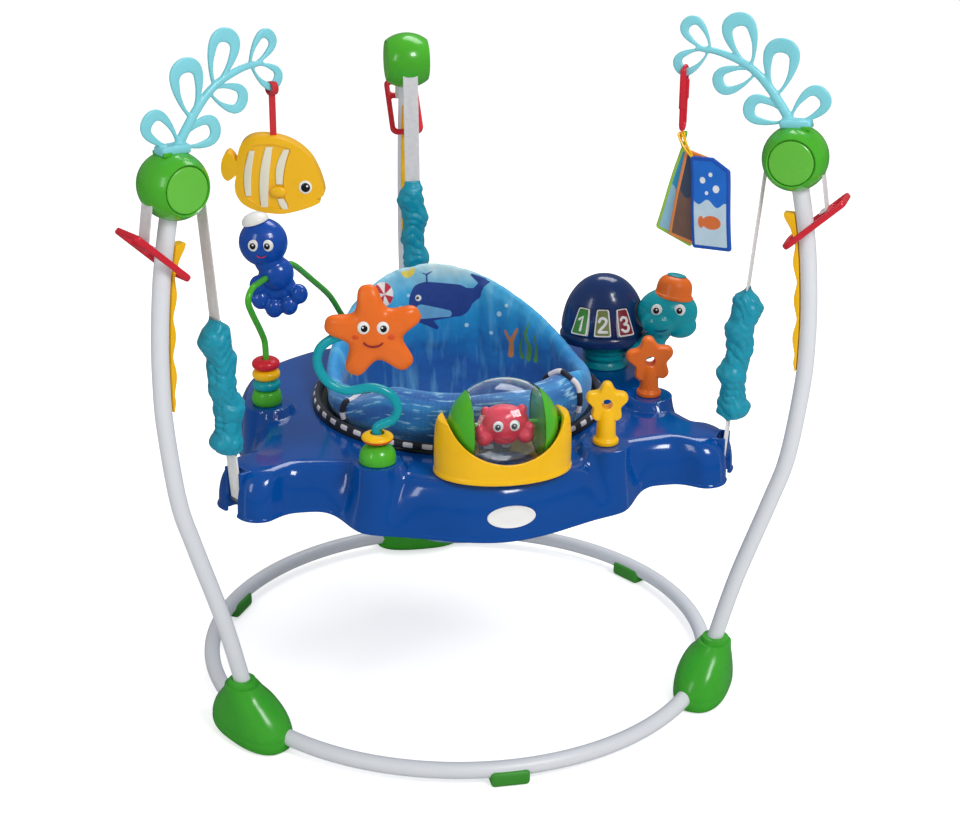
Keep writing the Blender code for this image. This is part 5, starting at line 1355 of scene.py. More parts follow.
# %% [markdown]
# The round seats stand half on the top and half on the skirt, and grow out of both
# with a soft flare. Every point near one is pushed out to the seat's own wall and
# lifted to its flat top; a smooth maximum makes the fillet between the two shapes.

# %% Raised seats for the toys
STALK_AT, WIRE_AT = (-0.148, -0.226), (-0.268, 0.0)
YELLOW_STAR_AT, ORANGE_STAR_AT = (0.154, -0.219), (0.257, -0.062)
SEATS = [STALK_AT, YELLOW_STAR_AT, ORANGE_STAR_AT, WIRE_AT]
SEAT_LIFT, LIFT_FROM = 0.0119, 0.352
SEAT_EDGE, SEAT_ROUND = 0.0405, 0.0095
COLUMN_R, COLUMN_FLARE = 0.0325, 0.006
COLUMN_TOP = TRAY_TOP + 0.006
FLARE_LOW = 0.334
BULGE_HALF = 0.082
ARM_LIFT = 0.013


def smooth_max(a, b, k):
    h = max(k - abs(a - b), 0.0) / k
    return max(a, b) + h * h * k * 0.25


def seat_wall(height):
    """Radius of a raised seat at a height: a column with a flared foot."""
    down = max(0.0, min(1.0, (COLUMN_TOP - height) / (COLUMN_TOP - FLARE_LOW)))
    return COLUMN_R + COLUMN_FLARE * down ** 2


def pushed_out(point, height):
    """A skirt point, moved out by a seat: a round column at the top, a broad bulge lower down."""
    reach = grown = math.hypot(point.x, point.y)
    down = eased((TRAY_TOP - 0.006 - height) / 0.062)
    wall = seat_wall(height)
    for cx, cy in SEATS:
        far = math.hypot(cx, cy)
        across = abs(point.x * cy - point.y * cx) / reach
        ahead = (point.x * cx + point.y * cy) / reach
        if ahead <= 0 or across >= BULGE_HALF:
            continue
        broad = blended(reach, max(reach, far + wall), 0.92 * eased(1 - across / BULGE_HALF))
        round_wall = reach
        if across < wall:
            front = ahead + math.sqrt(wall * wall - across * across)
            fade = eased((wall - across) / (0.35 * wall))
            round_wall = blended(reach, smooth_max(reach, front, 0.012), fade)
        grown = max(grown, blended(round_wall, broad, down))
    return Vector((point.x * grown / reach, point.y * grown / reach, height + arm_rise(point, height)))


def arm_rise(point, height):
    """The lip climbs under the arms."""
    azimuth = math.degrees(math.atan2(point.y, point.x))
    away = min(abs((azimuth - arm + 180) % 360 - 180) for arm in TOWERS.values())
    return ARM_LIFT * eased((26 - away) / 14) * (TRAY_TOP - height) / (TRAY_TOP - TRAY_LOW)


def lifted(point):
    """A point raised to the flat top of a seat that it belongs to."""
    upper = eased((point.z - LIFT_FROM) / (TRAY_TOP - LIFT_FROM))
    gain = 0.0
    for cx, cy in SEATS:
        away = math.hypot(point.x - cx, point.y - cy)
        gain = max(gain, SEAT_LIFT * eased((SEAT_EDGE - away) / SEAT_ROUND))
    return Vector((point.x, point.y, point.z + gain * upper))


SKIRT = [
    (0.0, 0.3222), (-0.0012, 0.3232), (-0.0016, 0.3252), (-0.001, 0.3274), (0.0002, 0.329), (0.0004, 0.333),
    (0.0006, 0.34), (0.001, 0.348), (0.0018, 0.356), (0.003, 0.364), (0.0046, 0.3715), (0.0068, 0.3785),
    (0.0095, 0.3845), (0.0126, 0.3893), (0.016, 0.393), (0.0198, 0.3957), (0.024, 0.3973), (0.0285, 0.398),
]
print("skirt of", len(SKIRT), "levels,", len(SEATS), "raised seats")

# %% [markdown]
# The top runs from the last outline to the hole on rings that shrink evenly. Under
# it, the wall turns back: down inside the hole, out under the top and down to the lip.

# %% Tray shell
TOP_RINGS = 44
RIM = tray_outline(SKIRT[-1][0])
HOLE_SECTION = [(0.0006, -0.0006), (0.0, -0.0022), (0.0, -0.02), (0.0, -0.03), (WALL, -0.03), (WALL, -WALL)]
INSIDE = [(0.033, TRAY_TOP - WALL), (0.0215, 0.3905), (0.0125, 0.38), (0.0075, 0.365), (0.005, 0.345),
          (0.0046, 0.33), (0.0042, 0.3222)]


def hole_ring(radius, height):
    """A round of points, each on the ray from the axis to a point of the rim."""
    scales = [radius / math.hypot(p.x, p.y) for p in RIM]
    return [Vector((p.x * scale, p.y * scale, height)) for p, scale in zip(RIM, scales)]


rings = [[lifted(pushed_out(p, height)) for p in tray_outline(inset)] for inset, height in SKIRT]
rim_edge = rings[-1]
hole_edge = hole_ring(HOLE_R + 0.0022, TRAY_TOP)
for k in range(1, TOP_RINGS):
    flat = [a.lerp(b, k / TOP_RINGS) for a, b in zip(rim_edge, hole_edge)]
    rings.append([lifted(Vector((p.x, p.y, TRAY_TOP))) for p in flat])
rings.append(hole_edge)
rings += [hole_ring(HOLE_R + out, TRAY_TOP + up) for out, up in HOLE_SECTION]
for inset, height in INSIDE:
    rings.append([Vector((p.x, p.y, height + arm_rise(p, height))) for p in tray_outline(inset)])
tray = loft(rings, wrap=True)
print("tray shell faces", len(tray.data.polygons))

# %% [markdown]
# A block under each arm's end holds the steel pin that the webbing loops round. The
# slot is cut through arm and block, then each slot gets its pin.

# %% Arm blocks, slots and pins
SLOT_WIDE, SLOT_DEEP = 0.027, 0.016
SLOT_START = ARM_REACH - SLOT_DEEP
PIN_R, PIN_HALF, PIN_Z = 0.003, 0.016, 0.3527
for angle in TOWERS.values():
    holder = block((SLOT_DEEP + 0.004, SLOT_WIDE + 0.01, 0.056), (SLOT_START + 0.003, 0, 0.368), edge=0.0015)
    carve(tray, place(holder, turned(angle)), "UNION")
    slot = block((SLOT_DEEP + 0.01, SLOT_WIDE, 0.11), (SLOT_START + SLOT_DEEP / 2 + 0.005, 0, 0.362),
                 edge=0.003)
    carve(tray, place(slot, turned(angle)))
settle(tray, "tray_moulding", "tray", BLUE_ABS, "play_tray", STAND, 42)
apply(tray, "WEIGHTED_NORMAL", keep_sharp=True, weight=80)
for side in TOWERS:
    pin = tube([(HANGER_FOOT.x, y, PIN_Z) for y in (-PIN_HALF, PIN_HALF)], PIN_R, 16)
    settle(pin, "arm_pin_" + side, "tray", BRIGHT_STEEL, (), TOWER[side])
print("tray faces", len(tray.data.polygons))

# %% [markdown]
# The badge on the front of the skirt is left bare: a white oval with a thin raised
# rim. It is a grid of points laid on the skirt, pushed out by its own thickness.

# %% Bare badge
BADGE_SECTION = [(1.0, -0.001), (1.0, 0.0006), (0.97, 0.0013), (0.93, 0.0013), (0.9, 0.0008), (0.5, 0.0009)]
SKIRT_BEND = 0.305


def skirt_point(azimuth, height):
    """A point of the skirt, found between its levels."""
    for (low_in, low_z), (high_in, high_z) in zip(SKIRT, SKIRT[1:]):
        if low_z <= height <= high_z:
            inset = blended(low_in, high_in, (height - low_z) / (high_z - low_z))
            break
    heading = Vector((*polar(1.0, azimuth), 0))
    best = max(tray_outline(inset, 40), key=lambda p: p.normalized().dot(heading))
    return Vector((best.x, best.y, height))


def make_badge(azimuth, height, half_wide, half_tall):
    """Rings of an oval cap that follows the skirt."""
    centre, above, below = (skirt_point(azimuth, height + dz) for dz in (0.0, 0.008, -0.008))
    side = Vector((*polar(1.0, azimuth + 90), 0))
    rise = (above - below).normalized()
    out = side.cross(rise).normalized()
    rings = []
    for scale, lift in BADGE_SECTION:
        across = [(u * scale * half_wide, v * scale * half_tall) for u, v in circle(1.0, 64)]
        rings.append([centre + side * u + rise * v + out * (lift - u * u / (2 * SKIRT_BEND))
                      for u, v in across])
    return loft([*rings, [centre + out * 0.001]])


settle(make_badge(271.9, 0.356, 0.0315, 0.0145), "bare_badge", "tray", WHITE_ABS, (), STAND,
       50)
print("bare badge on the skirt")

# %% [markdown]
# ## The seat's ring and its piping
# A black plastic ring hangs the seat in the tray's hole. It is spun from its section.
# A padded black piping with pale dashes lies on it. The dashes follow the length of
# the piping: each point stores its distance from the nearest dash's edge.

# %% Ring and piping
FIT = 0.1822
RING_TOP = 0.405
RING_SECTION = [
    (0.198, 0.384), (0.1985, 0.3848), (0.1985, 0.3983), (0.2036, 0.3983), (0.2042, 0.399), (0.2042, 0.4006),
    (0.2034, 0.402), (0.199, 0.4036), (0.185, 0.404), (0.1832, 0.4032), (0.1826, 0.401), (0.1826, 0.3846),
    (0.1834, 0.3838), (0.198, 0.384),
]
DASH_PITCH = 0.0262
DASH_HALF = 0.0068
BLACK_TAPE = printed("black polyester piping with woven pale dashes", "141A2C", [("dash", "E9E4EA")],
                     0.6, 1.2, 0.15)


def dash_distance(run, wide, half_wide):
    """Below zero inside a dash; run goes along the piping and wide across it."""
    beside = abs((run + DASH_PITCH / 2) % DASH_PITCH - DASH_PITCH / 2) - DASH_HALF
    return max(beside, abs(wide) - half_wide)


settle(spun(RING_SECTION, 128), "seat_ring_moulding", "seat", BLACK_ABS, "seat_ring", STAND,
       30)
PIPING_R, PIPING_Z = 0.198, 0.4055
section = [(PIPING_R + 0.0054 * c, PIPING_Z + 0.0062 * s) for c, s in circle(1.0, 28)]
piping = spun([*section, section[0]], 400)


def ring_dash(p):
    """The dashes lie on the upper outer half of the piping."""
    round_it = math.atan2(p.z - PIPING_Z, math.hypot(p.x, p.y) - PIPING_R)
    return dash_distance((math.atan2(p.y, p.x) + math.pi) * 0.2, round_it * 0.007 - 0.0028, 0.0044)


store(piping, "dash", ring_dash)
settle(piping, "seat_piping", "seat", BLACK_TAPE, (), STAND, 60)
print("piping dashes every", DASH_PITCH)

# %% [markdown]
# ## The padded seat
# The seat is one padded shell: a bucket with two leg holes, a high back and a fat
# roll round the left and the front. Its section is drawn for every degree and a half
# as a smooth curve through keys that depend on the angle, and the loft goes round.

# %% Seat section
SEAT_MIDDLE, SEAT_SPAN = 96.0, 88.0
PANEL_TALL = 0.14
RIM_LOW, RIM_BACK, RIM_FRONT = 0.442, 0.103, 0.03
ROLL_START, ROLL_END = 188.0, 320.0


def rim_height(angle):
    """Top of the padding: high behind, low at the sides, a roll in front."""
    turn = abs((angle - SEAT_MIDDLE + 180) % 360 - 180)
    back = (0.5 + 0.5 * math.cos(math.pi * min(turn / SEAT_SPAN, 1.0))) ** 0.75
    return RIM_LOW + RIM_BACK * back + RIM_FRONT * eased((turn - 105) / 30)


def roll_share(angle):
    """1 on the roll, 0 on the back panel."""
    return eased((angle - ROLL_START + 8) / 14) * eased((ROLL_END + 6 - angle) / 12)


def crease(angle, at, wide):
    return math.exp(-((angle - at) / wide) ** 2)


FOLDS = [(70, 3.4, 0.0058), (59, 2.6, 0.004), (48, 3.2, 0.0062), (38, 2.4, 0.0036), (27, 3.4, 0.0055),
         (128, 3.8, 0.0034), (143, 3.0, 0.0042), (102, 4.0, 0.0022)]


def seat_section(angle):
    """(radius, height) keys from the middle of the floor, outside, over the rim and back inside."""
    top = rim_height(angle)
    roll = roll_share(angle)
    thick = blended(0.019, 0.042, roll) - 0.003
    out = blended(0.002, 0.01, roll)
    high = top - RING_TOP
    fold = sum(depth * crease(angle, at, wide) for at, wide, depth in FOLDS)
    lean = 0.006 * (1 - roll) * eased(high / PANEL_TALL)
    return [
        (0.0, 0.208), (0.3 * FIT, 0.21), (0.55 * FIT, 0.221), (0.76 * FIT, 0.253), (0.88 * FIT, 0.303),
        (0.955 * FIT, 0.345), (FIT - 0.0004, 0.373), (FIT - 0.0004, 0.404),
        (FIT + 0.8 * out, RING_TOP + 0.26 * high), (FIT + out + 0.3 * lean, RING_TOP + 0.52 * high),
        (FIT + 0.5 * out + 0.7 * lean, RING_TOP + 0.78 * high),
        (FIT + lean - 0.18 * thick, top - 0.2 * thick), (FIT + lean - 0.5 * thick, top - 0.002),
        (FIT + lean - 0.82 * thick, top - 0.2 * thick),
        (FIT + 0.6 * lean - thick - 0.4 * out + 0.5 * fold, RING_TOP + 0.74 * high),
        (FIT - thick - 0.5 * out + fold, RING_TOP + 0.42 * high),
        (FIT - 0.95 * thick - 0.3 * out + 0.7 * fold, RING_TOP + 0.1 * high), (FIT - 0.019, 0.372),
        (0.955 * FIT - 0.018, 0.345), (0.88 * FIT - 0.0165, 0.306), (0.76 * FIT - 0.015, 0.264),
        (0.55 * FIT - 0.009, 0.236), (0.3 * FIT, 0.2255), (0.0, 0.224),
    ]


seat_rings = []
SEAT_COLUMNS = 240
for i in range(SEAT_COLUMNS):
    azimuth = 360 * i / SEAT_COLUMNS
    line = smooth_line([(r, 0, z) for r, z in seat_section(azimuth)], 3)
    seat_rings.append([(*polar(p.x, azimuth), p.z) for p in line])
levels = list(zip(*seat_rings))
seat = loft([[levels[0][0]], *levels[1:-1], [levels[-1][0]]])
LEG_R, LEG_DEEP = 0.048, 0.23
for side in (-1, 1):
    leg = place(rod(LEG_R, LEG_DEEP), turned(90, "X"))
    place(leg, shifted(side * 0.062, -0.03, 0.27) @ turned(side * 20) @ shifted(0, -LEG_DEEP / 2, 0))
    carve(seat, leg)
print("seat shell faces", len(seat.data.polygons))

# %% [markdown]
# The padding is blown up with a short cloth simulation. The shell is remeshed to even
# squares, the part inside the ring is pinned, and Cloth with a little pressure and no
# gravity runs for twenty frames. No point may move further than the cap, so the seat
# stays clear of the ring.

# %% Blow up the padding
PIN_BELOW = 0.4105
PAD_CAP = 0.0055


def blown_up(obj, voxel, pressure, frames, cap):
    apply(obj, "REMESH", mode="VOXEL", voxel_size=voxel)
    start = [v.co.copy() for v in obj.data.vertices]
    pinned = obj.vertex_groups.new(name="pinned")
    pinned.add([i for i, co in enumerate(start) if co.z < PIN_BELOW], 1.0, "REPLACE")
    cloth = obj.modifiers.new("padding", "CLOTH")
    cloth.settings.quality = 5
    cloth.settings.use_pressure = True
    cloth.settings.uniform_pressure_force = pressure
    cloth.settings.tension_stiffness = cloth.settings.compression_stiffness = 12
    cloth.settings.bending_stiffness = 0.6
    cloth.settings.vertex_group_mass = "pinned"
    cloth.settings.effector_weights.gravity = 0
    cloth.collision_settings.use_collision = False
    for frame_number in range(1, frames + 1):
        bpy.context.scene.frame_set(frame_number)
    shaped = obj.evaluated_get(bpy.context.evaluated_depsgraph_get()).data
    moved = [v.co.copy() for v in shaped.vertices]
    obj.modifiers.remove(cloth)
    obj.vertex_groups.clear()
    bpy.context.scene.frame_set(1)
    for vertex, before, after in zip(obj.data.vertices, start, moved):
        step = after - before
        vertex.co = before + step * min(1.0, cap / max(step.length, 1e-9))
    print("furthest move", round(max((b - a).length for a, b in zip(start, moved)), 4))
    apply(obj, "SMOOTH", factor=0.5, iterations=2)
    return apply(obj, "SUBSURF", levels=1, render_levels=1)


blown_up(seat, 0.0048, 4.0, 20, PAD_CAP)
print("padded seat faces", len(seat.data.polygons))

# %% [markdown]
# ## The seat's print
# The cloth is printed with a generic sea: pale sky at the top of the back, a whale,
# weed, bubbles and a striped ball, and short brush strokes on the roll. Motifs are
# placed by their angle round the seat and their height, in metres on the panel.

# %% Motifs
PANEL_R = 0.168


def panel(point):
    """Degrees round the seat, and where a point lies on the unrolled panel."""
    azimuth = math.degrees(math.atan2(point.y, point.x)) % 360
    return azimuth, PANEL_R * math.radians(SEAT_MIDDLE - azimuth), point.z


def segment_distance(x, z, x0, z0, x1, z1, r0, r1):
    """Distance from a tapered stroke."""
    dx, dz = x1 - x0, z1 - z0
    t = max(0.0, min(1.0, ((x - x0) * dx + (z - z0) * dz) / (dx * dx + dz * dz)))
    return math.hypot(x - x0 - t * dx, z - z0 - t * dz) - blended(r0, r1, t)


def strands(*lines):
    """Strokes along lines of (x, z, half width) points."""
    return [(x0, z0, x1, z1, r0, r1) for line in lines for (x0, z0, r0), (x1, z1, r1) in zip(line, line[1:])]


WHALE = [(0.0, 0.487, 0.044, 0.487, 0.03, 0.024), (0.044, 0.487, 0.072, 0.497, 0.022, 0.009),
         (0.072, 0.497, 0.083, 0.514, 0.008, 0.004), (0.083, 0.514, 0.066, 0.524, 0.006, 0.0015),
         (0.083, 0.514, 0.101, 0.522, 0.006, 0.0015), (-0.012, 0.467, 0.014, 0.447, 0.01, 0.003)]
BELLY = [(-0.01, 0.473, 0.032, 0.468, 0.011, 0.005)]
SPOUT = strands([(0.0, 0.517, 0.0016), (0.0, 0.527, 0.001)], [(0.0, 0.527, 0.0014), (-0.009, 0.531, 0.0006)],
                [(0.0, 0.527, 0.0014), (0.009, 0.531, 0.0006)])
WEED = strands([(0.158, 0.408, 0.0042), (0.162, 0.428, 0.0036), (0.155, 0.446, 0.0028),
                (0.162, 0.466, 0.0008)],
               [(0.171, 0.408, 0.0038), (0.176, 0.432, 0.0026), (0.171, 0.45, 0.0008)],
               [(0.146, 0.408, 0.0034), (0.143, 0.424, 0.0024), (0.147, 0.44, 0.0008)],
               [(-0.15, 0.408, 0.004), (-0.155, 0.432, 0.0026), (-0.149, 0.452, 0.0008)])
CORAL = strands([(0.128, 0.408, 0.0044), (0.13, 0.432, 0.0032)],
                [(0.13, 0.428, 0.003), (0.121, 0.446, 0.002)],
                [(0.13, 0.43, 0.003), (0.139, 0.45, 0.002)],
                [(-0.131, 0.408, 0.0044), (-0.128, 0.428, 0.0034)],
                [(-0.128, 0.426, 0.0032), (-0.136, 0.442, 0.0022)],
                [(-0.128, 0.426, 0.0032), (-0.12, 0.444, 0.0022)])
BUBBLES = [(-0.034, 0.47, 0.0046), (-0.045, 0.484, 0.0032), (-0.03, 0.5, 0.0026), (0.11, 0.47, 0.004),
           (0.121, 0.484, 0.0028), (0.06, 0.45, 0.0034), (-0.07, 0.45, 0.0042), (0.098, 0.44, 0.003)]
BALL_AT, BALL_SIZE = (-0.07, 0.508), 0.0165


def wedge(x, z):
    """Below zero on every other slice of the striped ball."""
    turn = math.degrees(math.atan2(z - BALL_AT[1], x - BALL_AT[0])) % 90 - 45
    away = math.hypot(x - BALL_AT[0], z - BALL_AT[1])
    return max(away - BALL_SIZE, (abs(turn) - 22.5) * math.radians(1) * away)


def inside_only(point, distance):
    """A motif is printed on the inner face alone."""
    azimuth, x, z = panel(point)
    skin = FIT - 0.0105 + 0.004 * eased((z - RING_TOP) / PANEL_TALL) - math.hypot(point.x, point.y)
    return max(distance(x, z), -skin)


for motif, strokes in (("whale", WHALE), ("belly", BELLY), ("spout", SPOUT), ("weed", WEED),
                       ("coral", CORAL)):
    store(seat, motif,
          lambda p: inside_only(p, lambda x, z: min(segment_distance(x, z, *s) for s in strokes)))
for motif, rounds in (("eye", [(-0.014, 0.494, 0.0046)]), ("pupil", [(-0.015, 0.494, 0.0024)]),
                      ("bubble", BUBBLES), ("ball", [(*BALL_AT, BALL_SIZE)]),
                      ("sun", [(-0.026, 0.534, 0.01)])):
    store(seat, motif, lambda p: inside_only(p, lambda x, z: min(circle_distance(x, z, *r) for r in rounds)))
store(seat, "wedge", lambda p: inside_only(p, wedge))
print("motifs stored on the seat")

# %% [markdown]
# Two more values steer the ground colour: how high a point lies above the ring,
# and whether it belongs to the roll. The roll's strokes run along it, so the noise
# behind them is stretched with the distance along and across the roll.

# %% Ground colour of the seat
def across_roll(point):
    top = rim_height(panel(point)[0])
    return math.atan2(point.z - (top - 0.03), math.hypot(point.x, point.y) - (FIT - 0.018)) * 0.03


store(seat, "high", lambda p: (p.z - RING_TOP) / PANEL_TALL)
store(seat, "roll", lambda p: roll_share(panel(p)[0]) * eased((p.z - 0.38) / 0.02))
store(seat, "along", lambda p: math.radians(panel(p)[0]) * 0.18)
store(seat, "across", across_roll)


def ramp(tree, value, stops):
    """A colour ramp with its own stops."""
    node = add_node(tree, "ValToRGB", {"Fac": value})
    while len(node.color_ramp.elements) < len(stops):
        node.color_ramp.elements.new(0.5)
    for element, (position, code) in zip(node.color_ramp.elements, stops):
        element.position = position
        element.color = srgb(code)
    return node.outputs["Color"]


SKY = [(0.12, "0F62B2"), (0.3, "0C84CC"), (0.55, "1299DA"), (0.74, "3BB0E2"), (0.88, "8CCCE4"),
       (0.98, "C4E0E4")]
MOTIF_INKS = [("ball", "F4F1EC"), ("wedge", "C8243C"), ("sun", "EFD957"), ("bubble", "BFE6F4"),
              ("weed", "5CA845"), ("coral", "D98A4A"), ("whale", "123F93"), ("belly", "6FB4E0"),
              ("spout", "123F93"), ("eye", "F7F6F2"), ("pupil", "15161C")]
RIB_PITCH = 0.0065


def printed_ground(tree, place_in, high, along, on_roll):
    """A sky that darkens downwards, with pale shafts, and brush strokes on the roll."""
    def stepped(value, low, high):
        return stretched(tree, value, 0.0, 1.0, low, high)

    def plane(u, v):
        return add_node(tree, "CombineXYZ", {"X": u, "Y": v}).outputs[0]

    waved = reckoned(tree, "MULTIPLY", noisy(tree, place_in, 55, 2.0), 0.36)
    sky_colour = ramp(tree, reckoned(tree, "MULTIPLY_ADD", high, 0.8, waved), SKY)
    shafts = noisy(tree, plane(along, reckoned(tree, "MULTIPLY", high, 0.03)), 16, 2.0)
    sky_colour = laid_over(tree, sky_colour, stepped(shafts, 0.52, 1.0), srgb("7CCBEC"))
    lengthwise = plane(reckoned(tree, "MULTIPLY", along, 0.2), value_of(tree, "across"))
    roll = laid_over(tree, srgb("1260AE"), stepped(noisy(tree, lengthwise, 22, 1.0), 0.4, 0.62),
                     srgb("2484C8"))
    roll = laid_over(tree, roll, stepped(noisy(tree, lengthwise, 5.5, 3.0), 0.56, 0.66), srgb("92CBEA"))
    return laid_over(tree, sky_colour, stepped(on_roll, 0.46, 0.54), roll)


def seat_print(name):
    """The print, over fine threads, a crumple from the padding and ribs sewn into the roll."""
    made, tree, shader = finish_named(name)
    place_in = object_place(tree)
    high, along, on_roll = (value_of(tree, attribute) for attribute in ("high", "along", "roll"))
    ground = inked(tree, printed_ground(tree, place_in, high, along, on_roll), MOTIF_INKS, 0.0005)
    cloudy = stretched(tree, noisy(tree, place_in, 12, 4.0), 0.92, 1.08, 0.3, 0.7)
    ribs = reckoned(tree, "SINE", reckoned(tree, "MULTIPLY", along, 2 * math.pi / RIB_PITCH))
    threads = bumped(tree, noisy(tree, place_in, 0.9, 1.0), 0.25, 0.0003)
    crumple = bumped(tree, noisy(tree, place_in, 14, 3.0, Distortion=0.6), 0.35, 0.003, Normal=threads)
    quilt = bumped(tree, reckoned(tree, "MULTIPLY", ribs, on_roll), 0.3, 0.0005, Normal=crumple)
    feed(tree, shader, {"Base Color": lightened(tree, ground, cloudy), "Normal": quilt,
                        "Roughness": 0.62, "Sheen Weight": 0.25})
    return made


SEA_CLOTH = seat_print("printed sea cloth, padded polyester")
settle(seat, "padded_seat", "seat", SEA_CLOTH, "seat_sling", STAND, 180)

# %% [markdown]
# The piping also closes both ends of the roll. Its line follows the roll's section
# from the ring on the outside, over the top and down on the inside.

# %% Piping over the roll's ends
END_PIPING_R, END_PIPING_OUT = 0.0038, 0.0028


def end_piping(angle, name):
    keys = [Vector((r, 0, z)) for r, z in seat_section(angle)[8:17]]
    middle = sum(keys, Vector()) / len(keys)
    line = []
    for p in smooth_line(keys, 10):
        outer = p + (p - middle).normalized() * END_PIPING_OUT
        line.append(Vector((*polar(outer.x, angle), outer.z)))
    cord = tube(line, END_PIPING_R, 20)
    runs = [0.0]
    for a, b in zip(line, line[1:]):
        runs.append(runs[-1] + (b - a).length)

    def nearest(point):
        return min(range(len(line)), key=lambda i: (line[i] - point).length_squared)

    store(cord, "dash", lambda p: dash_distance(runs[nearest(p)] * 0.67, 0.0, 0.004))
    settle(cord, name, "seat", BLACK_TAPE, (), STAND, 60)


end_piping(206.0, "roll_piping_left")
end_piping(316.0, "roll_piping_right")
print("piping on the roll's ends")

# %% [markdown]
# ## The ball station
# A ball with green ends and a clear band turns on an axle in a yellow cradle. Ball
# and ends share one outline: a circle stretched along the axle. The crab inside is a
# few balls melted together, with its face on the front.

# %% Ball
BALL_MIDDLE = JOINTS["ball_spin"]["pos_m"]
BALL_AXIS = shifted(*BALL_MIDDLE)
BALL_PLACE = BALL_AXIS @ turned(90, "Y")
BALL_R, BALL_LONG, WINDOW_HALF, SHELL = 0.06, 0.071, 0.0452, 0.0025


def ball_arc(start, end, radius, rows):
    """(radius, way along the axle) points of the ball's outline."""
    long = radius * BALL_LONG / BALL_R
    return [(radius * math.sqrt(max(0.0, 1 - (u / long) ** 2)), u)
            for u in (blended(start, end, i / rows) for i in range(rows + 1))]


inner = BALL_R * math.sqrt(1 - (WINDOW_HALF / BALL_LONG) ** 2)
half = [(0.0035, 0.0), (0.0035, WINDOW_HALF + 0.0003), (inner - 0.0008, WINDOW_HALF + 0.0003)]
half += ball_arc(WINDOW_HALF + 0.0008, 0.0694, BALL_R, 24)
half += [(0.0052, 0.0716), (0.0045, 0.0722), (0.0045, 0.0822), (0.0038, 0.083), (0.0, 0.083)]
caps = spun([*[(r, -u) for r, u in reversed(half)], *half[1:]], 96)
settle(caps, "ball_ends", "ball", DOME_GREEN, "ball_caps", BALL_PLACE, 35)
band = [*ball_arc(-WINDOW_HALF, WINDOW_HALF, BALL_R, 24),
        *ball_arc(WINDOW_HALF, -WINDOW_HALF, BALL_R - SHELL, 24)]
window = spun([*band, band[0]], 96)
settle(window, "ball_window_band", "ball", CLEAR_PC, "ball_window", BALL_PLACE, 35)
print("ball", 2 * BALL_R, "across, window", 2 * WINDOW_HALF)

# %% [markdown]
# All the animals get their eyes and their smile in the same way: ovals that are
# pressed into the face, and a thin cord along an arc.

# %% Crab, with the eyes and smile that all the animals share
def make_eyes(name, body, matrix, xs, y, z, size, glance=-0.1):
    """White ovals, black pupils and small white dots painted as highlights, on a face that points to -Y."""
    # The glint part is a white dot that paints a highlight on each eye.
    parts = (("white", WHITE_ABS, "white_steel", (1.0, 0.42, 1.08), (0.0, 0.0, 0.0), 16),
             ("pupil", BLACK_ABS, "black_plastic", (0.6, 0.34, 0.66), (glance, -0.2, -0.02), 16),
             ("painted_glint", WHITE_ABS, "white_steel", (0.17, 0.12, 0.17), (-0.08, -0.5, 0.2), 8))
    for word, x in zip(("left", "right"), xs):
        for part, finish, slot_name, radii, shift, rings in parts:
            at = Vector((x, y, z)) + size * Vector(shift)
            shape = ball(tuple(size * r for r in radii), at, 32 if rings > 8 else 12, rings)
            settle(shape, "%s_eye_%s_%s" % (name, word, part), body, finish, (), matrix)


def make_smile(name, body, matrix, finish, at, wide, tall, bow=-0.0006, curl=0.0, cord=(0.0007, 8),
               start=200, steps=12):
    """An arc of cord across a face; bow and curl keep it on the curved skin."""
    line = []
    for i in range(steps + 1):
        c, s = polar(1.0, blended(start, 540 - start, i / steps))
        line.append((at[0] + wide * c, at[1] + bow * s + curl * c * c, at[2] + tall * s))
    settle(tube(line, *cord), name + "_smile", body, finish, (), matrix)


lumps = [ball((0.0335, 0.0215, 0.0245), (0, 0, 0.001)), ball((0.02, 0.018, 0.013), (0, -0.002, -0.0135))]
for side in (-1, 1):
    lumps += [ball((0.011, 0.0105, 0.0105), (side * 0.027, -0.011, -0.0135)),
              ball((0.0062, 0.007, 0.0085), (side * 0.0325, -0.011, -0.004)),
              ball((0.0065, 0.006, 0.0075), (side * 0.0235, -0.003, 0.0185)),
              ball((0.007, 0.006, 0.006), (side * 0.018, 0.009, -0.019))]
settle(fuse(lumps, 0.001), "crab_body", "ball", CRAB_RED, "crab", BALL_AXIS, 60)
make_eyes("crab", "ball", BALL_AXIS, (-0.0105, 0.0105), -0.02, 0.0045, 0.0068)
make_smile("crab", "ball", BALL_AXIS, MAROON_ABS, (0, -0.0212, -0.0085), 0.0075, 0.0045,
           steps=14)
print("crab")

# %% [markdown]
# The cradle starts as an oval block. The ball's room, the room beside the seat, a
# well and an oval scoop over the front are cut away, and a fine remesh rounds every
# rim at once.

# %% Cradle
CRADLE_LEVELS = [(0.056, 0.087, -0.0617), (0.059, 0.09, -0.061), (0.0592, 0.0902, -0.056),
                 (0.0578, 0.0888, -0.0545), (0.0582, 0.0892, -0.04), (0.0575, 0.0888, -0.015),
                 (0.054, 0.0868, 0.005), (0.05, 0.084, 0.013)]
round_line = circle(1.0, 96)
cradle = loft([[(wide * c, deep * s, z) for c, s in round_line] for deep, wide, z in CRADLE_LEVELS])
beside_seat = (-BALL_MIDDLE[0], AXIS_Y - BALL_MIDDLE[1], 0)
scoop = loft([[(0.0775 * c, y, 0.03 + 0.0635 * s) for c, s in round_line] for y in (-0.13, 0.13)])
for tool in (ball((0.0752, 0.0642, 0.0642), segments=64, rings=32), rod(0.05, 0.08, (0, 0, -0.058), 96),
             rod(0.206, 0.3, beside_seat, 160), scoop, rod(0.005, 0.24, tilt=(0, 90))):
    carve(cradle, tool)
settle(fuse([cradle], 0.0011, 5), "ball_cradle", "tray", YELLOW_ABS, "crab_cradle",
       BALL_AXIS, 60)
print("cradle")

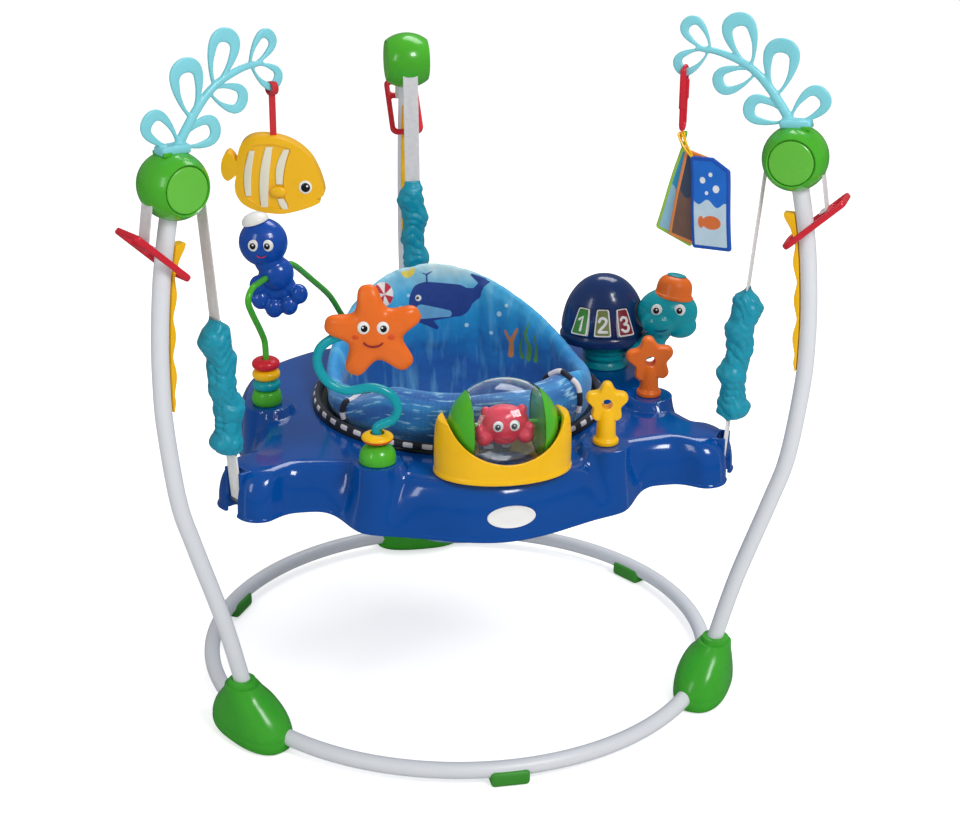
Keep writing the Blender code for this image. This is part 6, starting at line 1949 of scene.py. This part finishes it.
# %% [markdown]
# ## Starfish on its stalk
# The curled stalk is one bevelled curve that stands in a green dome, and a loose
# yellow disc turns round its foot.

# %% Stalk, disc and dome
TOY_Z = 0.4103
STALK_PLACE = station(*STALK_AT, TOY_Z)
DOME_R, DOME_H = 0.024, 0.0258
DOME_FOOT = 0.0044
dome = [(0.0, 0.0), (DOME_R - 0.0006, 0.0), (DOME_R, 0.0008), (DOME_R, DOME_FOOT)]
dome += [(DOME_R * c ** 0.8, DOME_FOOT + (DOME_H - DOME_FOOT) * s ** 0.95)
         for c, s in (polar(1.0, 4.5 * i) for i in range(1, 20))]
dome.append((0.0, DOME_H))
settle(spun(dome, 72), "stalk_dome", "tray", DOME_GREEN, "stalk_base", STALK_PLACE, 30)
DISC_LOW, DISC_HIGH = 0.0262, 0.0392


def disc_half(low, high, r_low, r_high):
    """A ring's section between two heights, with a bulging rim."""
    rim = [(0.0205 - 0.0085 * abs((z - 0.0327) / 0.0065) ** 2.4, z)
           for z in (blended(low, high, i / 8) for i in range(9))]
    section = [(0.0094, low), (r_low, low), *rim, (r_high, high), (0.0094, high)]
    return [*section, section[0]]


lower = spun(disc_half(DISC_LOW, DISC_LOW + 0.0062, 0.011, 0.02), 72)
settle(lower, "disc_underside", "disc", ORANGE_RED_ABS, "stalk_disc", STALK_PLACE, 40)
upper = spun(disc_half(DISC_LOW + 0.0063, DISC_HIGH, 0.02, 0.011), 72)
settle(upper, "disc_top", "disc", YELLOW_ABS, (), STALK_PLACE, 40)
STALK_LINE = [(0.0, 0.0), (0.0, 0.014), (0.02, 0.025), (0.026, 0.042), (0.016, 0.06), (-0.006, 0.068),
              (-0.036, 0.064), (-0.06, 0.074), (-0.073, 0.096), (-0.071, 0.118), (-0.056, 0.132),
              (-0.036, 0.138)]
STALK_R = 0.006
STAR_PIVOT = STALK_PLACE @ shifted(0, 0, 0.0323)
stalk_curve = smooth_line([(u, 0, z) for u, z in STALK_LINE], 10)
stalk = join(tube(stalk_curve, STALK_R, 28), ball(STALK_R, segments=24, rings=12))
settle(stalk, "curled_stalk", "star", TEAL_ABS, "star_stalk", STAR_PIVOT, 45)
print("stalk and disc")

# %% [markdown]
# The starfish is a smooth five-pointed outline carried from the front to the back on
# rings that first grow and then shrink, which gives the pillow.

# %% Starfish
def star_points(tip, valley, turn, round_by=11, share=0.935, steps=10):
    keys = []
    for i in range(5):
        for angle, radius in ((-round_by, tip * share), (0, tip), (round_by, tip * share), (36, valley)):
            keys.append(polar(radius, turn + 72 * i + angle))
    return curve_around(keys, steps)


def pillow(outline, thick, crown=0.002, flat=0.56, count=9):
    """A closed outline in (x, z), swollen along Y."""
    half = [(0.0, thick / 2 + crown)]
    half += [(scale, thick / 2 + crown * (1 - (scale / flat) ** 2)) for scale in (0.18, 0.36)]
    for i in range(count):
        c, s = polar(1.0, 90 - 90 * i / count)
        half.append((flat + (1 - flat) * max(c, 0.0) ** 0.85, thick / 2 * s))
    stations = [(scale, -y) for scale, y in half] + [(1.0, 0.0)] + half[::-1]
    return loft([[(x * scale, y, z * scale) for x, z in outline] if scale else [(0, y, 0)]
                 for scale, y in stations])


STAR_PLACE = STAR_PIVOT @ shifted(-0.002, 0, 0.142)
starfish = pillow(star_points(0.0625, 0.0365, 98.0), 0.026)
settle(starfish, "starfish_body", "star", ORANGE_ABS, "starfish", STAR_PLACE, 60)
make_eyes("star", "star", STAR_PLACE, (-0.0125, 0.0115), -0.014, 0.0105, 0.0078, glance=0.1)
make_smile("star", "star", STAR_PLACE, MAROON_ABS, (-0.0005, -0.0148, -0.0065),
           0.012, 0.0075, bow=0.0006, cord=(0.0011, 10), start=195, steps=16)
for word, x in (("left", -0.0225), ("right", 0.022)):
    cheek = ball((0.0042, 0.0012, 0.003), (x, -0.0137, -0.0015), 24, 12)
    settle(cheek, "star_cheek_" + word, "star", ORANGE_RED_ABS, (), STAR_PLACE)
print("starfish", 0.125, "across")

# %% [markdown]
# ## Link stars
# Two small upright stars with a round hole stand on flared feet. The star's plate, its
# foot and the hole are cut and melted into one moulding.

# %% Link stars
def make_link_star(width, turn):
    radius = width / 2
    middle = 0.084 - radius
    outline = star_points(radius * 1.06, radius * 0.74, turn, 12, 0.94, 6)
    star = place(pillow(outline, 0.0185, 0.0, 0.86), shifted(0, 0, middle))
    foot = spun([(0.0, 0.0), (0.0168, 0.0), (0.0172, 0.0006), (0.0172, 0.0052), (0.016, 0.007),
                 (0.014, 0.0082), (0.0132, 0.011), (0.0128, 0.016), (0.0122, middle - 0.016),
                 (0.011, middle - 0.008), (0.0, middle - 0.004)], 48)
    return carve(fuse([star, foot], 0.001, 4), rod(0.007, 0.05, (0, 0, middle), tilt=(90, 0)))


for word, at, width, turn, finish in (("yellow", YELLOW_STAR_AT, 0.054, 90.0, YELLOW_ABS),
                                      ("orange", ORANGE_STAR_AT, 0.064, 98.0, ORANGE_ABS)):
    settle(make_link_star(width, turn), word + "_link_star", "tray", finish,
           "link_star_" + word, station(*at, TOY_Z), 50)
print("two link stars")

# %% [markdown]
# ## Beads on a wire
# A green wire rises from the left, bends over the seat's side and comes down behind.
# Three beads slide on its upright part and a sea creature turns on its top.

# %% Wire and beads
WIRE_START, WIRE_END = Vector(WIRE_AT), Vector((-0.125, 0.23))
SPAN = (WIRE_END - WIRE_START).length
HEADING = math.degrees(math.atan2(WIRE_END.y - WIRE_START.y, WIRE_END.x - WIRE_START.x))
WIRE_PLACE = station(*WIRE_START, TOY_Z, HEADING)
WIRE_TOP = 0.1757
STRAIGHT = 0.0833
WIRE_KEYS = [
    (0, 0.01), (0, STRAIGHT / 2), (0, STRAIGHT), (-0.01, STRAIGHT + 0.022), (-0.034, WIRE_TOP - 0.036),
    (-0.044, WIRE_TOP - 0.016), (-0.034, WIRE_TOP - 0.003), (-0.012, WIRE_TOP), (0.066, WIRE_TOP),
    (0.094, WIRE_TOP - 0.006), (0.15, WIRE_TOP - 0.044), (0.205, WIRE_TOP - 0.084), (0.24, WIRE_TOP - 0.12),
    (SPAN, 0.02), (SPAN, -0.0117),
]
bent = tube(smooth_line([(u, 0, z) for u, z in WIRE_KEYS], 10), 0.0043, 20)
base = spun([(0.0, 0.0), (0.0192, 0.0), (0.02, 0.0008), (0.0208, 0.006), (0.0204, 0.01), (0.0188, 0.016),
             (0.0172, 0.019), (0.015, 0.02), (0.0, 0.02)], 64)
foot = spun([(0.0, 0.0), (0.0155, 0.0), (0.016, 0.0006), (0.0152, 0.008), (0.012, 0.0125), (0.008, 0.0158),
             (0.0, 0.016)], 48)
place(foot, shifted(SPAN, 0, -0.012))
settle(join(bent, base, foot), "bent_wire", "tray", DOME_GREEN, "wire_arch", WIRE_PLACE, 40)
BEAD_H = 0.0145
rim = [(0.019 - 0.0055 * abs(c) ** 2.6, BEAD_H / 2 * (1 - c))
       for c, s in (polar(1.0, 11.25 * i) for i in range(17))]
bead_section = [(0.0051, 0.0006), (0.0058, 0.0), *rim, (0.0058, BEAD_H), (0.0051, BEAD_H - 0.0006)]
for k, (word, body, finish) in enumerate((("teal", "bead_low", TEAL_ABS),
                                          ("yellow", "bead_middle", YELLOW_ABS),
                                          ("red", "bead_high", RED_ABS))):
    bead = spun([*bead_section, bead_section[0]], 64)
    settle(bead, "bead_ring_" + word, body, finish, "bead_" + word,
           WIRE_PLACE @ shifted(0, 0, 0.0203 + k * (BEAD_H + 0.0003)), 40)
print("wire and three beads")

# %% [markdown]
# The creature on the wire is a plain one: a round head with a pale cap, a body and
# curled arms, all balls melted together. The wire passes through a bore in its body.

# %% Sea creature
CREATURE = WIRE_PLACE @ shifted(0.027, 0, WIRE_TOP) @ turned(TOY_YAW - HEADING)
parts = [ball((0.024, 0.0215, 0.024), (0.006, 0, 0.002)), ball((0.033, 0.029, 0.033), (-0.01, 0, 0.046)),
         ball((0.02, 0.019, 0.02), (-0.003, 0, 0.02))]
for x, z, reach_x, reach_z in ((-0.016, -0.034, -0.007, 0.002), (0.002, -0.046, 0.002, 0.0),
                               (0.022, -0.042, 0.006, 0.002), (0.036, -0.026, 0.004, 0.005),
                               (-0.018, -0.014, -0.004, 0.004)):
    middle = (blended(0.006, x, 0.5), 0, blended(-0.004, z, 0.5))
    parts += [ball((0.0125, 0.0115, 0.014), (x, -0.003, z)), ball((0.011, 0.0105, 0.012), middle),
              ball((0.007, 0.0075, 0.007), (x + reach_x, -0.006, z + reach_z))]
bore = place(rod(0.0051, 0.12, sides=32, tilt=(0, 90)), turned(HEADING - TOY_YAW))
creature = carve(fuse(parts, 0.0012, 5), bore)
settle(creature, "sea_creature", "octopus", OCTOPUS_BLUE, "octopus", CREATURE, 60)
cap = spun([(0.0, 0.0), (0.0165, 0.0), (0.0182, 0.0008), (0.0186, 0.003), (0.0172, 0.007), (0.013, 0.011),
            (0.007, 0.0132), (0.0, 0.0138)], 48)
settle(cap, "creature_cap", "octopus", WHITE_ABS, (),
       CREATURE @ shifted(-0.019, 0, 0.0735) @ turned(-16, "Y"), 40)
make_eyes("creature", "octopus", CREATURE, (-0.02, -0.001), -0.0265, 0.049, 0.0075)
make_smile("creature", "octopus", CREATURE, RED_ABS, (-0.01, -0.0278, 0.037), 0.0065, 0.0045)
print("sea creature")

# %% [markdown]
# ## Turtle
# The shell is a turned dome, pressed to an oval, on a column with grooves.

# %% Turtle's shell and column
TURTLE = station(0.236, 0.098, 0.3983)
RISE, SHELL_R, SHELL_TALL, SQUASH = 0.038, 0.063, 0.1, 0.8
column = spun([(0.0, 0.0), (0.033, 0.0), (0.0338, 0.001), (0.0322, 0.007), (0.03, 0.0098), (0.0302, 0.0122),
               (0.0328, 0.0142), (0.0332, 0.017), (0.0306, 0.0192), (0.0308, 0.0216), (0.034, 0.0238),
               (0.0346, 0.0268), (0.032, 0.029), (0.035, 0.0325), (0.042, 0.0362), (0.0448, 0.0376),
               (0.0, 0.0376)], 72)
settle(column, "turtle_column", "tray", TEAL_ABS, (), TURTLE, 35)
dome = [(0.93, 0.0), (0.965, 0.012), (0.985, 0.045), (1.0, 0.09), (0.992, 0.125), (0.965, 0.15),
        (0.958, 0.175),
        (0.972, 0.21), (0.965, 0.28), (0.935, 0.4), (0.865, 0.56), (0.76, 0.7), (0.62, 0.82),
        (0.46, 0.91), (0.28, 0.968), (0.12, 0.992)]
outline = [(0.0, 0.0),
           *[(p.x * SHELL_R, p.z * SHELL_TALL) for p in smooth_line([(r, 0, z) for r, z in dome], 4)],
           (0.0, SHELL_TALL)]
shell = place(spun(outline, 96), shifted(-0.004, 0, RISE) @ Matrix.Diagonal((1, SQUASH, 1, 1)))
HEAD_AT = Vector((0.086, -0.026, RISE + 0.052))
carve(shell, ball((0.048, 0.038, 0.038), HEAD_AT, 48, 24))
print("turtle's shell", len(shell.data.polygons), "faces")

# %% [markdown]
# Three number keys lie in pockets cut into the shell's front. A numeral is a line of
# strokes with round ends, pressed flat.

# %% Number keys
def key_outline(shrink):
    """A rounded trapezoid in (right, up)."""
    low, high, half = 0.0126 - shrink, 0.0088 - shrink, 0.0198 - shrink
    corners = [(-low, -half), (low, -half), (high, half), (-high, half)]
    line = []
    for k, (x, z) in enumerate(corners):
        for other, share in ((k - 1, 0.14), (k, 0.0), ((k + 1) % 4, 0.14)):
            ox, oz = corners[other]
            pull = 0.94 if share == 0.0 else 1.0
            line.append((blended(x, ox, share) * pull, blended(z, oz, share) * pull))
    return curve_around(line, 4)


NUMERALS = [
    [[(-0.0034, 0.0046), (0.0008, 0.0086), (0.0008, -0.0088)]],
    [[(-0.0046, 0.0042), (-0.003, 0.0076), (0.0004, 0.0088), (0.004, 0.0066), (0.0038, 0.0028),
      (0.0012, -0.0012), (-0.0024, -0.005), (-0.0048, -0.0086)], [(-0.0048, -0.0087), (0.005, -0.0087)]],
    [[(-0.0044, 0.006), (-0.0012, 0.0088), (0.003, 0.0076), (0.0038, 0.0044), (0.0018, 0.0012),
      (-0.0012, 0.0002)],
     [(-0.0012, 0.0002), (0.0028, -0.0008), (0.0046, -0.004), (0.003, -0.0078), (-0.001, -0.009),
      (-0.0048, -0.0064)]],
]
OUTWARD = Matrix(((0, 0, -1, 0), (1, 0, 0, 0), (0, -1, 0, 0), (0, 0, 0, 1)))
STROKE_R = 0.002
KEYS = [("1", LEAF_ABS, "green_plastic"), ("2", OLIVE_ABS, "olive_plastic"),
        ("3", MAROON_ABS, "dark_red_plastic")]
for i, (n, finish, slot_name) in enumerate(KEYS):
    azimuth = -124.0 + 30.0 * i
    x, y = polar(0.93 * SHELL_R, azimuth)
    spot = shifted(x - 0.004, SQUASH * y, RISE + 0.4 * SHELL_TALL)
    key_at = spot @ turned(azimuth * 0.94 - 4) @ turned(63, "Y") @ OUTWARD
    carve(shell, place(plate(key_outline(-0.0009), 0.02), key_at @ shifted(0, -0.0047, 0)))
    rim = place(plate(key_outline(0.0), 0.0066, edge=0.0008), shifted(0, 0.0002, 0))
    settle(rim, "key_rim_" + n, "button_" + n, WHITE_ABS, "number_button_" + n, TURTLE @ key_at,
           40)
    face = place(plate(key_outline(0.0018), 0.004, edge=0.0005), shifted(0, -0.0015, 0))
    settle(face, "key_panel_" + n, "button_" + n, finish, (), TURTLE @ key_at, 40)
    strokes = []
    for line in NUMERALS[i]:
        points = [(u * 1.15, 0, v * 1.15) for u, v in line]
        strokes.append(tube(smooth_line(points, 8) if len(points) > 3 else points, STROKE_R, 12))
        strokes += [ball(STROKE_R, end, 16, 8) for end in (points[0], points[-1])]
    numeral = place(join(*strokes), shifted(0, -0.0035, -0.003) @ Matrix.Diagonal((1, 0.3, 1, 1)))
    settle(numeral, "numeral_" + n, "button_" + n, WHITE_ABS, (), TURTLE @ key_at, 60)
settle(shell, "turtle_shell_dome", "tray", NAVY_ABS, "turtle_shell", TURTLE, 40)
print("three number keys")

# %% [markdown]
# The head is a few balls melted together, and a plain cap sits on it.

# %% Turtle's head and cap
HEAD = TURTLE @ shifted(*HEAD_AT)
NECK = [(0.046, RISE - 0.009), (0.058, RISE - 0.002), (0.07, RISE + 0.01), (0.078, RISE + 0.024)]
lumps = [ball((0.0435, 0.0345, 0.0345), HEAD_AT),
         ball((0.026, 0.02, 0.019), HEAD_AT + Vector((-0.014, -0.02, -0.009))),
         ball((0.024, 0.022, 0.018), HEAD_AT + Vector((0.018, -0.008, -0.018)))]
lumps += [ball((0.018 - 0.001 * k, 0.018, 0.018), (x, -0.026, z), 24, 12) for k, (x, z) in enumerate(NECK)]
settle(fuse(lumps, 0.0013), "turtle_head", "tray", TEAL_ABS, "turtle_body", TURTLE, 60)
make_eyes("turtle", "tray", HEAD, (-0.0185, 0.0145), -0.03, 0.0125, 0.008)
make_smile("turtle", "tray", HEAD, NAVY_ABS, (-0.013, -0.039, -0.012), 0.011, 0.005,
           bow=0.0, curl=0.003, cord=(0.0008, 8))
CAP_AT = HEAD @ shifted(0.0075, 0.003, 0.024) @ turned(9, "Y") @ turned(-7, "X")
crown = [(0.0, -0.004), (0.027, -0.004), (0.0286, -0.003), (0.0292, -0.001), (0.0286, 0.0012),
         (0.0266, 0.0026), (0.0258, 0.005), (0.0256, 0.01), (0.025, 0.015), (0.0236, 0.0195),
         (0.0205, 0.0238), (0.0165, 0.0268), (0.011, 0.0292), (0.0, 0.03)]
settle(spun(crown, 72), "turtle_cap_crown", "tray", ORANGE_ABS, "turtle_cap", CAP_AT, 35)
button = ball((0.014, 0.014, 0.0028), (0, 0, 0.029), 32, 12)
settle(button, "turtle_cap_button", "tray", TEAL_ABS, (), CAP_AT, 60)
print("turtle's head and cap")

# %% [markdown]
# ## The end
# The last step leaves nothing selected.

# %% Finish
begin()
